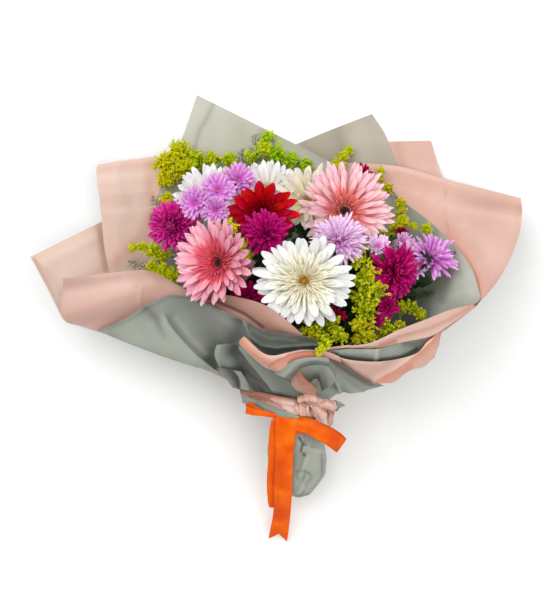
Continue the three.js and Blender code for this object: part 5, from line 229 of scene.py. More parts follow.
FERNS = [
    {'name': 'asparagus_fern_left', 'stem_radius': 1.1, 'tips': [[-144.64, 125.47, 34.0], [-169.65, 47.98, 70.0], [-146.28, 102.92, 44.0]], 'stem': [[14.17, -202.8, 21.11], [12.94, -161.02, 50.88], [11.74, -120.31, 79.88], [11.41, -108.91, 88.0], [4.79, -90.49, 94.21], [-4.4, -72.38, 96.89], [-16.06, -55.53, 95.85], [-28.89, -39.82, 92.63], [-42.18, -24.71, 88.5], [-55.52, -9.65, 84.33], [-68.69, 5.74, 80.88], [-81.38, 21.63, 78.0]]},
    {'name': 'asparagus_fern_back', 'stem_radius': 1.1, 'tips': [[-25.27, 199.78, 9.0], [-122.53, 191.12, 14.0], [-41.7, 180.89, 10.0]], 'stem': [[19.06, -197.54, 20.09], [17.91, -158.67, 47.78], [16.71, -117.96, 76.78], [16.38, -106.56, 84.9], [13.91, -86.83, 89.65], [10.81, -66.66, 90.38], [6.91, -46.88, 86.99], [2.55, -27.75, 81.21], [-2.08, -8.98, 74.5], [-6.88, 9.79, 67.92], [-11.76, 28.87, 62.36], [-16.66, 48.25, 58.0]]},
    {'name': 'asparagus_fern_right', 'stem_radius': 1.1, 'tips': [[202.78, 60.21, 82.0], [182.22, 75.4, 70.0], [175.32, 13.53, 98.0]], 'stem': [[34.95, -199.93, 26.58], [33.84, -162.23, 53.44], [32.64, -121.52, 82.44], [32.31, -110.12, 90.56], [38.57, -92.33, 94.7], [48.19, -75.62, 95.06], [61.34, -61.43, 94.88], [75.28, -48.18, 92.76], [89.46, -35.42, 89.41], [103.65, -22.63, 86.32], [117.58, -9.32, 84.47], [131.09, 4.54, 84.0]]},
]
SLOTS = {'wrap_back_left_sage': 'paper_sage', 'wrap_back_mid_sage': 'paper_sage', 'wrap_back_right_peach': 'paper_peach', 'wrap_left_upper_peach': 'paper_peach', 'wrap_left_lower_peach': 'paper_peach', 'wrap_right_peach': 'paper_peach', 'wrap_right_sage_liner': 'paper_sage', 'wrap_front_left_peach': 'paper_peach', 'wrap_front_left_sage': 'paper_sage', 'wrap_front_mid_sage': 'paper_sage', 'wrap_front_right_lip': 'paper_peach', 'wrap_front_right_sage': 'paper_sage', 'wrap_front_right_peach': 'paper_peach', 'wrap_front_pleat_peach': 'paper_peach', 'wrap_front_flap_sage': 'paper_sage', 'wrap_front_roll_sage': 'paper_sage', 'wrap_front_right_cone_sage': 'paper_sage', 'wrap_collar': 'paper_sage', 'wrap_collar_peach': 'paper_peach', 'wrap_ruffle': 'paper_peach', 'ribbon_tail_long': 'ribbon_satin', 'ribbon_tail_short': 'ribbon_satin', 'ribbon_loop_right': 'ribbon_satin', 'ribbon_loop_left': 'ribbon_satin', 'handle_wrap': 'paper_sage', 'stem_tie': 'tie_twine', 'ribbon_band': 'ribbon_satin', 'ribbon_knot': 'ribbon_satin', 'gerbera_white_front': 'petals_white', 'gerbera_pink_left': 'petals_pink', 'gerbera_pink_right': 'petals_pink', 'gerbera_red': 'petals_red', 'gerbera_white_back_left': 'petals_white', 'gerbera_white_back_mid': 'petals_white', 'gerbera_white_back_right': 'petals_white', 'chrysanthemum_magenta_left': 'petals_magenta', 'chrysanthemum_magenta_mid': 'petals_magenta', 'chrysanthemum_magenta_right': 'petals_magenta', 'chrysanthemum_magenta_low': 'petals_magenta', 'chrysanthemum_crimson_low': 'petals_crimson', 'chrysanthemum_crimson_back': 'petals_crimson', 'chrysanthemum_lilac_left': 'petals_lilac', 'chrysanthemum_lilac_mid': 'petals_lilac', 'chrysanthemum_lilac_small': 'petals_lilac', 'chrysanthemum_lilac_right': 'petals_lilac', 'chrysanthemum_lilac_back': 'petals_lilac', 'chrysanthemum_blush': 'petals_blush', 'solidago_back_left': 'solidago_yellow', 'solidago_back_mid': 'solidago_yellow', 'solidago_back_right': 'solidago_yellow', 'solidago_right_tip': 'solidago_yellow', 'solidago_left_low': 'solidago_yellow', 'solidago_right_mid': 'solidago_yellow', 'solidago_mid_right': 'solidago_yellow', 'solidago_front': 'solidago_yellow', 'solidago_right_low': 'solidago_yellow', 'solidago_mid_left': 'solidago_yellow', 'asparagus_fern_left': 'fern_green', 'asparagus_fern_back': 'fern_green', 'asparagus_fern_right': 'fern_green'}


SHIFT = np.array(SHIFT_MM)
rng = np.random.default_rng(967)

# ---------------------------------------------------------------- camera
cam_data = bpy.data.cameras.new("camera")
cam_data.sensor_width = 36.0
cam_data.lens = 36.0 * CAM_HEIGHT / (608 * 1.18)
cam_data.clip_start = 0.05
cam_data.clip_end = 20
camera = bpy.data.objects.new("camera", cam_data)
camera.location = (SHIFT[0] * MM, SHIFT[1] * MM, CAM_HEIGHT * MM)
camera.rotation_euler = (0, 0, 0)
bpy.context.collection.objects.link(camera)
bpy.context.scene.camera = camera


# ---------------------------------------------------------------- node helpers
def material(name):
    m = bpy.data.materials.new(name)
    m.use_nodes = True
    m.node_tree.nodes.clear()
    return m, m.node_tree


class Net:
    """short names for building a shader"""

    def __init__(self, name):
        self.m, self.t = material(name)
        self.out = self.t.nodes.new("ShaderNodeOutputMaterial")

    def n(self, kind, **sets):
        node = self.t.nodes.new("ShaderNode" + kind)
        for k, v in sets.items():
            if k.startswith("_"):
                setattr(node, k[1:], v)
        for k, v in sets.items():
            if not k.startswith("_"):
                sock = node.inputs[int(k[1:])] if k[0] == "i" and k[1:].isdigit() else node.inputs[k.replace("__", " ")]
                if isinstance(v, bpy.types.NodeSocket):
                    self.t.links.new(v, sock)
                else:
                    sock.default_value = v
        return node

    def link(self, a, b):
        self.t.links.new(a, b)

    def attr(self, name):
        return self.n("Attribute", _attribute_name=name)

    def coord(self):
        return self.n("TexCoord").outputs["Object"]

    def ramp(self, fac, stops, mode="LINEAR"):
        node = self.n("ValToRGB")
        node.color_ramp.interpolation = mode
        e = node.color_ramp.elements
        while len(e) > len(stops):
            e.remove(e[-1])
        while len(e) < len(stops):
            e.new(0.5)
        for k, (p, c) in enumerate(stops):
            e[k].position = p
            e[k].color = (*srgb(c), 1.0)
        self.link(fac, node.inputs["Fac"])
        return node.outputs["Color"]

    def mix(self, fac, a, b, kind="MIX"):
        node = self.n("Mix", _data_type="RGBA", _blend_type=kind)
        node.clamp_factor = True
        for sock, v in ((node.inputs["Factor"], fac), (node.inputs[6], a), (node.inputs[7], b)):
            if isinstance(v, bpy.types.NodeSocket):
                self.link(v, sock)
            elif sock.type == "RGBA":
                sock.default_value = (*srgb(v), 1.0)
            else:
                sock.default_value = v
        return node.outputs[2]

    def math(self, op, a, b=0.5, c=0.0):
        node = self.n("Math", _operation=op)
        for k, v in enumerate((a, b, c)):
            if isinstance(v, bpy.types.NodeSocket):
                self.link(v, node.inputs[k])
            else:
                node.inputs[k].default_value = v
        return node.outputs[0]

    def noise(self, vec, scale, detail=3.0, rough=0.5, dist=0.0):
        return self.n("TexNoise", Vector=vec, Scale=scale, Detail=detail, Roughness=rough, Distortion=dist).outputs["Fac"]

    def bump(self, height, strength, distance, normal=None):
        node = self.n("Bump", Height=height, Strength=strength, Distance=distance)
        if normal is not None:
            self.link(normal, node.inputs["Normal"])
        return node.outputs["Normal"]

    def shader(self, **sets):
        p = self.n("BsdfPrincipled")
        for k, v in sets.items():
            sock = p.inputs[k.replace("__", " ")]
            if isinstance(v, bpy.types.NodeSocket):
                self.link(v, sock)
            elif sock.type == "RGBA" and len(v) == 3:
                sock.default_value = (*srgb(v), 1.0)
            else:
                sock.default_value = v
        self.link(p.outputs[0], self.out.inputs["Surface"])
        return p


def srgb(c):
    """0..255 screen colour to linear"""
    return tuple((v / 255 / 12.92) if v / 255 <= 0.04045 else ((v / 255 + 0.055) / 1.055) ** 2.4 for v in c[:3])


# ---------------------------------------------------------------- mesh collector
class Build:
    def __init__(self):
        self.v, self.loops, self.sizes, self.mats = [], [], [], []
        self.t, self.r, self.w = [], [], []
        self.count = 0

    def add(self, verts, faces, mat=0, t=0.0, r=0.0, w=0.0):
        """verts (N,3) mm in the tables' frame; faces (F,k) or a list of such arrays"""
        verts = np.asarray(verts, float).reshape(-1, 3)
        n = len(verts)
        for f in faces if isinstance(faces, (list, tuple)) else [faces]:
            f = np.asarray(f, int)
            if not len(f):
                continue
            self.loops.append((f + self.count).ravel())
            self.sizes.append(np.full(len(f), f.shape[1]))
            self.mats.append(np.broadcast_to(mat, (len(f),)).copy() if np.ndim(mat) == 0 else np.asarray(mat))
        self.v.append(verts)
        for store, val in ((self.t, t), (self.r, r), (self.w, w)):
            store.append(np.broadcast_to(np.asarray(val, float), (n,)).copy() if np.ndim(val) == 0 else np.asarray(val, float).ravel())
        self.count += n

    def object(self, name, mats, smooth=True, sharp=58):
        v = (np.vstack(self.v) + SHIFT) * MM
        loops = np.concatenate(self.loops)
        sizes = np.concatenate(self.sizes)
        me = bpy.data.meshes.new(name)
        me.vertices.add(len(v))
        me.vertices.foreach_set("co", v.ravel())
        me.loops.add(len(loops))
        me.loops.foreach_set("vertex_index", loops.astype(np.int32))
        me.polygons.add(len(sizes))
        me.polygons.foreach_set("loop_start", np.concatenate([[0], np.cumsum(sizes)[:-1]]).astype(np.int32))
        me.polygons.foreach_set("loop_total", sizes.astype(np.int32))
        for m in mats:
            me.materials.append(m)
        me.polygons.foreach_set("material_index", np.concatenate(self.mats).astype(np.int32))
        me.polygons.foreach_set("use_smooth", np.full(len(sizes), smooth))
        me.update(calc_edges=True)
        me.validate()
        if sharp:
            me.set_sharp_from_angle(angle=math.radians(sharp))
        for key, store in (("t", self.t), ("rnd", self.r), ("wid", self.w)):
            a = me.attributes.new(key, "FLOAT", "POINT")
            a.data.foreach_set("value", np.concatenate(store).astype(np.float32))
        ob = bpy.data.objects.new(name, me)
        bpy.context.collection.objects.link(ob)
        return ob


def norm(v):
    v = np.asarray(v, float)
    return v / (np.linalg.norm(v, axis=-1, keepdims=True) + 1e-12)


def frame_of(n):
    n = norm(n)
    x = np.array([1.0, 0, 0]) - n * n[0]
    x = norm(x)
    return x, np.cross(n, x), n


# ---------------------------------------------------------------- smooth surfaces through control points
def knots_of(rows):
    rows = np.asarray(rows, float)
    d = np.linalg.norm(np.diff(rows, axis=0), axis=-1)
    d = d.reshape(len(d), -1).mean(1)
    k = np.concatenate([[0], np.cumsum(np.sqrt(d))])
    return k / k[-1], np.concatenate([[0], np.cumsum(d)])


def spline(ctl, knots, u):
    """ctl (n, ..., 3), knots (n,), u (m,) -> (m, ..., 3)"""
    ctl = np.asarray(ctl, float)
    n = len(ctl)
    P = np.concatenate([[2 * ctl[0] - ctl[1]], ctl, [2 * ctl[-1] - ctl[-2]]])
    T = np.concatenate([[2 * knots[0] - knots[1]], knots, [2 * knots[-1] - knots[-2]]])
    i = np.clip(np.searchsorted(knots, u, side="right") - 1, 0, n - 2)
    p0, p1, p2, p3 = P[i], P[i + 1], P[i + 2], P[i + 3]
    t0, t1, t2, t3 = T[i], T[i + 1], T[i + 2], T[i + 3]
    sh = (-1,) + (1,) * (ctl.ndim - 1)
    m1 = (p2 - p0) * ((t2 - t1) / (t2 - t0)).reshape(sh)
    m2 = (p3 - p1) * ((t2 - t1) / (t3 - t1)).reshape(sh)
    s = ((u - t1) / (t2 - t1)).reshape(sh)
    s2, s3 = s * s, s * s * s
    return p1 * (2 * s3 - 3 * s2 + 1) + m1 * (s3 - 2 * s2 + s) + p2 * (3 * s2 - 2 * s3) + m2 * (s3 - s2)


def row_spline(P, knots, u, sharp):
    """rows P (m, n, 3) through the columns, samples u; sharp (m, n) is 1 where a column is a true corner"""
    m, n = P.shape[:2]
    h = np.diff(knots)
    d = np.diff(P, axis=1) / h[None, :, None]  # slope of every span
    left = np.concatenate([d[:, :1], d], 1)  # slope arriving at each column
    right = np.concatenate([d, d[:, -1:]], 1)  # slope leaving it
    hl = np.concatenate([h[:1], h])[None, :, None]
    hr = np.concatenate([h, h[-1:]])[None, :, None]
    soft = (left * hr + right * hl) / (hl + hr)
    k = sharp[..., None]
    arrive = soft * (1 - k) + left * k
    leave = soft * (1 - k) + right * k
    i = np.clip(np.searchsorted(knots, u, side="right") - 1, 0, n - 2)
    hh = h[i]
    s = ((u - knots[i]) / hh)[None, :, None]
    hh = hh[None, :, None]
    s2, s3 = s * s, s * s * s
    return P[:, i] * (2 * s3 - 3 * s2 + 1) + leave[:, i] * hh * (s3 - 2 * s2 + s) + P[:, i + 1] * (3 * s2 - 2 * s3) + arrive[:, i + 1] * hh * (s3 - s2)


def surface(ribs, nu, nv, corner=35.0):
    """(nv+1, nu+1, 3) grid in mm, its width and its length; corners of the last rib stay corners"""
    rows = np.asarray(ribs, float)
    kv, lv = knots_of(rows)
    ku, lu = knots_of(rows.transpose(1, 0, 2))
    v = np.interp(np.linspace(0, lv[-1], nv + 1), lv, kv)
    u = np.interp(np.linspace(0, lu[-1], nu + 1), lu, ku)
    for q in ku[1:-1]:  # a sample on every column
        j = np.argmin(np.abs(u - q))
        if 0 < j < nu:
            u[j] = q
    line = spline(rows, kv, v)
    rim = np.diff(rows[-1], axis=0)
    rim = norm(rim)
    turn = np.degrees(np.arccos(np.clip((rim[1:] * rim[:-1]).sum(1), -1, 1)))
    hard = np.concatenate([[0], np.clip((turn - corner) / 12, 0, 1), [0]])
    weight = np.clip((np.linspace(0, 1, nv + 1) - 0.45) / 0.5, 0, 1) ** 1.5
    g = row_spline(line, ku, u, weight[:, None] * hard[None])
    g[..., 2] = np.maximum(g[..., 2], FLOOR_MM)
    return g, lu[-1], lv[-1]


def grid_normals(g):
    a = np.gradient(g, axis=0)
    b = np.gradient(g, axis=1)
    return norm(np.cross(a, b))


def smooth_noise(shape, cells, seed):
    """low, smooth random field in -1..1 on a grid"""
    r = np.random.default_rng(seed)
    cy, cx = cells
    c = r.uniform(-1, 1, (cy + 3, cx + 3))
    y = np.linspace(0, cy, shape[0])
    x = np.linspace(0, cx, shape[1])
    iy, ix = np.minimum(y.astype(int), cy - 1), np.minimum(x.astype(int), cx - 1)
    fy, fx = y - iy, x - ix

    def w(f):
        return np.stack([(1 - f) ** 3 / 6, (3 * f**3 - 6 * f**2 + 4) / 6, (-3 * f**3 + 3 * f**2 + 3 * f + 1) / 6, f**3 / 6])

    wy, wx = w(fy), w(fx)
    out = np.zeros(shape)
    for a in range(4):
        for b in range(4):
            out += wy[a][:, None] * wx[b][None] * c[np.clip(iy + a, 0, cy + 2)][:, np.clip(ix + b, 0, cx + 2)]
    return out * 1.6


def shell(b, g, thick, mats=(0, 1), rim=0, t=None, w=None, out=None, r=None):
    """closed thin sheet round grid g; mats = (up side, down side), or (side along out, other side)"""
    n = grid_normals(g)
    if (n[..., 2].mean() if out is None else (n * out).sum()) < 0:
        n = -n
    nv, nu = g.shape[0] - 1, g.shape[1] - 1
    top = g + n * thick / 2
    bot = g - n * thick / 2
    W = nu + 1
    i, j = np.meshgrid(np.arange(nv), np.arange(nu), indexing="ij")
    a = (i * W + j).ravel()
    quad = np.stack([a, a + 1, a + W + 1, a + W], 1)
    # which way round gives a normal along n
    p = top.reshape(-1, 3)
    k = quad[len(quad) // 2]
    fn = np.cross(p[k[1]] - p[k[0]], p[k[2]] - p[k[1]])
    if fn @ n.reshape(-1, 3)[k[0]] < 0:
        quad = quad[:, ::-1]
    off = (nv + 1) * W
    # rim quads
    edge = []
    j0 = np.arange(nu)
    i0 = np.arange(nv)
    ring = np.concatenate([j0, i0 * W + nu, nv * W + nu - j0, (nv - i0) * W])
    nxt = np.roll(ring, -1)
    side = np.stack([ring, nxt, nxt + off, ring + off], 1)
    pp = np.concatenate([top.reshape(-1, 3), bot.reshape(-1, 3)])
    k = side[nu // 2]
    fn = np.cross(pp[k[1]] - pp[k[0]], pp[k[2]] - pp[k[1]])
    outward = g[0, nu // 2] - g[1, nu // 2]
    if fn @ outward < 0:
        side = side[:, ::-1]
    tt = np.linspace(0, 1, nv + 1)[:, None] + np.zeros((1, nu + 1)) if t is None else t
    ww = np.zeros((nv + 1, 1)) + np.linspace(0, 1, nu + 1)[None] if w is None else w
    T = np.concatenate([tt.ravel(), tt.ravel()])
    Wd = np.concatenate([ww.ravel(), ww.ravel()])
    faces = np.concatenate([quad, quad[:, ::-1] + off, side])
    mat = np.concatenate([np.full(len(quad), mats[0]), np.full(len(quad), mats[1]), np.full(len(side), rim)])
    b.add(pp, faces, mat, t=T, w=Wd, r=0.0 if r is None else np.concatenate([r.ravel(), r.ravel()]))
    a1 = np.cross(g[1:, :-1] - g[:-1, :-1], g[:-1, 1:] - g[:-1, :-1])
    a2 = np.cross(g[1:, :-1] - g[1:, 1:], g[:-1, 1:] - g[1:, 1:])
    return (np.linalg.norm(a1, axis=-1).sum() + np.linalg.norm(a2, axis=-1).sum()) / 2


def tube(b, path, radius, sides=8, mat=0, t=None, r=0.0, cap=True):
    P = np.asarray(path, float)
    n = len(P)
    R = np.broadcast_to(np.asarray(radius, float), (n,))
    d = norm(np.gradient(P, axis=0))
    up = np.array([0.03, 0.02, 1.0])
    X = []
    for k in range(n):
        x = norm(up - d[k] * (up @ d[k]))
        X.append(x)
        up = x
    X = np.array(X)
    Y = np.cross(d, X)
    ang = np.linspace(0, 2 * np.pi, sides, endpoint=False)
    ring = P[:, None] + R[:, None, None] * (np.cos(ang)[None, :, None] * X[:, None] + np.sin(ang)[None, :, None] * Y[:, None])
    i, j = np.meshgrid(np.arange(n - 1), np.arange(sides), indexing="ij")
    a = (i * sides + j).ravel()
    c = (i * sides + (j + 1) % sides).ravel()
    q = np.stack([a, c, c + sides, a + sides], 1)
    verts = ring.reshape(-1, 3)
    tt = np.repeat(np.linspace(0, 1, n), sides)
    faces = [q]
    if cap:
        verts = np.concatenate([verts, P[:1], P[-1:]])
        tt = np.concatenate([tt, [0, 1]])
        s = np.arange(sides)
        c0, c1 = n * sides, n * sides + 1
        faces.append(np.stack([np.full(sides, c0), (s + 1) % sides, s], 1))
        faces.append(np.stack([np.full(sides, c1), (n - 1) * sides + s, (n - 1) * sides + (s + 1) % sides], 1))
    b.add(verts, faces, mat, t=tt if t is None else t, r=r, w=np.concatenate([np.tile(ang / 6.283, n), np.zeros(len(verts) - n * sides)]))


def resample(ctl, n):
    ctl = np.asarray(ctl, float)
    k, l = knots_of(ctl)
    return spline(ctl, k, np.interp(np.linspace(0, l[-1], n), l, k))


# ---------------------------------------------------------------- petals
def petals(b, centre, facing, phi, r0, z0, length, width, elev, bend, mat=0, nl=7, nw=4, cup=0.12, groove=0.0,
           tip=0.75, base=0.25, notch=0.0, thick=0.35, twist=None, swerve=None, t_off=0.0, rand=None, curl=1.0, wave=0.0, seed=1, blunt=0.16):
    """many petals at once round one head. All arguments may be arrays with one value per petal; angles in radians"""
    N = len(phi)
    f = lambda x: np.broadcast_to(np.asarray(x, float), (N,)).copy()
    r0, z0, length, width, elev, bend, cup, notch, tip, base = map(f, (r0, z0, length, width, elev, bend, cup, notch, tip, base))
    twist = f(0 if twist is None else twist)
    swerve = f(0 if swerve is None else swerve)
    rand = np.random.default_rng(seed).uniform(0, 1, N) if rand is None else f(rand)
    v = np.linspace(0, 1, nl + 1) ** 0.85
    u = np.linspace(-1, 1, nw + 1)
    # outline: narrow foot, widest at `tip` of the length, rounded or pointed end
    vt = tip[:, None]
    rise = base[:, None] + (1 - base[:, None]) * np.sin(np.clip(v[None] / vt, 0, 1) * np.pi / 2) ** 1.1
    fall = np.sqrt(np.clip(1 - ((v[None] - vt) / (1.0 - vt)).clip(0, 1) ** 2.2, 0, 1))
    prof = rise * np.where(v[None] > vt, fall, 1.0)
    prof[:, -1] = np.maximum(prof[:, -1], blunt)
    th = elev[:, None] + bend[:, None] * v[None] ** curl
    ds = length[:, None] * np.diff(v)[None]
    thm = (th[:, 1:] + th[:, :-1]) / 2
    x = r0[:, None] + np.concatenate([np.zeros((N, 1)), np.cumsum(np.cos(thm) * ds, 1)], 1)
    z = z0[:, None] + np.concatenate([np.zeros((N, 1)), np.cumsum(np.sin(thm) * ds, 1)], 1)
    half = width[:, None] / 2 * prof
    # local frame across the petal
    s = half[:, :, None] * u[None, None]
    lift = cup[:, None, None] * half[:, :, None] * (u[None, None] ** 2) * 2
    if groove:
        lift = lift - groove * np.cos(u[None, None] * 2.5 * np.pi) * np.sin(np.pi * np.clip(v, 0.05, 0.95))[None, :, None]
    if wave:
        ph = np.random.default_rng(seed + 7).uniform(0, 6.28, (N, 1, 1))
        lift = lift + wave * np.abs(u)[None, None] * np.sin(v[None, :, None] * 9 + ph + u[None, None] * 2)
    # a small notch in the tip: the middle of the last rows sits back
    back = notch[:, None, None] * length[:, None, None] * (v[None, :, None] ** 8) * (np.abs(u)[None, None] ** 2.0)
    tw = twist[:, None, None] * v[None, :, None]
    ss = s * np.cos(tw)
    lift = lift + s * np.sin(tw)
    nx, nz = -np.sin(th)[:, :, None], np.cos(th)[:, :, None]
    tx, tz = np.cos(th)[:, :, None], np.sin(th)[:, :, None]
    X = x[:, :, None] + nx * lift - tx * back
    Z = z[:, :, None] + nz * lift - tz * back
    Y = ss + (swerve[:, None] * v[None] ** 2)[:, :, None]
    edge = 1 - 0.8 * np.abs(u) ** 3
    dX, dZ = -nx * thick * edge[None, None], -nz * thick * edge[None, None]
    top = np.stack([X, Y, Z], -1)
    bot = np.stack([X + dX, Y, Z + dZ], -1)
    pts = np.stack([top, bot], 1)  # N,2,nl+1,nw+1,3
    ex, ey, ez = frame_of(facing)
    cp, sp = np.cos(phi), np.sin(phi)
    rx = cp[:, None] * ex + sp[:, None] * ey
    ry = -sp[:, None] * ex + cp[:, None] * ey
    world = pts[..., 0:1] * rx[:, None, None, None] + pts[..., 1:2] * ry[:, None, None, None] + pts[..., 2:3] * ez + np.asarray(centre)
    W = nw + 1
    i, j = np.meshgrid(np.arange(nl), np.arange(nw), indexing="ij")
    a = (i * W + j).ravel()
    up = np.stack([a, a + W, a + W + 1, a + 1], 1)
    off = (nl + 1) * W
    down = up[:, ::-1] + off
    j0, i0 = np.arange(nw), np.arange(nl)
    ring = np.concatenate([j0, i0 * W + nw, nl * W + nw - j0, (nl - i0) * W])
    nxt = np.roll(ring, -1)
    side = np.stack([ring, nxt, nxt + off, ring + off], 1)
    one = np.concatenate([up, down, side])
    per = 2 * off
    faces = (one[None] + (np.arange(N) * per)[:, None, None]).reshape(-1, 4)
    T = np.broadcast_to((v * (1 - t_off) + t_off)[None, None, :, None], (N, 2, nl + 1, nw + 1)).ravel()
    U = np.broadcast_to(u[None, None, None, :], (N, 2, nl + 1, nw + 1)).ravel()
    Rr = np.broadcast_to(rand[:, None, None, None], (N, 2, nl + 1, nw + 1)).ravel()
    b.add(world.reshape(-1, 3), faces, mat, t=T, r=Rr, w=U)


ICO = None


def ico():
    global ICO
    if ICO is None:
        p = (1 + 5**0.5) / 2
        v = norm(np.array([[-1, p, 0], [1, p, 0], [-1, -p, 0], [1, -p, 0], [0, -1, p], [0, 1, p], [0, -1, -p], [0, 1, -p], [p, 0, -1], [p, 0, 1], [-p, 0, -1], [-p, 0, 1]]))
        f = np.array([[0, 11, 5], [0, 5, 1], [0, 1, 7], [0, 7, 10], [0, 10, 11], [1, 5, 9], [5, 11, 4], [11, 10, 2], [10, 7, 6], [7, 1, 8], [3, 9, 4], [3, 4, 2], [3, 2, 6], [3, 6, 8], [3, 8, 9], [4, 9, 5], [2, 4, 11], [6, 2, 10], [8, 6, 7], [9, 8, 1]])
        ICO = (v, f)
    return ICO


OCTA = (np.array([[1.0, 0, 0], [-1, 0, 0], [0, 1, 0], [0, -1, 0], [0, 0, 1], [0, 0, -1]]), np.array([[0, 2, 4], [2, 1, 4], [1, 3, 4], [3, 0, 4], [2, 0, 5], [1, 2, 5], [3, 1, 5], [0, 3, 5]]))


def beads(b, centres, radii, axes=None, stretch=1.0, mat=0, t=0.0, r=0.0, solid=None):
    """small closed buds"""
    v, f = solid or ico()
    m = len(v)
    C = np.asarray(centres, float)
    N = len(C)
    if not N:
        return
    R = np.broadcast_to(np.asarray(radii, float), (N,))
    P = v[None] * R[:, None, None]
    if axes is not None:
        A = norm(np.asarray(axes, float))
        along = (P * A[:, None]).sum(-1, keepdims=True)
        P = P + A[:, None] * along * (stretch - 1)
    P = P + C[:, None]
    tt = np.broadcast_to(np.asarray(t, float), (N,))
    rr = np.broadcast_to(np.asarray(r, float), (N,))
    b.add(P.reshape(-1, 3), (f[None] + (np.arange(N) * m)[:, None, None]).reshape(-1, 3), mat, t=np.repeat(tt, m), r=np.repeat(rr, m))


# ---------------------------------------------------------------- materials
def paper(name, base, light, shade, seed, deep, glow):
    """t is painted shade: it darkens the sheet along its folds and where the sheet lies in shade (below 0 it is a
    painted highlight that makes it lighter); rnd is a painted glow that warms it where light comes through from the
    other side
    """
    k = Net(name)
    co = k.coord()
    T, R = (k.attr(a).outputs["Fac"] for a in ("t", "rnd"))
    big = k.noise(co, 9.0 + seed, 3, 0.5)
    mid = k.noise(co, 55.0, 5, 0.6)
    fine = k.noise(co, 1500.0, 2, 0.6)
    fibre = k.noise(k.n("Mapping", i0=co, i3=(90.0, 900.0, 300.0)).outputs[0], 1.0, 3, 0.6)
    col = k.ramp(big, [(0.25, shade), (0.5, base), (0.75, light)])
    col = k.mix(k.math("MULTIPLY", mid, 0.22), col, light)
    col = k.mix(k.math("MULTIPLY", fine, 0.10), col, shade)
    col = k.mix(k.math("MULTIPLY", fibre, 0.06), col, light)
    # painted shade where t is above 0, painted highlight where t is below 0, painted glow where rnd is above 0
    col = k.mix(k.n("MapRange", Value=T, i1=0.0, i2=1.0).outputs[0], col, deep)
    col = k.mix(k.n("MapRange", Value=T, i1=0.0, i2=-1.0).outputs[0], col, light)
    col = k.mix(k.n("MapRange", Value=R, i1=0.0, i2=1.0).outputs[0], col, glow)
    rough = k.math("MULTIPLY_ADD", mid, 0.16, 0.46)
    nrm = k.bump(big, 0.10, 0.010)
    nrm = k.bump(mid, 0.10, 0.0016, nrm)
    nrm = k.bump(fine, 0.10, 0.00008, nrm)
    k.shader(Base__Color=col, Roughness=rough, Specular__IOR__Level=0.32, Sheen__Weight=0.12, Sheen__Roughness=0.45, Normal=nrm)
    return k.m


def petal_mat(name, stops, vein, streak=0.35, rough=0.62, sss=0.05, radius=(1.0, 0.5, 0.4), bright=(0.84, 0.24), edge=0.3, lines=9.0, gloss=0.2, sheen=0.05):
    """t runs from the foot of a petal to its tip, wid across it from -1 to 1, rnd is one number per petal"""
    k = Net(name)
    T, R, W = (k.attr(a).outputs["Fac"] for a in ("t", "rnd", "wid"))
    # the petal's colour from foot to tip; its darker foot is partly the petal's own colour and partly painted shade
    # where the petals crowd the eye
    base = k.ramp(T, stops)
    # long veins
    vec = k.n("CombineXYZ", i0=k.math("MULTIPLY", W, lines * 0.8), i1=k.math("MULTIPLY", T, 1.3), i2=k.math("MULTIPLY", R, 60.0)).outputs[0]
    st = k.noise(vec, 1.3, 3, 0.6)
    st = k.n("MapRange", Value=st, i1=0.42, i2=0.68).outputs[0]
    col = k.mix(k.math("MULTIPLY", st, streak), base, vein)
    # painted shade: darker along the petal edges, where the petals overlap
    rim = k.n("MapRange", Value=k.math("ABSOLUTE", W), i1=0.72, i2=1.0).outputs[0]
    col = k.mix(k.math("MULTIPLY", rim, edge), col, vein)
    hsv = k.n("HueSaturation", Color=col)
    k.link(k.math("MULTIPLY_ADD", R, bright[1], bright[0]), hsv.inputs["Value"])
    k.link(k.math("MULTIPLY_ADD", R, 0.012, 0.494), hsv.inputs["Hue"])
    cells = k.noise(k.coord(), 2600.0, 2, 0.5)
    nrm = k.bump(st, 0.3, 0.0005)
    nrm = k.bump(cells, 0.12, 0.0001, nrm)
    k.shader(Base__Color=hsv.outputs[0], Roughness=k.math("MULTIPLY_ADD", st, 0.10, rough), Specular__IOR__Level=gloss, Subsurface__Weight=sss,
             Subsurface__Radius=tuple(v * 0.0015 for v in radius), Subsurface__Scale=1.0, Sheen__Weight=sheen, Sheen__Roughness=0.5, Normal=nrm)
    return k.m


def green(name, stops, vein, rough=0.5, scale=160.0, sheen=0.05):
    k = Net(name)
    T, R = (k.attr(a).outputs["Fac"] for a in ("t", "rnd"))
    base = k.ramp(T, stops)
    co = k.coord()
    n = k.noise(co, scale, 4, 0.6)
    col = k.mix(k.math("MULTIPLY", n, 0.5), base, vein)
    hsv = k.n("HueSaturation", Color=col)
    k.link(k.math("MULTIPLY_ADD", R, 0.4, 0.8), hsv.inputs["Value"])
    k.link(k.math("MULTIPLY_ADD", R, 0.03, 0.485), hsv.inputs["Hue"])
    nrm = k.bump(n, 0.3, 0.0004)
    nrm = k.bump(k.noise(co, 2200.0, 2, 0.5), 0.15, 0.0001, nrm)
    k.shader(Base__Color=hsv.outputs[0], Roughness=k.math("MULTIPLY_ADD", n, 0.2, rough - 0.1), Specular__IOR__Level=0.35, Sheen__Weight=sheen, Normal=nrm)
    return k.m


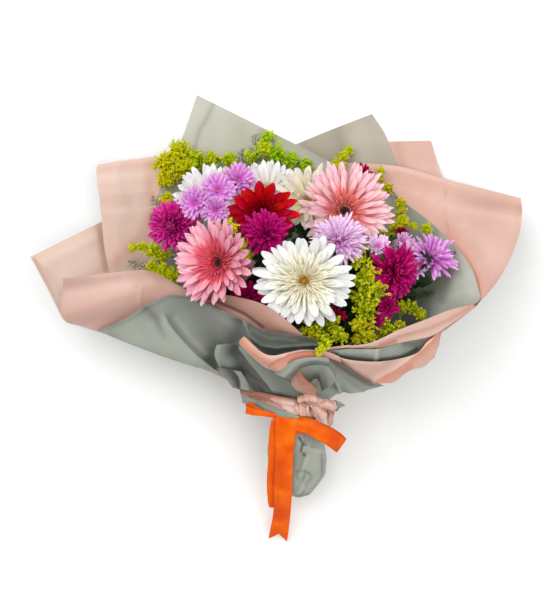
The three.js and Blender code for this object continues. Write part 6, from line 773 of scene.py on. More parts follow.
def leaf_material(name, dark, lit, vein):
    k = Net(name)
    T, R, W = (k.attr(a).outputs["Fac"] for a in ("t", "rnd", "wid"))
    aw = k.math("ABSOLUTE", W)
    mid = k.n("MapRange", Value=aw, i1=0.0, i2=0.10, i3=1.0, i4=0.0).outputs[0]
    # side veins run forward from the middle one
    ph = k.math("SUBTRACT", k.math("MULTIPLY", T, 9.0), k.math("MULTIPLY", aw, 2.2))
    sv = k.math("POWER", k.math("ABSOLUTE", k.math("SINE", k.math("MULTIPLY", ph, 3.14159))), 12.0)
    n = k.noise(k.coord(), 260.0, 4, 0.6)
    col = k.mix(n, dark, lit)
    col = k.mix(k.math("MAXIMUM", k.math("MULTIPLY", mid, 0.7), k.math("MULTIPLY", sv, 0.35)), col, vein)
    hsv = k.n("HueSaturation", Color=col)
    k.link(k.math("MULTIPLY_ADD", R, 0.5, 0.7), hsv.inputs["Value"])
    nrm = k.bump(k.math("ADD", mid, sv), 0.35, 0.0006)
    nrm = k.bump(n, 0.3, 0.0003, nrm)
    k.shader(Base__Color=hsv.outputs[0], Roughness=k.math("MULTIPLY_ADD", n, 0.2, 0.42), Specular__IOR__Level=0.35, Normal=nrm)
    return k.m


def satin(name, base, light, dark):
    k = Net(name)
    T, W = (k.attr(a).outputs["Fac"] for a in ("t", "wid"))
    co = k.coord()
    n = k.noise(co, 38.0, 3, 0.5)
    col = k.ramp(n, [(0.3, dark), (0.5, base), (0.72, light)])
    edge = k.n("MapRange", Value=k.math("ABSOLUTE", k.math("SUBTRACT", W, 0.5)), i1=0.46, i2=0.49).outputs[0]
    col = k.mix(k.math("MULTIPLY", edge, 0.45), col, dark)
    weft = k.math("SINE", k.math("MULTIPLY", T, 2600.0))
    warp = k.math("SINE", k.math("MULTIPLY", W, 380.0))
    weave = k.math("MULTIPLY_ADD", k.math("MULTIPLY", weft, warp), 0.5, 0.5)
    fibre = k.n("TexNoise", Vector=k.n("Mapping", Vector=co, Scale=(2600.0, 160.0, 700.0)).outputs[0], Scale=1.0, Detail=2.0).outputs["Fac"]
    col = k.mix(k.math("MULTIPLY", weave, 0.10), col, light)
    nrm = k.bump(fibre, 0.25, 0.00012)
    nrm = k.bump(weave, 0.2, 0.00008, nrm)
    nrm = k.bump(k.math("SUBTRACT", 1.0, edge), 0.3, 0.0003, nrm)
    k.shader(Base__Color=col, Roughness=k.math("MULTIPLY_ADD", fibre, 0.22, 0.32), Specular__IOR__Level=0.16, Sheen__Weight=0.0, Sheen__Roughness=0.3,
             Sheen__Tint=(255, 170, 90), Anisotropic=0.55, Normal=nrm)
    return k.m


# colours of the painted shade and of the painted glow of each paper
SAGE_DEEP, SAGE_GLOW, PEACH_DEEP, PEACH_GLOW = (56, 60, 54), (150, 132, 116), (128, 84, 68), (226, 140, 106)
SAGE = paper("paper_sage", (148, 154, 141), (184, 188, 176), (134, 140, 127), 0.0, SAGE_DEEP, SAGE_GLOW)
# The other papers are copies of the sage and the peach paper with painted light and shade: the pale, taupe and liner
# sage are painted lighter and warmer for sheets in more light, the sage for the flap and the middle sheet is painted
# darker as shade, the peach for the front-left sheet is painted darker as shade, and the rose peach is painted a little
# darker than the base peach.
SAGE_SHADE = paper("paper_sage_shade", (138, 145, 132), (168, 174, 162), (122, 129, 116), 0.3, (44, 48, 43), SAGE_GLOW)
SAGE_PALE = paper("paper_sage_pale", (186, 185, 170), (206, 204, 192), (176, 175, 158), 1.0, (118, 118, 100), (190, 172, 150))
SAGE_TAUPE = paper("paper_sage_taupe", (172, 162, 145), (194, 188, 172), (158, 150, 134), 1.5, (110, 104, 90), (190, 164, 140))
SAGE_LINER = paper("paper_sage_liner", (168, 171, 157), (188, 190, 176), (152, 155, 141), 0.6, SAGE_DEEP, SAGE_GLOW)
PEACH = paper("paper_peach", (233, 198, 181), (248, 222, 209), (226, 188, 170), 2.0, PEACH_DEEP, PEACH_GLOW)
PEACH_DUST = paper("paper_peach_shaded", (198, 160, 146), (226, 194, 182), (186, 147, 133), 3.1, (112, 78, 64), PEACH_GLOW)
PEACH_ROSE = paper("paper_peach_rose", (217, 176, 161), (236, 202, 190), (205, 162, 146), 2.6, PEACH_DEEP, PEACH_GLOW)
RIBBON = satin("ribbon_satin", (240, 96, 0), (252, 122, 6), (222, 74, 0))
TWINE = green("tie_twine", [(0, (176, 152, 112)), (1, (196, 172, 130))], (140, 116, 80), 0.8, 600.0)
STEM = green("stem_green", [(0, (120, 150, 80)), (0.6, (96, 140, 60)), (1, (120, 160, 80))], (74, 110, 44))
# very dark green: the leaves' own colour, darkened further as painted shade for the gaps between the heads where they
# show
LEAF = leaf_material("leaf_green", (14, 36, 16), (34, 70, 28), (62, 98, 46))
CALYX = green("calyx_green", [(0, (70, 110, 44)), (1, (108, 148, 66))], (56, 92, 36))
WHITE = petal_mat("petals_white", [(0, (222, 212, 166)), (0.3, (236, 228, 200)), (0.62, (240, 237, 226)), (1, (240, 241, 243))], (206, 205, 206), 0.42, edge=0.22)
# a brighter copy of the white petals: painted light for the back heads, which lie in shade
SNOW = petal_mat("petals_white_lit", [(0, (238, 232, 196)), (0.3, (250, 246, 228)), (0.62, (254, 253, 248)), (1, (255, 255, 255))], (228, 226, 230), 0.42, edge=0.22)
IVORY = petal_mat("petals_ivory", [(0, (222, 210, 132)), (0.4, (242, 234, 186)), (0.75, (250, 246, 228)), (1, (250, 249, 242))], (218, 208, 168), 0.4)
CORAL_IN = petal_mat("florets_coral", [(0, (176, 60, 48)), (0.5, (232, 112, 102)), (1, (246, 150, 144))], (206, 92, 84), 0.4, bright=(0.8, 0.4))
PINK_PALE = petal_mat("petals_pink_pale", [(0, (224, 108, 108)), (0.22, (241, 142, 146)), (0.5, (250, 184, 190)), (0.8, (253, 212, 218)), (1, (255, 228, 234))], (234, 148, 160), 0.6, edge=0.5, bright=(0.9, 0.2))
CREAM = petal_mat("florets_cream", [(0, (216, 196, 130)), (0.4, (240, 230, 192)), (1, (246, 241, 222))], (216, 200, 152), 0.4)
PINK = petal_mat("petals_pink", [(0, (214, 66, 84)), (0.22, (232, 98, 116)), (0.5, (243, 146, 164)), (0.8, (248, 186, 202)), (1, (250, 208, 220))], (222, 104, 132), 0.6, edge=0.5, bright=(0.9, 0.2))
PINK_IN = petal_mat("florets_pink", [(0, (140, 24, 36)), (0.5, (224, 66, 84)), (1, (240, 108, 124))], (190, 54, 70), 0.4, bright=(0.8, 0.4))
RED = petal_mat("petals_red", [(0, (120, 0, 8)), (0.3, (186, 0, 16)), (0.7, (212, 2, 28)), (1, (222, 20, 52))], (140, 0, 12), 0.5, bright=(0.86, 0.34), gloss=0.1, sheen=0.0)
RED_IN = petal_mat("florets_red", [(0, (110, 0, 8)), (1, (200, 0, 18))], (120, 0, 10), 0.4, gloss=0.1, sheen=0.0)
MAGENTA = petal_mat("petals_magenta", [(0, (150, 0, 90)), (0.4, (198, 4, 126)), (0.8, (220, 26, 148)), (1, (234, 90, 184))], (160, 0, 98), 0.5, bright=(0.8, 0.5), gloss=0.1, sheen=0.0)
PLUM = petal_mat("petals_plum", [(0, (132, 0, 74)), (0.45, (178, 0, 100)), (0.85, (198, 10, 116)), (1, (216, 48, 146))], (128, 0, 74), 0.5, bright=(0.8, 0.5), gloss=0.1, sheen=0.0)
CERISE = petal_mat("petals_cerise", [(0, (112, 0, 54)), (0.45, (172, 0, 90)), (0.85, (196, 4, 112)), (1, (220, 52, 148))], (138, 0, 62), 0.5, bright=(0.8, 0.5), gloss=0.1, sheen=0.0)
CRIMSON = petal_mat("petals_crimson", [(0, (90, 0, 24)), (0.6, (168, 0, 52)), (1, (198, 4, 74))], (110, 0, 36), 0.4, gloss=0.1, sheen=0.0)
LILAC = petal_mat("petals_lilac", [(0, (206, 66, 184)), (0.3, (224, 118, 214)), (0.7, (234, 160, 232)), (1, (244, 208, 244))], (204, 84, 196), 0.65, edge=0.55, bright=(0.9, 0.26))
LILAC_PALE = petal_mat("petals_lilac_pale", [(0, (226, 70, 186)), (0.3, (236, 130, 214)), (0.6, (240, 196, 236)), (1, (246, 234, 248))], (224, 140, 216), 0.5, edge=0.5, bright=(0.9, 0.22))
ORCHID = petal_mat("petals_orchid", [(0, (222, 100, 196)), (0.4, (236, 164, 226)), (1, (244, 214, 242))], (216, 126, 208), 0.55, edge=0.45)
BLUSH = petal_mat("petals_blush", [(0, (206, 110, 150)), (0.5, (232, 166, 196)), (1, (242, 206, 224))], (210, 130, 170), 0.4)
EYE_GOLD = green("eye_golden", [(0, (140, 132, 30)), (0.5, (206, 170, 50)), (1, (232, 198, 96))], (176, 140, 40), 0.6, 900.0)
EYE_DARK = green("eye_brown", [(0, (30, 8, 8)), (0.6, (70, 16, 16)), (1, (120, 40, 34))], (24, 6, 6), 0.6, 900.0)
EYE_GREEN = green("eye_green", [(0, (120, 130, 30)), (1, (206, 196, 60))], (150, 150, 40), 0.6, 900.0)


def goldenrod(name, stops, spark, inner):
    """rnd is the hue of one bud, t runs from the inside of a plume to its outside; the inner buds are painted darker as
    shade and the outer ones lighter as a painted highlight
    """
    k = Net(name)
    T, R = (k.attr(a).outputs["Fac"] for a in ("t", "rnd"))
    base = k.ramp(R, stops)
    # painted shade: buds deep in the plume take the inner colour; painted highlight: the outer buds take the highlight
    # colour
    col = k.mix(k.n("MapRange", Value=T, i1=0.34, i2=0.02).outputs[0], base, inner)
    col = k.mix(k.n("MapRange", Value=T, i1=0.40, i2=0.95).outputs[0], col, spark)
    n = k.noise(k.coord(), 1400.0, 3, 0.6)
    col = k.mix(k.math("MULTIPLY", n, 0.15), col, inner)
    # random patches darkened towards the inner colour
    patchy = k.n("MapRange", Value=k.noise(k.coord(), 420.0, 2, 0.5), i1=0.52, i2=0.62).outputs[0]
    col = k.mix(k.math("MULTIPLY", patchy, 0.5), col, inner)
    nrm = k.bump(n, 0.4, 0.0003)
    k.shader(Base__Color=col, Roughness=k.math("MULTIPLY_ADD", n, 0.2, 0.6), Specular__IOR__Level=0.04, Subsurface__Weight=0.16, Subsurface__Radius=(0.0024, 0.0024, 0.0002),
             Subsurface__Scale=1.0, Normal=nrm)
    return k.m


# each: hues of the buds, the painted highlight of the outer buds, the painted shade deep in a plume
SOL_YELLOW = goldenrod("solidago_yellow", [(0, (180, 226, 2)), (0.5, (232, 232, 0)), (1, (254, 226, 0))], (255, 252, 36), (104, 128, 0))
SOL_LIME = goldenrod("solidago_lime", [(0, (150, 222, 4)), (0.5, (204, 238, 6)), (1, (250, 242, 6))], (240, 254, 60), (96, 160, 2))
SOL_OLIVE = goldenrod("solidago_olive", [(0, (132, 176, 2)), (0.5, (200, 212, 2)), (1, (250, 224, 4))], (255, 250, 50), (44, 70, 2))
TWIG = green("twig_green", [(0, (84, 120, 36)), (1, (130, 160, 50))], (70, 100, 28), 0.6, 500.0)
FERN = green("fern_green", [(0, (40, 74, 34)), (0.5, (52, 88, 40)), (1, (84, 118, 62))], (34, 64, 30), 0.55, 500.0)
BLADE = green("goldenrod_leaf", [(0, (30, 66, 22)), (1, (66, 112, 36))], (90, 130, 56), 0.5, 300.0)


def floor_material():
    k = Net("floor_pale")
    n = k.noise(k.coord(), 30.0, 4, 0.5)
    col = k.ramp(n, [(0.3, (252, 252, 251)), (0.7, (254, 254, 253))])
    k.shader(Base__Color=col, Roughness=0.7, Specular__IOR__Level=0.2, Normal=k.bump(n, 0.02, 0.001))
    return k.m


# ---------------------------------------------------------------- wrapping sheets
UP = {"wrap_front_right_lip": "peach", "wrap_collar": "sage", "wrap_collar_peach": "peach", "wrap_ruffle": "peach"}
sheet_objects = []


def add_piece(ob, node, slot_name):
    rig.ride(ob, "root")
    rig.replaces(ob, node)
    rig.slot(ob, slot_name)
    return ob


def seen(p):
    """where a point of the tables falls on the picture plane of a camera 2.2 m above the table"""
    s = 1.18 * (1 - p[..., 2] / 2200.0)
    return 276.5 + p[..., 0] / s, 304.0 - p[..., 1] / s


def spot(px, py, z):
    s = 1.18 * (1 - z / 2200.0)
    return [(px - 276.5) * s, (304.0 - py) * s, z]


def to_line(px, py, line):
    """distance to a drawn line, which side of it (+1 is the right hand going along it), and 1 in its middle falling to 0 past its ends"""
    best = np.full(px.shape, 1e9)
    side = np.zeros(px.shape)
    past = np.zeros(px.shape)
    pts = np.array(line, float)
    for k in range(len(pts) - 1):
        a, d = pts[k], pts[k + 1] - pts[k]
        L = np.hypot(*d)
        u = ((px - a[0]) * d[0] + (py - a[1]) * d[1]) / L**2
        c = np.clip(u, 0, 1)
        dist = np.hypot(px - a[0] - c * d[0], py - a[1] - c * d[1])
        m = dist < best
        best = np.where(m, dist, best)
        side = np.where(m, np.sign((py - a[1]) * d[0] - (px - a[0]) * d[1]), side)
        over = np.zeros(px.shape)
        if k == 0:
            over = np.maximum(over, np.clip(-u, 0, None) * L)
        if k == len(pts) - 2:
            over = np.maximum(over, np.clip(u - 1, 0, None) * L)
        past = np.where(m, over, past)
    return best, side, past


# folds of each sheet: the line, half width, height in mm, kind ("ridge" soft, "crease" sharp, "step"), then painted
# shading (side, half width, darker: painted shade, below 0 a painted highlight, warmer: painted glow)
FOLDS = {
    "wrap_back_left_sage": [
        ([(214, 103), (207, 118), (200, 130), (194, 152)], 2.6, -1.4, "ridge", [(0, 2.6, 0.34, 0)]),
        ([(221, 108), (222, 140), (216, 165)], 6.0, 0.8, "ridge", [(0, 6, -0.25, 0)]),
        ([(262, 131), (300, 149), (345, 171)], 5.0, -0.8, "ridge", [(0, 5, 0.22, 0)]),
        ([(240, 128), (246, 150), (250, 180)], 7.0, 1.0, "ridge", [(0, 6, 0.10, 0.2)]),
    ],
    "wrap_back_mid_sage": [
        ([(303, 146), (322, 162), (345, 172)], 2.0, -0.7, "crease", [(-1, 6, 0.2, 0)]),
        ([(352, 120), (363, 150), (368, 172)], 7.0, 1.2, "ridge", [(0, 7, -0.3, 0)]),
        ([(336, 128), (345, 160)], 6.0, -1.0, "ridge", [(0, 6, 0.22, 0)]),
    ],
    "wrap_back_right_peach": [([(396, 145), (402, 172)], 5.0, -0.8, "ridge", [(0, 7, 0.22, 0.1)]), ([(434, 142), (441, 176)], 2.0, 0.6, "ridge", [(0, 2, -0.3, 0)])],
    "wrap_left_upper_peach": [
        ([(97, 168.5), (128, 164.5), (160, 161)], 2.4, 1.0, "ridge", [(0, 3.0, 0.10, 0.1)]),
        ([(97, 177), (128, 174), (158, 171)], 4.0, -0.8, "ridge", [(0, 4.5, -0.45, 0)]),
        ([(100, 197), (130, 195), (157, 192)], 5.0, 1.0, "ridge", [(0, 3, 0.08, 0.06)]),
        ([(104, 209), (140, 208), (157, 206)], 3.5, -0.8, "ridge", [(0, 4, -0.35, 0)]),
        ([(152, 165), (155, 200), (152, 245)], 5.0, -1.0, "ridge", [(0, 7, 0.26, 0.1)]),
        ([(112, 262), (135, 240), (150, 215)], 7.0, 0.8, "ridge", [(0, 7, 0.10, 0.25)]),
    ],
    "wrap_left_lower_peach": [
        ([(26, 256), (40, 283), (54, 312)], 6, 0.0, "ridge", [(0, 12, 0.34, -0.1)]),
        ([(99, 214), (104, 242), (107, 270)], 4.0, -1.2, "ridge", [(0, 6.5, 0.42, 0.2)]),
        ([(45, 262), (72, 250), (98, 236)], 6.0, 1.2, "ridge", [(0, 6, -0.3, 0)]),
        ([(62, 296), (84, 280), (100, 276)], 4.0, -1.2, "ridge", [(0, 5, 0.22, 0.1)]),
        ([(33, 259), (47, 286), (62, 316)], 2.5, 0.8, "ridge", [(0, 2.2, 0.28, 0)]),
    ],
    "wrap_right_peach": [
        ([(352, 166), (400, 170), (440, 181), (480, 191), (521, 199)], 3.0, 1.2, "ridge", [(0, 3, -0.25, 0)]),
        ([(352, 174), (396, 178), (432, 188), (476, 199), (520, 207)], 7.0, -2.2, "ridge", [(0, 8, 0.20, 0.04)]),
        ([(440, 205), (480, 212), (519, 219)], 4.0, 1.6, "ridge", [(0, 5, -0.35, 0)]),
        ([(445, 182), (446, 210), (449, 236)], 1.2, 0.6, "crease", [(0, 1.2, 0.18, 0)]),
        ([(404, 196), (432, 214), (452, 238)], 6.0, -1.4, "ridge", [(0, 8, 0.12, 0.10)]),
        ([(450, 238), (468, 260), (480, 284), (483, 300)], 5.0, 1.2, "ridge", [(0, 7, -0.1, 0.34)]),
        ([(520, 206), (519, 232), (508, 262), (490, 292)], 3.0, 0.8, "ridge", [(0, 3.0, 0.12, 0.05)]),
        ([(462, 226), (486, 246), (498, 262)], 9.0, 1.6, "ridge", [(0, 8, -0.16, 0)]),
    ],
    "wrap_right_sage_liner": [
        ([(398, 196), (424, 216), (452, 240), (470, 266)], 5.0, 1.2, "ridge", [(0, 5, 0.16, 0)]),
        ([(440, 236), (462, 262), (472, 296)], 6.0, 1.0, "ridge", [(0, 6, -0.45, 0)]),
        ([(396, 338), (418, 314), (432, 286), (428, 262)], 12.0, -1.0, "ridge", [(0, 16, 0.55, 0)]),
        ([(452, 250), (446, 280), (440, 300)], 5.0, -1.0, "ridge", [(0, 5, 0.22, 0)]),
        ([(450, 296), (470, 290)], 3.0, 0.7, "ridge", [(0, 3, -0.2, 0)]),
    ],
    "wrap_front_left_peach": [
        ([(150, 271), (176, 280), (190, 288), (204, 293)], 4.0, 0.8, "ridge", [(0, 6, 0.30, 0.1)]),
        ([(183, 287.5), (204, 297), (225, 306.5), (243, 315), (262, 329)], 1.3, -1.6, "crease", [(0, 1.5, 0.9, 0), (-1, 7, 0.25, 0)]),
        ([(214, 296), (240, 303), (262, 314), (286, 330), (300, 337)], 7.0, 0.8, "ridge", [(0, 12, 0.52, 0.12)]),
        ([(141, 289), (140, 304)], 1.8, 0.9, "crease", [(1, 4, -0.25, 0), (-1, 4, 0.12, 0)]),
        ([(64, 281), (96, 277), (120, 274)], 3.0, 1.0, "ridge", [(0, 4, 0.06, 0.0)]),
        ([(70, 292), (110, 285), (150, 279)], 6.0, -1.4, "ridge", [(0, 6, -0.22, 0)]),
        ([(66, 314), (98, 304), (130, 293)], 5.0, 1.2, "ridge", [(0, 5, 0.06, 0.05)]),
        ([(60, 300), (90, 296), (125, 286)], 9.0, 0.0, "ridge", [(0, 12, -0.45, 0)]),
    ],
    "wrap_front_left_sage": [
        ([(244, 362), (254, 374), (263, 386)], 4.0, 0.0, "ridge", [(0, 9, 0.8, 0)]),
        ([(98, 330), (122, 322), (148, 307.5), (170, 296.5), (195, 300), (220, 310)], 1.6, 0.8, "ridge", [(0, 1.8, 0.25, 0)]),
        ([(146, 309), (156, 320), (163, 338)], 4.5, -2.0, "ridge", [(0, 4.5, 0.42, 0)]),
        ([(151, 325), (161, 340)], 4.0, 1.0, "ridge", [(0, 5, -0.3, 0)]),
        ([(168, 320), (177, 332), (190, 346), (203, 359), (214, 369)], 1.8, 2.6, "crease", [(1, 8, -0.55, 0), (-1, 8, 0.5, 0)]),
        ([(176, 318), (190, 336), (206, 352)], 5.0, 1.0, "ridge", [(0, 3.5, -0.22, 0)]),
        ([(241, 320), (239, 334), (229, 346), (214, 352), (211, 366)], 8.0, -1.6, "ridge", [(0, 9, 0.58, 0)]),
        ([(196, 301), (216, 310), (238, 322)], 4.0, 0.9, "ridge", [(0, 4, 0.28, 0)]),
        ([(188, 300), (200, 318), (212, 338)], 9.0, 0.0, "ridge", [(0, 20, 0.42, 0)]),
        ([(130, 330), (160, 345), (190, 358)], 8.0, 0.6, "ridge", [(0, 12, -0.3, 0)]),
        ([(110, 334), (150, 350), (196, 367)], 3.0, 0.8, "ridge", [(0, 4, 0.2, 0)]),
    ],
    "wrap_front_mid_sage": [
        ([(244, 362), (254, 374), (263, 386)], 4.0, 0.0, "ridge", [(0, 9, 0.8, 0)]),
        ([(243, 321), (249, 335), (262, 344.5), (277, 347.6), (300, 346.5), (320, 345)], 1.4, 1.6, "crease", [(0, 1.3, -0.6, 0), (1, 6, 0.8, 0)]),
        ([(250, 327), (262, 335), (284, 342), (312, 342)], 5.0, -1.6, "ridge", [(0, 5, 0.30, 0)]),
        ([(252, 331), (268, 339), (296, 343)], 2.0, 1.0, "ridge", [(0, 2.4, -0.15, 0)]),
    ],
    "wrap_front_right_lip": [
        ([(322, 350.5), (350, 348.6), (378, 347.8), (396, 342)], 1.2, -0.9, "crease", [(0, 1.8, 0.6, 0.4)]),
        ([(380, 344), (404, 336), (430, 329), (452, 319), (474, 306)], 2.5, -1.0, "ridge", [(0, 2.6, 0.24, 0.2)]),
        ([(352, 345), (376, 341), (400, 330), (430, 317), (462, 303)], 2.2, 0.8, "ridge", [(0, 2.4, -0.3, 0)]),
    ],
    "wrap_front_right_sage": [
        ([(379, 346), (377, 352), (376, 360)], 1.6, 1.4, "crease", [(0, 2.2, -0.6, 0), (-1, 7, 0.3, 0)]),
        ([(328, 352.5), (351, 358.5), (378, 360.6), (401, 357), (417, 350)], 2.0, -0.6, "ridge", [(0, 2.4, 0.75, 0)]),
        ([(404, 344), (416, 345), (424, 341)], 3.0, -1.0, "ridge", [(0, 4, 0.45, 0)]),
        ([(340, 353), (370, 352)], 3.0, 1.0, "ridge", [(0, 3, -0.4, 0)]),
    ],
    "wrap_front_right_peach": [
        ([(373, 381), (381, 376), (392, 370), (405, 360.5), (419, 350), (432, 338)], 1.5, 2.4, "crease", [(1, 7, 0.22, 0.75), (-1, 4, -0.35, 0), (1, 1.8, 0.35, 0.3)]),
        ([(380, 380.5), (392, 379), (402, 372.5), (412, 366), (424, 362), (433, 352)], 2.6, 1.4, "ridge", [(0, 2.6, -0.1, 0.25)]),
        ([(331, 355), (340, 361.8), (346, 366.8), (354, 372.8), (363, 377.8), (371, 381.6)], 1.6, -0.8, "ridge", [(0, 2.6, 0.95, 0.3)]),
        ([(333, 355), (352, 361), (380, 363)], 2.0, 0.8, "ridge", [(0, 2, -0.3, 0)]),
        ([(402, 374), (410, 366)], 2.4, -1.4, "ridge", [(0, 3, 0.3, 0.3)]),
    ],
    "wrap_front_pleat_peach": [
        ([(241, 339), (248, 346.5), (258, 355.5), (268, 362.5)], 2.4, 1.2, "ridge", [(0, 3.6, 0.28, 0.6)]),
        ([(262, 354), (272, 358), (284, 355.5)], 2.4, 0.8, "ridge", [(0, 2.8, -0.25, 0)]),
        ([(269, 366.5), (279, 360.2), (291, 355.8), (304, 353.4), (322, 353)], 1.0, -2.0, "crease", [(0, 1.4, 0.6, 0.4), (1, 5, 0.10, 0.6)]),
        ([(276, 368), (286, 365), (297, 360), (312, 357.5)], 2.2, 1.2, "ridge", [(0, 2.6, -0.1, 0.5)]),
        ([(271, 370), (280, 372.5), (292, 371)], 1.4, -0.8, "ridge", [(0, 2, 0.5, 0.2)]),
    ],
    "wrap_front_flap_sage": [
        ([(255, 369), (262, 378), (268, 385), (274, 392)], 1.5, 0.0, "crease", [(1, 7, 0.9, 0)]),
        ([(240, 349), (247, 359), (255, 370), (264, 381), (274, 394)], 1.4, 2.4, "crease", [(1, 15, 0.75, 0), (1, 5, 0.25, 0), (-1, 8, -0.35, 0)]),
        ([(219, 346), (220, 356), (228, 362)], 6.0, 1.6, "ridge", [(0, 7, -0.35, 0)]),
        ([(244, 383), (254, 388), (268, 392)], 3.0, 1.4, "ridge", [(0, 4.5, -0.6, 0)]),
        ([(219, 346), (217, 355), (221, 366)], 2.0, 1.0, "ridge", [(0, 2.0, -0.2, 0)]),
        ([(232, 373), (240, 378), (241, 388)], 3.0, -3.0, "ridge", [(0, 4.0, 0.85, 0)]),
        ([(243, 375), (243.5, 383), (241, 390)], 1.3, 2.0, "ridge", [(0, 1.4, -0.6, 0)]),
        ([(226, 371), (236, 376), (248, 380), (262, 390), (290, 398)], 2.4, -0.8, "ridge", [(0, 2.6, 0.35, 0)]),
    ],
    "wrap_front_right_cone_sage": [
        ([(322, 353.5), (336, 361.5), (352, 371.5), (372, 383)], 1.8, 0.0, "ridge", [(0, 3.2, 0.95, 0.5)]),
        ([(323, 358), (329, 369), (335, 380), (341, 394)], 1.6, 2.2, "crease", [(0, 2.0, -0.5, 0), (1, 5, 0.55, 0)]),
        ([(335, 370), (349, 381), (363, 391)], 1.8, 1.4, "crease", [(1, 6, -0.22, 0), (-1, 6, 0.22, 0)]),
        ([(333, 360), (350, 373), (370, 383), (384, 387)], 2.0, -0.6, "ridge", [(0, 2.6, 0.42, 0)]),
        ([(335, 385), (345, 392)], 3.0, -1.0, "ridge", [(0, 3, 0.3, 0)]),
    ],
    "wrap_collar": [
        ([(246, 398), (262, 406), (280, 412.5), (298, 417)], 1.2, 0.6, "ridge", [(0, 1.4, -0.2, 0)]),
        ([(256, 404), (262, 410)], 2.0, -0.6, "ridge", [(0, 2.4, 0.25, 0)]),
    ],
    "wrap_collar_peach": [
        ([(240, 389), (262, 393), (284, 397), (303, 401)], 1.5, -0.8, "ridge", [(0, 2.4, 0.85, 0)]),
        ([(246, 392), (262, 396), (280, 400)], 1.2, 0.9, "ridge", [(0, 2.4, 0.25, 0.25)]),
        ([(238, 390), (250, 394), (264, 398)], 5.0, 0.0, "ridge", [(0, 6, 0.55, 0.05)]),
        ([(249, 396), (263, 399), (276, 404), (286, 411)], 1.2, -0.9, "crease", [(0, 1.6, 0.45, 0.1)]),
        ([(270, 399), (284, 403), (299, 405)], 1.4, 1.0, "ridge", [(0, 1.8, -0.25, 0)]),
        ([(284, 408), (296, 411)], 1.8, 0.8, "ridge", [(0, 2.4, -0.45, 0)]),
        ([(255, 394), (258, 399)], 1.0, -0.8, "ridge", [(0, 1.4, 0.5, 0)]),
        ([(268, 396), (272, 402)], 1.0, -0.8, "ridge", [(0, 1.4, 0.5, 0)]),
    ],
    "wrap_ruffle": [
        ([(309, 398), (312, 406), (317, 414), (323, 424)], 1.2, -2.6, "crease", [(0, 1.7, 0.85, 0)]),
        ([(317, 399), (317, 408)], 1.4, -1.2, "ridge", [(0, 1.6, 0.45, 0)]),
        ([(322, 402), (327, 405), (331, 409)], 2.6, 1.8, "ridge", [(0, 3, -0.4, 0)]),
        ([(318, 411), (326, 411.5), (336, 411)], 1.4, -1.8, "crease", [(1, 4, 0.45, 0), (0, 1.2, 0.4, 0)]),
        ([(314, 399), (313, 403)], 1.6, 1.0, "ridge", [(0, 2.2, -0.3, 0)]),
        ([(321, 419.5), (327, 418.5), (334, 418)], 1.2, -1.6, "crease", [(0, 1.6, 0.5, 0)]),
        ([(328, 422), (329, 427)], 2.0, 1.0, "ridge", [(0, 2, 0.1, 0.2)]),
        ([(306, 401), (309, 408), (314, 415)], 1.6, 1.0, "ridge", [(0, 2, 0.2, 0)]),
    ],
    "handle_wrap": [
        ([(268, 424), (300, 428), (334, 426)], 8.0, 0, "ridge", [(0, 9, 0.35, 0)]),
        ([(303, 428), (306, 438), (304, 448)], 1.6, -1.2, "ridge", [(0, 1.8, 0.25, 0)]),
        ([(310, 432), (309, 440)], 1.4, -0.9, "ridge", [(0, 1.6, 0.2, 0)]),
        ([(303, 447), (313, 449), (323, 451)], 1.0, 1.2, "crease", [(0, 1.2, -0.5, 0), (-1, 3, 0.3, 0)]),
        ([(322, 451), (322, 463), (322, 477)], 1.3, -1.2, "crease", [(0, 1.6, 0.3, 0)]),
        ([(303, 448), (302, 466), (304, 484)], 2.4, -0.8, "ridge", [(0, 3, 0.14, 0)]),
        ([(313, 452), (314, 470), (310, 490)], 4.0, 0.9, "ridge", [(0, 5, -0.2, 0)]),
        ([(296, 497), (308, 494), (320, 482)], 3.0, 0, "ridge", [(0, 3.5, 0.3, 0)]),
        ([(322, 434), (327, 444), (326, 454)], 2.2, -0.8, "ridge", [(0, 2.6, 0.22, 0)]),
        ([(307, 456), (303, 468), (300, 476)], 1.4, 1.2, "crease", [(0, 1.8, -0.6, 0), (1, 4, 0.35, 0)]),
        ([(308, 476), (303, 486), (299, 493)], 1.4, 1.0, "crease", [(0, 1.6, -0.5, 0), (-1, 4, 0.3, 0)]),
        ([(296, 472), (303, 471), (309, 474)], 1.2, -1.0, "ridge", [(0, 1.6, 0.3, 0.4)]),
        ([(299, 438), (303, 444), (301, 452), (305, 456)], 1.0, -1.6, "ridge", [(0, 1.2, 0.75, 0.2)]),
        ([(309, 446), (304, 449), (302, 454)], 1.0, 1.0, "ridge", [(0, 1.2, -0.6, 0.3)]),
        ([(314, 449), (325, 452)], 1.0, 0.8, "ridge", [(0, 1.2, -0.6, 0)]),
    ],
}
# which copy of its paper each sheet shows: copies painted lighter or darker for the light that falls on that sheet
LOOK = {"wrap_back_left_sage": "pale", "wrap_back_mid_sage": "taupe", "wrap_right_sage_liner": "liner", "wrap_back_right_peach": "rose", "wrap_right_peach": "rose", "wrap_front_right_lip": "rose", "wrap_front_left_peach": "shaded",
        "wrap_front_pleat_peach": "rose", "wrap_front_right_peach": "rose", "wrap_collar_peach": "rose", "wrap_ruffle": "rose", "wrap_front_flap_sage": "deep", "wrap_front_mid_sage": "deep"}
SHOWN = {"pale": SAGE_PALE, "taupe": SAGE_TAUPE, "liner": SAGE_LINER, "rose": PEACH_ROSE, "shaded": PEACH_DUST, "deep": SAGE_SHADE}


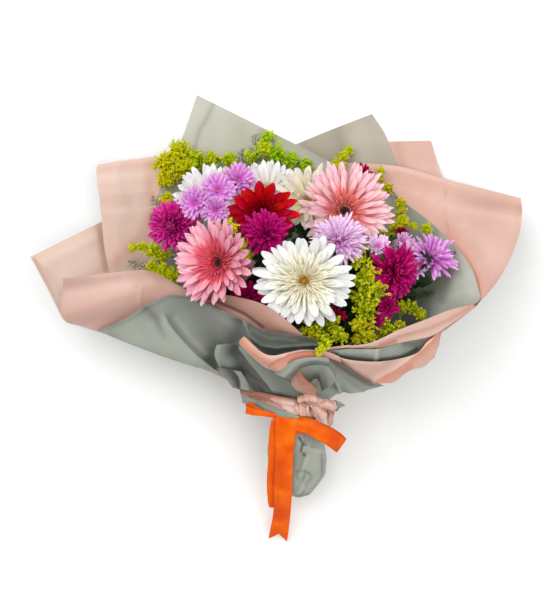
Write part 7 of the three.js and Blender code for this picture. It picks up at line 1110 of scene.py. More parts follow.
# painted shade laid over a whole sheet on top of its folds' shading; below 0 it is painted light
TONE = {"wrap_front_flap_sage": 0.46, "wrap_front_mid_sage": 0.36, "wrap_front_right_cone_sage": 0.03, "handle_wrap": 0.12, "wrap_collar": 0.08, "wrap_collar_peach": 0.14, "wrap_left_upper_peach": -0.3, "wrap_left_lower_peach": -0.3, "wrap_right_peach": -0.1,
        "wrap_right_sage_liner": -0.12, "wrap_front_right_peach": 0.20, "wrap_front_pleat_peach": 0.16, "wrap_front_left_sage": 0.05, "wrap_back_mid_sage": 0.06, "wrap_back_right_peach": 0.06}


def folded(name, g, n):
    """heights of a sheet's folds, and the fields of painted shade (darker; below 0, a painted highlight) and painted
    glow (warmer) along them
    """
    px, py = seen(g)
    high, dark, warm = (np.zeros(px.shape) for _ in range(3))
    for line, w, h, kind, shades in FOLDS.get(name, []):
        dist, side, past = to_line(px, py, line)
        end = np.exp(-((past / (w * 1.2 + 1.5)) ** 2))
        q = dist / w
        prof = np.exp(-(q**2)) if kind == "ridge" else np.exp(-q) * (1 + 0.3 * q) if kind == "crease" else 0
        high += h * prof * end
        for sd, sw, dk, wm in shades:
            f = np.exp(-((dist / sw) ** 2)) * np.exp(-((past / (sw + 1.0)) ** 2))
            if sd:
                f = f * np.clip(0.5 + 0.5 * side * sd * np.clip(dist / 0.7, 0, 1), 0, 1)
            dark += dk * f
            warm += wm * f
    return high, np.clip(dark + TONE.get(name, 0), -1, 0.95), np.clip(warm, 0, 0.95)


def make_sheet(s, seed):
    name = s["name"]
    small = len(s["ribs"]) <= 4 or name in ("wrap_collar", "wrap_collar_peach", "wrap_ruffle")
    nu0, nv0 = (110, 64) if small else (150, 150)
    g, wide, tall = surface(s["ribs"], nu0, nv0)
    nv, nu = g.shape[0] - 1, g.shape[1] - 1
    n = grid_normals(g)
    if n[..., 2].mean() < 0:
        n = -n
    V = np.linspace(0, 1, nv + 1)[:, None]
    # slack in the paper: soft hollows, and pleats that run out from the tie
    amp = 0.8 if small else 1.7
    d = smooth_noise((nv + 1, nu + 1), (4, 4), seed) * amp + smooth_noise((nv + 1, nu + 1), (9, 9), seed + 50) * amp * 0.35
    d = d + smooth_noise((nv + 1, nu + 1), (26, 26), seed + 70) * 0.18
    if not small:
        pleat = smooth_noise((1, nu + 1), (1, 14), seed + 90)[0][None]
        pleat = np.repeat(pleat, nv + 1, 0)
        d = d * np.clip(V * 2.2, 0, 1) + pleat * 2.2 * np.exp(-((V - 0.16) / 0.16) ** 2)
    high, dark, warm = folded(name, g, n)
    d = d + high
    if name in ("wrap_right_peach", "wrap_right_sage_liner"):
        for (x0, y0), (x1, y1) in (((384, 381.5), (345, 389.5)), ((345, 389.5), (322, 397.5))):
            px, py = seen(g)
            L = math.hypot(x1 - x0, y1 - y0)
            nx, ny = -(y1 - y0) / L, (x1 - x0) / L
            nx, ny = (nx, ny) if ny > 0 else (-nx, -ny)
            past = np.clip((px - x0) * nx + (py - y0) * ny, 0, 14) * np.clip((px - 312) / 10, 0, 1) * np.clip((398 - px) / 12, 0, 1)
            g = g + np.stack([-past * nx * 1.15, past * ny * 1.15, 0 * past], -1)
    low = np.clip((g[..., 2] - 0.6) / 6.0, 0.12, 1)
    g = g + n * (d * low)[..., None]
    g[..., 2] = np.maximum(g[..., 2], FLOOR_MM - 0.2)
    b = Build()
    up = UP.get(name, "peach" if name.endswith("peach") else "sage")
    mats = (0, 1) if up == "sage" else (1, 0)
    if name == "wrap_ruffle":  # a crumpled corner: several small lobes of one piece of paper
        # each lobe is painted darker or lighter row by row: painted shade and highlight, with a little painted glow
        area = sum(patch(b, rows, 60, 60, mt, [0.12 + 0.8 * v for v in dk], 0.1, puff=-0.5, seed=930 + q, crinkle=0.75) for q, (rows, mt, dk) in enumerate(RUFFLE))
    elif name == "wrap_front_roll_sage":
        area = roll_tongue(b)
    else:
        # t carries the sheet's painted shade, rnd its painted glow
        area = shell(b, g, 0.32, mats, mats[0], t=dark, r=warm)
    if name == "wrap_front_flap_sage":
        area += cuff(b)
    if name == "wrap_front_pleat_peach":
        # an extra strip at the pleat's end, painted darker row by row as shade, with a painted glow
        area += patch(b, [[(317, 350.6, 213), (326, 351.4, 209), (339, 356.2, 195)], [(317, 354, 212), (326, 354.8, 207), (340, 359.2, 194)], [(317, 357.2, 206), (326, 357.6, 203), (341, 362.2, 192)]], 40, 24, (1, 0), [0.15, 0.3, 0.75], 0.15, seed=951)
    if name == "wrap_front_right_peach":
        # an extra lobe of the peach lip, darkest on its first row as painted shade, with a painted glow
        area += patch(b, [[(399, 349, 152), (414, 341, 152), (428, 333, 153), (443, 328.5, 155)], [(404, 356, 146), (418, 349, 146), (430, 341, 147), (440, 338, 148)], [(408, 361, 140), (422, 355, 140), (432, 349, 141), (439, 346, 142)]], 36, 24, (1, 0), [0.4, 0.1, 0.0], 0.25, seed=955)
    table = [SAGE, PEACH]
    table[mats[0]] = SHOWN.get(LOOK.get(name), table[mats[0]])
    ob = b.object(name.replace("wrap", "paper"), table)
    add_piece(ob, name, SLOTS[name])
    across = np.linalg.norm(np.diff(g, axis=1), axis=-1).sum(1).max()
    along = np.linalg.norm(np.diff(g, axis=0), axis=-1).sum(0).max()
    if name in ("wrap_ruffle", "wrap_front_roll_sage"):
        across = max(across, area / along)
    return ob, across, along, area


def patch(b, rows, nu, nv, mats, dark, warm=0.0, puff=0.0, seed=1, crinkle=0.0):
    """a small piece of the same paper, given by points of the picture plane. dark: painted shade, one number per row,
    below 0 a painted highlight; warm: painted glow
    """
    g, _, _ = surface([[spot(*q) for q in row] for row in rows], nu, nv)
    n = grid_normals(g)
    if n[..., 2].mean() < 0:
        n = -n
    g = g + n * (smooth_noise(g.shape[:2], (5, 5), seed) * 0.7 + smooth_noise(g.shape[:2], (12, 12), seed + 9) * 0.25 + puff)[..., None]
    t = np.interp(np.linspace(0, 1, g.shape[0]), np.linspace(0, 1, len(dark)), dark)[:, None] + np.zeros((1, g.shape[1]))
    t = t + smooth_noise(g.shape[:2], (9, 9), seed + 5) * 0.12
    if crinkle:
        fine = smooth_noise(g.shape[:2], (3, 13), seed + 21) + 0.6 * smooth_noise(g.shape[:2], (14, 5), seed + 31)
        g = g + n * (fine * crinkle)[..., None]
        # painted shade in the crinkles' hollows and a painted highlight on their crests
        t = t - np.clip(fine, -1.2, 1.2) * 0.5 * min(1, crinkle)
    return shell(b, g, 0.32, mats, mats[0], t=np.clip(t, -1, 0.95), r=warm + 0 * t)


def cuff(b):
    """the open mouth at the left end of the folded flap"""
    rows = [
        [(218, 368, 147), (224, 376, 133), (233, 387.5, 123)],
        [(225, 368.5, 151), (230.5, 376.5, 141), (236.5, 388.5, 128)],
        [(232, 370, 150), (238, 378.5, 139), (240, 389.3, 131)],
        [(236.5, 371, 158), (242, 380.5, 147), (242.6, 389.3, 137)],
        [(241, 372, 158), (247, 382, 147), (249, 390.8, 137)],
    ]
    # rows painted dark for the shade inside the mouth and lighter on its rim: painted shade and highlight
    return patch(b, rows, 40, 50, (0, 1), [0.35, 0.55, 0.95, -0.25, 0.1], seed=941)


def roll_tongue(b):
    """the rolled corner: a hollow under an arch, painted dark as shade, and its inner side turned out below it"""
    rows = [
        [(289, 381, 148), (296, 366.5, 158), (306, 360, 163), (318, 359.5, 164), (328, 362.5, 160), (334.5, 371, 156), (337, 383, 150)],
        [(289.5, 380, 156), (298.5, 366.5, 170), (308, 361.3, 177), (317, 361, 178), (325.5, 364.5, 174), (331.5, 372, 167), (336, 381.5, 158)],
        [(293, 380, 156), (302, 370, 168), (310, 366, 174), (318, 366, 174), (324, 369.5, 170), (328, 376, 162), (332, 384, 152)],
        [(300, 383, 148), (306, 375, 158), (312, 371.5, 164), (318, 371.5, 164), (322, 375, 160), (325, 380, 153), (328, 387, 146)],
        [(308, 388, 140), (311, 382, 146), (314, 378.5, 150), (318, 378.5, 150), (320, 382, 147), (321, 386, 143), (322, 391, 139)],
    ]
    # the arch's rows darken towards the hollow: painted shade, with a painted highlight on the second row
    area = patch(b, rows, 90, 60, (0, 1), [0.3, -0.1, 0.05, 0.5, 0.95], seed=911)
    rows = [
        [(274, 373.5, 172), (283, 367.5, 188), (292, 361, 203), (304, 357.8, 209), (317, 356.2, 211), (327, 357.2, 209)],
        [(281, 376, 176), (288, 369.5, 190), (296.5, 362.5, 205), (306.5, 359.2, 210), (317.5, 357.8, 212), (329, 359.4, 208)],
        [(290, 380.5, 164), (295, 374, 180), (301.5, 368.2, 193), (309.5, 365.2, 201), (318, 364.2, 203), (329, 366, 196)],
    ]
    # the outer face of the arch, painted lighter and darker row by row: painted highlight and shade
    area += patch(b, rows, 80, 40, (0, 1), [0.25, -0.3, 0.55, 0.92], seed=915)
    rows = [
        [(289.5, 379.5, 156), (293.5, 387, 152), (299, 391.5, 149), (306.5, 395, 146), (313.5, 395.5, 143)],
        [(291.5, 376, 163), (295, 382.5, 161), (300.5, 388, 158), (308, 392.2, 153.5), (315.5, 394, 147)],
        [(294.5, 372, 169), (298, 378.5, 168), (304, 384.5, 164.5), (311, 388.8, 159), (317, 391.5, 151)],
        [(298.3, 368.6, 172), (301.8, 375.5, 170), (306.5, 381, 166), (312, 384.5, 160), (317.2, 387.6, 152)],
        [(301, 370, 164), (304.5, 376.5, 161), (308.5, 381, 155), (313, 384.5, 150), (317.5, 387.6, 145)],
    ]
    # the tongue: painted shade, darkest at its end, and a painted glow
    return area + patch(b, rows, 60, 40, (1, 0), [0.72, 0.58, 0.80, 0.95, 0.95], warm=0.2, seed=921)


# lobes of the crumpled corner: rows of points (x, y in the picture, height), which paper faces up, and painted shade
# per row (below 0, a painted highlight)
RUFFLE = [
    ([[(297, 396.5, 141), (305, 393.5, 146), (314, 394.5, 146), (321, 398, 142)], [(297.5, 400, 144), (306, 398.5, 150), (315, 400, 149), (321, 402.5, 144)], [(299, 404, 140), (307, 403.5, 144), (315, 405.5, 143), (320, 407.5, 140)]], (1, 0), [0.6, -0.5, 0.7]),
    ([[(317, 401, 140), (323, 399.5, 143), (330, 399, 142), (336, 402, 138)], [(316.5, 405, 143), (323, 404.5, 147), (330, 405, 146), (337.5, 407.5, 140)], [(318, 409, 140), (324, 410, 143), (330, 411, 141), (336, 411.5, 136)]], (1, 0), [0.2, -0.6, 0.75]),
    ([[(308, 402, 139), (314, 403.5, 143), (320, 406, 144), (327, 409.5, 140)], [(309.5, 406, 142), (315, 409, 146.5), (321, 412, 146), (327, 414.5, 139)], [(314, 412, 139), (318, 415, 142), (322, 417.5, 141), (325.5, 419, 136)],
      [(319.5, 420.5, 134), (321, 422, 135.5), (322.5, 423.5, 134.5), (324, 424, 132)]], (1, 0), [0.8, -0.7, -0.2, 0.3]),
    ([[(309.5, 403, 134), (313, 405, 135), (316, 407, 134)], [(308, 410, 134), (312.5, 413, 136.5), (316.5, 416, 136)], [(314, 417, 131), (318, 420, 133), (321.5, 423, 132)]], (1, 0), [0.9, 0.5, 0.8]),
    ([[(324, 410.5, 134), (329, 410.5, 136), (335, 411.5, 133)], [(326, 417, 133), (330, 417.5, 134.5), (334, 418, 131)], [(327.5, 425, 126), (330, 427, 126.5), (332.5, 424, 124)]], (1, 0), [0.9, 0.4, 0.3]),
    ([[(333, 399.5, 133), (339, 401.5, 131), (345.5, 405.5, 126)], [(334, 404, 133), (338, 406, 131), (341, 408, 128)], [(334, 409.5, 130), (335.5, 411, 128), (337, 411.5, 126)]], (0, 1), [0.1, 0.1, 0.5]),
    ([[(294, 402, 137), (301, 402, 140), (309, 404, 138)], [(294, 408, 136), (301, 409.5, 139), (309, 411, 138)], [(296, 414, 131), (303, 416, 134), (311, 417.5, 132)]], (1, 0), [0.7, -0.3, 0.2]),
]


for k, s in enumerate(SHEETS):
    sheet_objects.append(make_sheet(s, 100 + k))

# ---------------------------------------------------------------- handle
A, B, X, NK = (np.array(v) for v in (ALONG, BACKWARD, SIDE, NECK))


def sleeve_surface(nphi=240, nt=170):
    st = np.array(SLEEVE, float)
    t = np.linspace(0, 1, nt + 1)
    tt = np.interp(1 - (1 - t) ** 1.0, np.linspace(0, 1, len(st)), st[:, 0])
    k, l = knots_of(np.stack([st[:, 0], st[:, 1], st[:, 2]], 1))
    P = spline(st, k, np.interp(t * l[-1], l, k))
    phi = np.linspace(-1.12 * np.pi, 1.12 * np.pi, nphi + 1) + 0.55
    PH, TT = np.meshgrid(phi, np.arange(nt + 1))
    tc, wx, wb = P[:, 0][TT], np.maximum(P[:, 1][TT], 0.6), np.maximum(P[:, 2][TT], 0.6)
    over = (PH - phi[0]) / (phi[-1] - phi[0])
    r_extra = over * 1.6 - 0.8
    fr = np.interp(tc, [-119, -100, -60, -10], [0.2, 1.0, 1.0, 0.7])
    fold = smooth_noise(PH.shape, (5, 16), 31) * 1.6 + smooth_noise(PH.shape, (16, 30), 32) * 0.5
    near = np.exp(-((tc + 22) / 16) ** 2)
    crumple = smooth_noise(PH.shape, (22, 34), 33) * 1.5 * near
    rad = (r_extra + fold + crumple) * fr
    # blunt ridges make the section slightly square, as folded paper is
    rad = rad + 0.8 * np.cos(4 * PH + 0.6) * fr
    lean = 3.0 * np.clip(-tc / 119, 0, 1) ** 3
    p = NK + tc[..., None] * A + ((wx + rad) * np.cos(PH) + lean)[..., None] * X + ((wb + rad) * np.sin(PH))[..., None] * B
    p[..., 2] = np.maximum(p[..., 2], 0.55)
    return p, over


g, over = sleeve_surface()
b = Build()
middle = NK + ((g - NK) @ A)[..., None] * A
outer = norm(g - middle)
high, dark, warm = folded("handle_wrap", g, outer)
for (x0, y0), (x1, y1) in (((327.2, 449), (325.2, 475)), ((325.2, 475), (307.5, 496.8)), ((307.5, 496.8), (290, 500.2)), ((270, 497), (266.5, 470))):
    px, py = seen(g)
    L = math.hypot(x1 - x0, y1 - y0)
    nx, ny = (y1 - y0) / L, -(x1 - x0) / L  # points out of the handle in the picture
    past = np.clip((px - x0) * nx + (py - y0) * ny, 0, None)
    g = g + np.stack([-past * nx * 1.15, past * ny * 1.15, 0 * past], -1)
face = np.clip(outer[..., 2] * 3, 0, 1)  # only the side that looks up has these folds
g = g + outer * (high * face)[..., None]
g[..., 2] = np.maximum(g[..., 2], 0.5)
# t: painted shade along the folds on the upper side, over a random mottling; rnd: painted glow
shell(b, g, 0.32, (0, 1), 0, out=outer, t=np.clip(dark * face + smooth_noise(dark.shape, (20, 30), 35) * 0.16, -1, 0.95), r=warm)
handle = add_piece(b.object("handle_paper", [SAGE, PEACH]), "handle_wrap", SLOTS["handle_wrap"])

# ---------------------------------------------------------------- tie and ribbon
b = Build()
for k in range(7):
    t = -4.8 + k * 1.6
    a = np.linspace(0, 2 * np.pi, 73)
    path = NK + (t + a[:, None] / 6.283 * 1.6) * A + 18.6 * (np.cos(a)[:, None] * X + np.sin(a)[:, None] * B)
    tube(b, path, 0.72, 8, 0, r=0.3 + 0.1 * (k % 3))
add_piece(b.object("twine", [TWINE]), "stem_tie", SLOTS["stem_tie"])


def ribbon_grid(s, nu, nv, seed, crown=0.7):
    g, wide, tall = surface(s["ribs"], nu, nv)
    n = grid_normals(g)
    if n[..., 2].mean() < 0:
        n = -n
    U = np.linspace(-1, 1, nu + 1)[None]
    d = crown * (1 - U**2) + smooth_noise(g.shape[:2], (7, 3), seed) * 0.45
    g = g + n * d[..., None]
    g[..., 2] = np.maximum(g[..., 2], 0.4)
    return g, wide, tall


ribbon_objects = []
for k, s in enumerate(RIBBONS):
    name = s["name"]
    g, wide, tall = ribbon_grid(s, 16, 150, 400 + k, 0.9 if "tail" in name else 0.5)
    if name == "ribbon_tail_long":  # the end is cut to a swallow tail
        nv, nu = g.shape[0] - 1, g.shape[1] - 1
        U = np.linspace(-1, 1, nu + 1)
        V = np.linspace(0, 1, nv + 1)
        keep = 1 - 0.062 * (1 - np.abs(U))
        out = np.empty_like(g)
        for j in range(nu + 1):
            for c in range(3):
                out[:, j, c] = np.interp(V * keep[j], V, g[:, j, c])
        g = out
    if name == "ribbon_tail_short":
        g[..., 0] -= 2.6
    if "loop" in name:
        V = np.linspace(0, 1, g.shape[0])[:, None, None]
        mid = g.mean(1, keepdims=True)
        low, k0 = (0.62, 4.0) if "left" in name else (0.97, -6.0)
        pull = low + (1 - low) * np.clip(V / 0.32, 0, 1) * np.clip((1 - V) / 0.3, 0, 1)
        g = mid + (g - mid) * pull
        U = np.linspace(-1, 1, g.shape[1])[None]
        g[..., 0] += k0 * (1 - pull[..., 0]) / (1 - low)
        g[..., 2] += (1.3 * np.cos(U * 4.2) * (1 - pull[..., 0]) / (1 - low))
    b = Build()
    W = np.zeros((g.shape[0], 1)) + np.linspace(0, 1, g.shape[1])[None]
    T = np.linspace(0, tall / 1000, g.shape[0])[:, None] + np.zeros((1, g.shape[1]))
    area = shell(b, g, 0.4, (0, 0), 0, t=T, w=W)
    ob = add_piece(b.object(name.replace("ribbon", "satin"), [RIBBON]), name, SLOTS[name])
    ribbon_objects.append((ob, wide, tall, area))

# the turn of ribbon round the neck
a = np.linspace(0, 2 * np.pi, 161)
tt = np.linspace(-9, 6, 13)
R0 = np.interp(tt, [-9, 6], [26.35, 28.85])
wob = smooth_noise((13, 161), (3, 22), 71) * 0.4
wob[:, -12:] = wob[:, -12:] * np.linspace(1, 0, 12) + wob[:, :12][:, ::-1][:, ::-1] * np.linspace(0, 1, 12)
g = NK + tt[:, None, None] * A + ((R0[:, None] + wob) * np.cos(a))[..., None] * X + ((R0[:, None] + wob) * np.sin(a))[..., None] * B
b = Build()
T = np.zeros((13, 1)) + (a / 6.283 * 0.17)[None]
W = np.linspace(0, 1, 13)[:, None] + np.zeros((1, 161))
shell(b, g, 0.45, (0, 0), 0, t=T, w=W)
add_piece(b.object("satin_band", [RIBBON]), "ribbon_band", SLOTS["ribbon_band"])

# knot: a pinched pad with creases running across it
th = np.linspace(0, np.pi, 41)
ph = np.linspace(0, 2 * np.pi, 61)
TH, PH = np.meshgrid(th, ph, indexing="ij")
sg = lambda v, e: np.sign(v) * np.abs(v) ** e
x = sg(np.sin(TH) * np.cos(PH), 0.62)
y = sg(np.sin(TH) * np.sin(PH), 0.62)
z = sg(np.cos(TH), 0.62)
pinch = 1 - 0.16 * (1 - x**2)
crease = 1 + 0.05 * np.sin(7 * x + 2.0 * y) * (1 - np.abs(y)) + 0.03 * np.sin(17 * x - 3 * y)
p = np.stack([x * KNOT["half"][0], y * KNOT["half"][1] * pinch, z * KNOT["half"][2] * crease], -1)
c, s_ = math.cos(KNOT["tilt"]), math.sin(KNOT["tilt"])
p = np.stack([p[..., 0], p[..., 1] * c - p[..., 2] * s_, p[..., 1] * s_ + p[..., 2] * c], -1) + np.array(KNOT["at"])
b = Build()
nT, nP = p.shape[0], p.shape[1] - 1
core = p[1:-1, :-1].reshape(-1, 3)
verts = np.concatenate([core, p[0, :1], p[-1, :1]])
i, j = np.meshgrid(np.arange(nT - 3), np.arange(nP), indexing="ij")
a_ = (i * nP + j).ravel()
c_ = (i * nP + (j + 1) % nP).ravel()
q = np.stack([a_, a_ + nP, c_ + nP, c_], 1)
s0 = np.arange(nP)
top = np.stack([np.full(nP, len(core)), s0, (s0 + 1) % nP], 1)
bot = np.stack([np.full(nP, len(core) + 1), (nT - 3) * nP + (s0 + 1) % nP, (nT - 3) * nP + s0], 1)
W = np.concatenate([(0.5 + 0.44 * x[1:-1, :-1]).ravel(), [0.5, 0.5]])
T = np.concatenate([(0.03 * y[1:-1, :-1]).ravel(), [0, 0]])
b.add(verts, [q, top, bot], 0, t=T, w=W)
add_piece(b.object("satin_knot", [RIBBON]), "ribbon_knot", SLOTS["ribbon_knot"])


# ---------------------------------------------------------------- flower heads
def jitter(n, s, r):
    return r.normal(0, s, n)


def rays(b, h, mat, n, length, width, r0, z0, elev, bend, r, **kw):
    """one whorl of petals round a head"""
    phi = np.arange(n) / n * 2 * np.pi + r.uniform(0, 6.28) + jitter(n, 0.045, r)
    petals(b, h["c"], h["n"], phi, r0, z0 + jitter(n, 0.25, r), length * (1 + jitter(n, 0.05, r)), width * (1 + jitter(n, 0.08, r)), elev + jitter(n, 0.05, r),
           bend + jitter(n, 0.07, r), mat, twist=jitter(n, 0.14, r), swerve=jitter(n, 1.4, r), rand=r.uniform(0, 1, n), seed=int(r.integers(1e6)), **kw)


def disc(b, h, radius, height, count, size, mat, r, dome=0.6, stretch=1.5):
    """tiny florets packed in the spiral of a daisy's eye"""
    k = np.arange(count)
    q = np.sqrt((k + 0.5) / count)
    a = k * 2.399963
    ex, ey, ez = frame_of(h["n"])
    R = radius * q
    z = height * (1 - dome * q**2) 
    c = np.asarray(h["c"]) + R[:, None] * (np.cos(a)[:, None] * ex + np.sin(a)[:, None] * ey) + z[:, None] * ez
    ax = ez + 0.8 * q[:, None] * (np.cos(a)[:, None] * ex + np.sin(a)[:, None] * ey)
    beads(b, c, size * r.uniform(0.8, 1.15, count), ax, stretch, mat, t=q, r=r.uniform(0, 1, count))


def receptacle(b, h, radius, depth, mat, r):
    """green cup under a head, closed"""
    prof = [(0.02, -depth), (0.35, -depth * 0.96), (0.7, -depth * 0.72), (0.95, -depth * 0.36), (1.0, -0.8), (0.8, 0.6), (0.02, 1.4)]
    ex, ey, ez = frame_of(h["n"])
    path = [np.asarray(h["c"]) + ez * z for _, z in prof]
    n, m = 24, len(prof)
    a = np.linspace(0, 2 * np.pi, n, endpoint=False)
    P = np.array([[np.asarray(h["c"]) + ez * z + radius * q * (math.cos(t) * ex + math.sin(t) * ey) for t in a] for q, z in prof])
    i, j = np.meshgrid(np.arange(m - 1), np.arange(n), indexing="ij")
    a0 = (i * n + j).ravel()
    c0 = (i * n + (j + 1) % n).ravel()
    q = np.stack([a0, c0, c0 + n, a0 + n], 1)
    caps = [np.arange(n)[::-1][None], ((m - 1) * n + np.arange(n))[None]]
    b.add(P.reshape(-1, 3), [q] + caps, mat, t=0.5, r=0.5)


def gerbera(b, h, st, r, mats):
    """mats: rays, florets, eye, green"""
    R, c = h["R"], h["cup"]
    avg = math.atan2(c, R)
    e0, bd = avg * 0.75 + 0.05, avg * 0.5 + st.get("bend", 0.0)
    slant = math.cos(avg * 0.9)
    L = (R * 1.0 - R * 0.12) / slant
    w = R * st.get("w", 0.19)
    ray = dict(groove=0.3, tip=st.get("tip", 0.80), base=0.30, notch=st.get("notch", 0.02), blunt=st.get("blunt", 0.46), wave=0.3, thick=0.22)
    rays(b, h, mats[0], st.get("n1", 21), L, w, R * 0.12, -0.6, e0 - 0.05, bd, r, cup=st.get("cup", 0.08), nl=12, nw=6, **ray)
    rays(b, h, mats[0], st.get("n2", 19), L * 0.96, w * 0.97, R * 0.12, 0.4, e0 + 0.06, bd, r, cup=st.get("cup", 0.08) + 0.02, nl=12, nw=6, **ray)
    rays(b, h, mats[0], st.get("n3", 13), L * st.get("l3", 0.84), w * 0.92, R * 0.11, 1.2, e0 + 0.15, bd, r, cup=st.get("cup", 0.08) + 0.04, nl=11, nw=6, **ray)
    if st.get("n4"):
        rays(b, h, mats[0], st["n4"], L * st.get("l4", 0.66), w * 0.8, R * 0.11, 1.9, e0 + 0.27, bd * 0.6, r, cup=0.18, nl=10, nw=4, **ray)
    for q, (n, l, wd, up) in enumerate(st.get("inner", ())):
        rays(b, h, mats[st["mid"]] if "mid" in st and q < 3 else mats[1], n, L * l, R * wd, R * (0.15 - 0.012 * q), 2.0 + 0.5 * q, e0 + up, st.get("inner_bend", -0.25), r, cup=0.25, tip=0.72, base=0.5, blunt=0.3, nl=7, nw=2 if wd < 0.06 else 4, thick=0.3)
    # collar of small florets round the eye
    rays(b, h, mats[1], st.get("c1", 44), R * st.get("cl", 0.20), R * 0.036, R * 0.15, 2.6, 0.75 + avg, -0.5, r, cup=0.25, tip=0.6, base=0.5, nl=5, nw=2, thick=0.3)
    rays(b, h, mats[4] if len(mats) > 4 else mats[1], st.get("c2", 36), R * st.get("cl", 0.20) * 0.72, R * 0.03, R * 0.12, 3.0, 1.05 + avg, -0.5, r, cup=0.25, tip=0.6, base=0.5, nl=5, nw=2, thick=0.3)
    for q, (n, z) in enumerate(st.get("fill", ())):  # fine filaments that fill the middle
        rays(b, h, mats[(4, 1)[q % 2]], n, R * 0.19, R * 0.026, R * (0.10 - 0.03 * q), z, 0.95 + 0.16 * q, -0.7, r, cup=0.25, tip=0.6, base=0.5, nl=5, nw=2, thick=0.3)
    disc(b, h, R * st.get("eye", 0.15), st.get("eye_h", 2.6), 90, R * 0.0135, mats[2], r)
    receptacle(b, dict(h, c=np.asarray(h["c"]) - 2.2 * norm(h["n"])), R * 0.12, R * 0.15, mats[3], r)
    rays(b, h, mats[3], 26, R * 0.3, R * 0.06, R * 0.15, -2.5, 0.05 + avg * 0.6, 0.1, r, cup=0.1, tip=0.4, base=0.7, nl=5, nw=2)


def daisy(b, h, st, r, mats):
    """mats: petals, eye, green. Two or three loose whorls of flat straps round a small eye"""
    R, c = h["R"], h["cup"]
    avg = math.atan2(c, R) * 0.8
    for q, (n, l) in enumerate(st["daisy"]):
        up = avg + st.get("lift", 0.16) * q
        rays(b, h, mats[0], n, R * l * 0.94 / math.cos(up), R * st["w"], R * 0.08, 0.5 * q, up + st.get("rise", 0.1), -0.25 + avg * 0.2, r, cup=0.1, nl=10, nw=6, groove=0.28, tip=0.72, base=0.34, blunt=st.get("blunt", 0.5), notch=0.03, wave=0.5, thick=0.22)
    disc(b, h, R * st.get("eye", 0.14), 2.4, int(30 + R * 2), R * 0.026, mats[1], r)
    receptacle(b, h, R * 0.22, R * 0.26, mats[2], r)
    rays(b, h, mats[2], 12, R * 0.34, R * 0.12, R * 0.2, -R * 0.06, 0.12, 0.1, r, cup=0.1, tip=0.4, base=0.7, nl=4, nw=2)


def mum(b, h, st, r, mats):
    """mats: petals, eye, green. Full double head: petals set in a spiral over a dome"""
    if "daisy" in st:
        return daisy(b, h, st, r, mats)
    R, c = h["R"], h["cup"]
    N = int(st.get("n", 120))
    q = np.sqrt((np.arange(N) + 0.5) / N)
    if st.get("eye"):
        q = st["eye"] + (1 - st["eye"]) * q
    mess = st.get("mess", 1.0)
    phi = np.arange(N) * 2.399963 + r.normal(0, 0.12 * mess, N)
    e0 = np.radians(st.get("up", 82)) * (1 - q ** st.get("pw", 1.5)) + math.radians(st.get("low", 4))
    bend = np.radians(st.get("curl_in", 30)) * (1 - q) + np.radians(st.get("curl_out", -14)) * q
    L = R * (st.get("l0", 0.34) + (st.get("l1", 0.92) - st.get("l0", 0.34)) * q ** 1.1)
    r0 = R * 0.10 * q
    z0 = c * 0.30 * (1 - q**2)
    W = R * st.get("w", 0.17) * (0.62 + 0.38 * q)
    petals(b, h["c"], h["n"], phi, r0, z0 + r.normal(0, 0.3, N), L * (1 + r.normal(0, 0.08 * mess, N)), W * (1 + r.normal(0, 0.12, N)), e0 + r.normal(0, 0.11 * mess, N), bend + r.normal(0, 0.16, N), mats[0],
           nl=8 if R > 12 else 6, nw=4, cup=st.get("cup", 0.35), tip=st.get("tip", 0.7), base=0.32, thick=0.3, twist=r.normal(0, 0.28 * mess, N), swerve=r.normal(0, 0.04 * R * mess, N), rand=r.uniform(0, 1, N), seed=int(r.integers(1e6)),
           groove=st.get("groove", 0.1), blunt=st.get("blunt", 0.3), wave=st.get("wave", 0.0))
    if st.get("eye"):
        disc(b, h, R * st["eye"] * 1.05, c * 0.35 + 1.0, int(30 + R * 3), R * 0.03, mats[1], r)
    receptacle(b, h, R * 0.32, R * 0.26, mats[2], r)
    rays(b, h, mats[2], 14, R * 0.34, R * 0.12, R * 0.24, -R * 0.06, 0.12, 0.1, r, cup=0.1, tip=0.4, base=0.7, nl=4, nw=2)


def leaf(b, base, d, up, length, width, mat, r, lobes=5, curl=-0.5):
    """lobed leaf, closed and thin"""
    nl, nw = 22, 8
    d = norm(d)
    s = norm(np.cross(up, d))
    n = np.cross(d, s)
    v = np.linspace(0, 1, nl + 1)
    u = np.linspace(-1, 1, nw + 1)
    prof = np.sin(np.pi * np.clip(v, 0, 1) ** 0.75) ** 0.8 * ((0.62 + 0.38 * np.abs(np.sin(np.pi * (v * lobes + 0.25)))) if lobes else 1.0) + 0.04
    prof[0] = 0.05
    prof[-1] = 0.03
    th = curl * v
    x = np.concatenate([[0], np.cumsum(np.cos(th[1:]) / nl)]) * length
    z = np.concatenate([[0], np.cumsum(np.sin(th[1:]) / nl)]) * length
    fwd = 0.16 * length * np.abs(u)[None] * np.sin(np.pi * v)[:, None]
    half = width / 2 * prof
    lift = 0.25 * half[:, None] * np.abs(u)[None] + 0.5 * np.sin(v * 14 + 1.0)[:, None] * np.abs(u)[None]
    P = np.asarray(base) + (x[:, None] + fwd)[..., None] * d + (half[:, None] * u[None])[..., None] * s + (z[:, None] + lift)[..., None] * n
    rr = r.uniform(0, 1)
    b2 = len(b.r)
    T = np.repeat(v[:, None], nw + 1, 1)
    U = np.repeat(u[None], nl + 1, 0)
    shell(b, P, 0.3, (mat, mat), mat, t=T, w=U)
    b.r[-1][:] = rr


def inward(point, d):
    """unit vector square to d that points to the middle of the bunch and a little up"""
    ax = NK + A * max((point - NK) @ A, 0)
    v = ax - point + np.array([0, 0, 12.0])
    v = v - d * (v @ d)
    return norm(v)


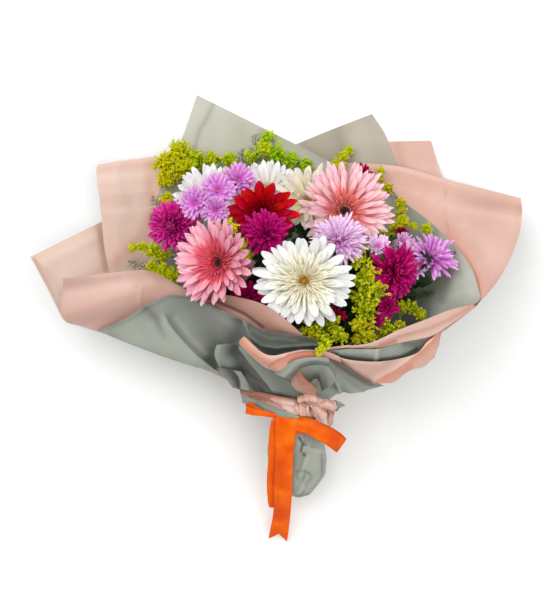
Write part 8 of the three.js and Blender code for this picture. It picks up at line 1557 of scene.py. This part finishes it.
G_STYLE = {
    "gerbera_white_front": (dict(n1=20, n2=19, n3=11, l3=0.80, w=0.192, cup=0.05, blunt=0.38, tip=0.72, mid=5, inner=((34, 0.64, 0.075, 0.22), (40, 0.56, 0.06, 0.36), (46, 0.47, 0.05, 0.52), (48, 0.38, 0.042, 0.70), (46, 0.30, 0.034, 0.9)), inner_bend=-0.3, eye=0.06, cl=0.17, fill=((26, 3.0), (20, 3.2), (14, 3.4))), ("WHITE", "CREAM", "EYE_GOLD", "CALYX", "GOLD_IN", "IVORY")),
    "gerbera_pink_left": (dict(n1=25, n2=23, n3=19, l3=0.86, w=0.172, bend=-0.05, cl=0.24, blunt=0.22, tip=0.74, inner=((40, 0.62, 0.045, 0.18), (46, 0.52, 0.042, 0.30), (46, 0.40, 0.035, 0.45), (36, 0.32, 0.03, 0.6)), eye=0.085), ("PINK", "PINK_IN", "EYE_DARK", "CALYX")),
    "gerbera_pink_right": (dict(n1=28, n2=26, n3=22, n4=16, l3=0.88, l4=0.72, w=0.128, blunt=0.22, tip=0.74, inner=((44, 0.52, 0.042, 0.32), (44, 0.42, 0.035, 0.46), (40, 0.32, 0.03, 0.6)), eye=0.085, cl=0.24), ("PINK_PALE", "CORAL_IN", "EYE_DARK", "CALYX")),
    "gerbera_red": (dict(n1=15, n2=14, n3=11, l3=0.8, w=0.27, bend=-0.15, blunt=0.32, tip=0.66, inner=((30, 0.55, 0.06, 0.4), (26, 0.4, 0.05, 0.7)), eye=0.12), ("RED", "RED_IN", "EYE_DARK", "CALYX")),
    "gerbera_white_back_left": (dict(n1=21, n2=19, n3=14, l3=0.8, w=0.185, blunt=0.22, tip=0.72), ("SNOW", "CREAM", "EYE_GOLD", "CALYX")),
    "gerbera_white_back_mid": (dict(n1=21, n2=19, n3=15, w=0.185, blunt=0.22, tip=0.72), ("SNOW", "CREAM", "EYE_GOLD", "CALYX")),
    "gerbera_white_back_right": (dict(n1=21, n2=19, n3=14, w=0.18, blunt=0.22, tip=0.72), ("IVORY", "CREAM", "EYE_GOLD", "CALYX")),
}
M_STYLE = {
    "magenta_left": (dict(n=330, w=0.135, blunt=0.4, l1=0.92, l0=0.36, up=80, curl_in=62, curl_out=-18, pw=1.2, cup=0.3), "MAGENTA"),
    "magenta_mid": (dict(n=210, w=0.16, l1=0.88, l0=0.42, up=58, curl_in=16, mess=1.6, wave=0.5, cup=0.2), "PLUM"),
    "magenta_right": (dict(n=210, w=0.215, blunt=0.42, l1=1.02, mess=1.5, wave=0.4, cup=0.22, curl_in=40), "CERISE"),
    "magenta_low": (dict(n=90, w=0.26, l1=1.22, l0=0.5, mess=1.4), "CERISE"),
    "crimson": (dict(n=50, w=0.28, l1=1.1, mess=1.4), "CRIMSON"),
    "lilac_left": (dict(n=34, daisy=((19, 1.22), (17, 1.12), (15, 0.92), (11, 0.62)), w=0.27, eye=0.10, rise=0.12, blunt=0.26, lift=0.2), "LILAC"),
    "lilac_mid": (dict(n=230, w=0.125, l0=0.30, l1=0.95, up=64, curl_in=34, curl_out=-6, cup=0.18, blunt=0.3, tip=0.74, pw=1.1, groove=0.2), "LILAC_PALE"),
    "lilac_small": (dict(n=34, daisy=((15, 1.15), (13, 0.95), (10, 0.65)), w=0.3, eye=0.13, rise=0.3, blunt=0.26), "LILAC_PALE"),
    "lilac_right": (dict(n=112, w=0.165, up=62, curl_in=36, curl_out=-10, l0=0.42, l1=1.02, cup=0.16, blunt=0.28, tip=0.74, groove=0.2, mess=1.5), "LILAC"),
    "lilac_back": (dict(n=26, daisy=((17, 1.22), (15, 1.08), (11, 0.7)), w=0.28, eye=0.10, rise=0.1, blunt=0.26), "ORCHID"),
    "blush": (dict(n=60, w=0.2, mess=1.3), "BLUSH"),
}
GOLD_IN = petal_mat("florets_gold", [(0, (150, 110, 30)), (0.5, (200, 156, 62)), (1, (226, 196, 120))], (150, 104, 30), 0.5)
for k, f in enumerate(FLOWERS):
    r = np.random.default_rng(5000 + k)
    b = Build()
    name = f["name"]
    path = resample(f["stem"], 60)
    sr = f["stem_radius"]
    if f["kind"] == "gerbera":
        style, mats = G_STYLE[name]
        mats = [globals()[m] for m in mats]
        table = [*mats[:4], STEM, *mats[4:]]
        for h in f["heads"]:
            if name == "gerbera_pink_left":
                h = dict(h, n=[-0.48, 0.06, 0.87], R=h["R"] * 0.94)
            if name == "gerbera_white_back_left":
                h = dict(h, c=[h["c"][0] + 5, h["c"][1] - 4, h["c"][2]])
            if name == "gerbera_white_back_right":
                h = dict(h, c=[h["c"][0] - 4, h["c"][1] - 1, h["c"][2] + 9])
            gerbera(b, h, style, r, (0, 1, 2, 3) + tuple(range(5, 1 + len(mats))))
            flat = {"gerbera_white_front": 0.9, "gerbera_red": 0.84}.get(name, 1)
            for v in b.v:  # these two heads are seen a little from the side
                v[:, 1] = h["c"][1] + (v[:, 1] - h["c"][1]) * flat
            if name == "gerbera_pink_left":  # the lower petals lie on the edge of the paper
                for q in range(len(b.v)):
                    v = b.v[q]
                    px, py = seen(v)
                    v[:, 2] += 18.0 * np.clip((py - 284) / 16, 0, 1.2) * (px < 236)
        tube(b, path, sr * 0.92, 12, 4, r=float(r.uniform(0, 1)))
    else:
        key = [q for q in M_STYLE if q in name]
        style, mat = M_STYLE[key[0]]
        table = [globals()[mat], EYE_GREEN, CALYX, STEM, LEAF]
        tube(b, path, sr * 0.92, 10, 3, r=float(r.uniform(0, 1)))
        fork = np.array(f["stem"][-1])
        for h in f["heads"]:
            st = dict(style)
            if "lilac_mid" in name:
                h = dict(h, c=[h["c"][0] - 2, h["c"][1] - 4, h["c"][2]], n=[0.04, 0.52, 0.85])
            if "magenta_mid" in name:
                h = dict(h, c=[h["c"][0] + 1, h["c"][1] - 5, h["c"][2]], R=h["R"] * 0.93)
            if "crimson_back" in name and h["c"][0] < 120:
                h = dict(h, c=[h["c"][0] + 1, h["c"][1] + 2, h["c"][2] + 4], R=h["R"] * 1.12)
            if "magenta_low" in name and h["c"][1] > 0:
                h = dict(h, c=[h["c"][0] - 4, h["c"][1] - 4, h["c"][2]], R=h["R"] * 1.18)
            if h["R"] < 18 and st["n"] > 60:
                st["n"] = int(44 + h["R"] * 2)
                st["w"] = st["w"] * 1.3
            mum(b, h, st, r, (0, 1, 2))
            c, n = np.array(h["c"]), norm(h["n"])
            if len(f["heads"]) > 1:
                d = np.linalg.norm(c - fork)
                ctl = [fork, fork * 0.5 + (c - n * d * 0.3) * 0.5, c - n * d * 0.14, c - n * 1.0]
                tube(b, resample(ctl, 20), max(1.5, sr - 0.5) * 0.9, 8, 3, r=float(r.uniform(0, 1)))
        if "lilac_mid" in name:  # a leafy side shoot fills the gap beside this head
            root = np.array(spot(309, 246, 100))
            for (px, py, z), width in (((296, 219, 96), 13), ((303, 212, 92), 12), ((312, 216, 92), 13), ((299, 232, 104), 14), ((292, 240, 104), 12), ((316, 226, 98), 13), ((306, 224, 106), 11)):
                tip = np.array(spot(px, py, z))
                leaf(b, root, norm(tip - root), norm(np.array([0, 0, 1.0]) + 0.3 * r.normal(size=3)), float(np.linalg.norm(tip - root)), width, 4, r)
            tube(b, resample([root, (root + path[44]) / 2 + np.array([0, 0, -3.0]), path[44]], 16), 1.1, 8, 3, r=0.5)
        # leaves on the upper stem, turned to the middle of the bunch
        P = path[[q for q in range(60) if (path[q] - NK) @ A > 62]]
        for i in range(14 if len(P) > 8 else 0):
            j = 1 + int(i * (len(P) - 4) / 14)
            d = norm(P[j + 1] - P[j - 1])
            o = norm(inward(P[j], d) + 0.9 * norm(np.cross(d, r.normal(size=3))))
            leaf(b, P[j] + o * sr * 0.6, norm(o + d * r.uniform(0.5, 1.1)), norm(np.array([0, 0, 1.0]) + 0.4 * r.normal(size=3)), r.uniform(28, 44), r.uniform(18, 27), 4, r)
    ob = b.object(name + "_bloom", table)
    add_piece(ob, name, SLOTS[name])

# ---------------------------------------------------------------- goldenrod
SOL_MAT = {"solidago_back_left": SOL_YELLOW, "solidago_back_mid": SOL_LIME, "solidago_back_right": SOL_YELLOW, "solidago_right_tip": SOL_OLIVE, "solidago_left_low": SOL_YELLOW, "solidago_right_mid": SOL_YELLOW,
           "solidago_mid_right": SOL_OLIVE, "solidago_front": SOL_OLIVE, "solidago_right_low": SOL_OLIVE, "solidago_mid_left": SOL_YELLOW}
for k, s in enumerate(SPRAYS):
    r = np.random.default_rng(7000 + k)
    b = Build()
    path = resample(s["stem"], 50)
    tube(b, path, s["stem_radius"] * 0.9, 8, 1, r=0.5)
    blobs = np.array(s["tufts"], float)
    if s["name"] == "solidago_mid_left":
        blobs[0] += (-1.5, 0.5, 14.0, 1.4)
    if s["name"] == "solidago_front":
        blobs = np.vstack([[spot(319, 354, 217) + [2.6], spot(321, 349.5, 219) + [4.6], spot(324.5, 344, 216) + [6.4]], blobs])
    spine = resample(np.vstack([path[-1], blobs[::-1, :3][1:]]) if len(blobs) > 2 else blobs[::-1, :3], 60)
    tube(b, spine, np.linspace(1.1, 0.5, 60), 6, 1, r=0.6)
    for x, y, z, R in blobs:
        c = np.array([x, y, z])
        j = np.argmin(np.linalg.norm(spine - c, axis=1))
        fwd = norm(spine[min(j + 2, 59)] - spine[max(j - 2, 0)])
        hue = 0.5 + 0.3 * math.sin(x * 0.11 + y * 0.07 + k)
        if s["name"] == "solidago_back_left":
            hue = 0.95 if x < -118 else 0.55 if x < -96 else 0.1
        if s["name"] == "solidago_mid_left":
            hue = 0.9
        if s["name"] == "solidago_back_mid":
            hue = 0.95 if x < -12 else 0.15
        R = R * 1.06
        share = 1.25 if "back_left" in s["name"] or "left_low" in s["name"] else 0.8 if SOL_MAT[s["name"]] is SOL_OLIVE else 1
        for _ in range(int((26 + R * 4.2) * share)):
            d = norm(r.normal(size=3) + fwd * 0.3 + np.array([0, 0, 0.4]))
            L = R * r.uniform(0.62, 1.12)
            start = c + r.normal(size=3) * R * 0.2 - d * R * 0.08
            droop = norm(np.cross(d, r.normal(size=3))) * L * 0.28
            ts = np.linspace(0, 1, 4)[:, None]
            tube(b, start + d * L * ts + droop * ts**2, 0.22, 3, 1, r=0.7, cap=True)
            n = max(6, int(L / 0.36))
            q = np.sqrt(r.uniform(0.05, 1.0, n))
            at = start + d * L * q[:, None] + droop * (q**2)[:, None]
            side = norm(r.normal(size=(n, 3)))
            side = norm(side - (side @ d)[:, None] * d)
            rad = r.uniform(0.38, 0.80, n)
            at = at + side * r.uniform(0.5, 1.5, (n, 1))
            beads(b, at, rad, side * 0.6 + d, 1.5, 0, t=np.clip((np.linalg.norm(at - c, axis=1) / R) ** 1.5 * r.uniform(0.55, 1.2, n), 0, 1), r=np.clip(hue + r.normal(0, 0.2, n), 0, 1), solid=OCTA)
    # narrow leaves on the stem under the plume
    P = path[[q for q in range(50) if (path[q] - NK) @ A > 56]]
    for i in range(10 if len(P) > 8 else 0):
        j = 1 + int(i * (len(P) - 4) / 10)
        d = norm(P[j + 1] - P[j - 1])
        o = norm(inward(P[j], d) + 1.1 * norm(np.cross(d, r.normal(size=3))))
        leaf(b, P[j], norm(o + d * r.uniform(0.6, 1.4)), norm(np.array([0, 0, 1.0]) + 0.4 * r.normal(size=3)), r.uniform(22, 34), r.uniform(5, 8), 2, r, lobes=0)
    ob = b.object(s["name"] + "_spray", [SOL_MAT[s["name"]], TWIG, BLADE], sharp=0)
    add_piece(ob, s["name"], SLOTS[s["name"]])

# ---------------------------------------------------------------- fern
for k, s in enumerate(FERNS):
    r = np.random.default_rng(8000 + k)
    b = Build()
    path = resample(s["stem"], 40)
    tube(b, path, s["stem_radius"] * 0.85, 8, 0, r=0.4)
    fork = path[-1]
    for T_ in s["tips"]:
        tip = np.array(T_)
        L = np.linalg.norm(tip - fork)
        mid = (fork + tip) / 2 + np.array([0, 0, L * 0.05])
        main = resample([fork, mid, tip], 40)
        tube(b, main, np.linspace(0.8, 0.28, 40), 6, 0, r=0.5)
        d = norm(tip - fork)
        flat = norm(np.cross(d, [0, 0, 1.0]))
        for i in range(13, 39, 2):
            for q in (1, -1):
                u = (i - 13) / 26
                ln = L * 0.19 * (1.1 - u) * r.uniform(0.6, 1.15)
                dd = norm(q * flat + d * 1.0 + r.normal(size=3) * 0.25)
                ts = np.linspace(0, 1, 6)[:, None]
                seg = main[min(i + (q > 0), 39)] + dd * ln * ts + np.array([0, 0, -0.08 * ln]) * ts**2
                tube(b, seg, np.linspace(0.26, 0.12, 6), 4, 0, r=0.6)
                m = max(4, int(ln / 2.4))
                for w in np.linspace(0.2, 1.0, m):
                    base = seg[0] + dd * ln * w
                    for z in range(3):
                        nd = norm(dd * 0.7 + r.normal(size=3) * 0.8)
                        tube(b, np.stack([base, base + nd * r.uniform(3.0, 6.0)]), np.array([0.15, 0.06]), 3, 0, t=0.3 + 0.7 * w, r=float(r.uniform(0, 1)))
    ob = b.object(s["name"] + "_frond", [FERN])
    add_piece(ob, s["name"], SLOTS[s["name"]])

# ---------------------------------------------------------------- floor and light
bpy.ops.mesh.primitive_plane_add(size=8, location=(0, 0, 0))
floor = bpy.context.object
floor.name = "floor"
floor.data.materials.append(floor_material())
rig.stage(floor)


def area_light(name, loc, target, size, power, colour=(1, 1, 1)):
    d = bpy.data.lights.new(name, "AREA")
    d.shape = "RECTANGLE"
    d.size, d.size_y = size
    d.energy = power
    d.color = colour
    o = bpy.data.objects.new(name, d)
    o.location = loc
    o.rotation_euler = (Vector(target) - Vector(loc)).to_track_quat("-Z", "Y").to_euler()
    bpy.context.collection.objects.link(o)
    return o


area_light("key", (-0.8, 1.0, 1.9), (0, 0, 0.1), (1.6, 1.6), 22)
area_light("fill", (1.3, -0.7, 1.7), (0, 0, 0.1), (1.8, 1.8), 15)
area_light("top", (0.0, 0.2, 2.9), (0, 0, 0), (2.2, 2.2), 31)
world = bpy.data.worlds.new("world")
world.use_nodes = True
world.node_tree.nodes["Background"].inputs[0].default_value = (1, 1, 1, 1)
world.node_tree.nodes["Background"].inputs[1].default_value = 0.40
bpy.context.scene.world = world
bpy.context.scene.view_settings.view_transform = "Standard"

for ob, wide, tall, area in sheet_objects:
    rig.sheet(ob, flat=(round(wide * MM, 4), round(tall * MM, 4)), area=round(min(area, wide * tall) * MM * MM, 6), held="gathered", rests_on=["twine"])

for ob, wide, tall, area in ribbon_objects:
    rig.sheet(ob, flat=(round(max(wide, 10) * MM, 4), round(tall * MM, 4)), held="gathered", rests_on=["satin_band"])
vis_lo, vis_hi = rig.bounds()
with open("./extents.json", "w") as fh:
    json.dump({"cad": [list(map(float, cad_lo)), list(map(float, cad_hi))], "visual": [list(map(float, vis_lo)), list(map(float, vis_hi))]}, fh)
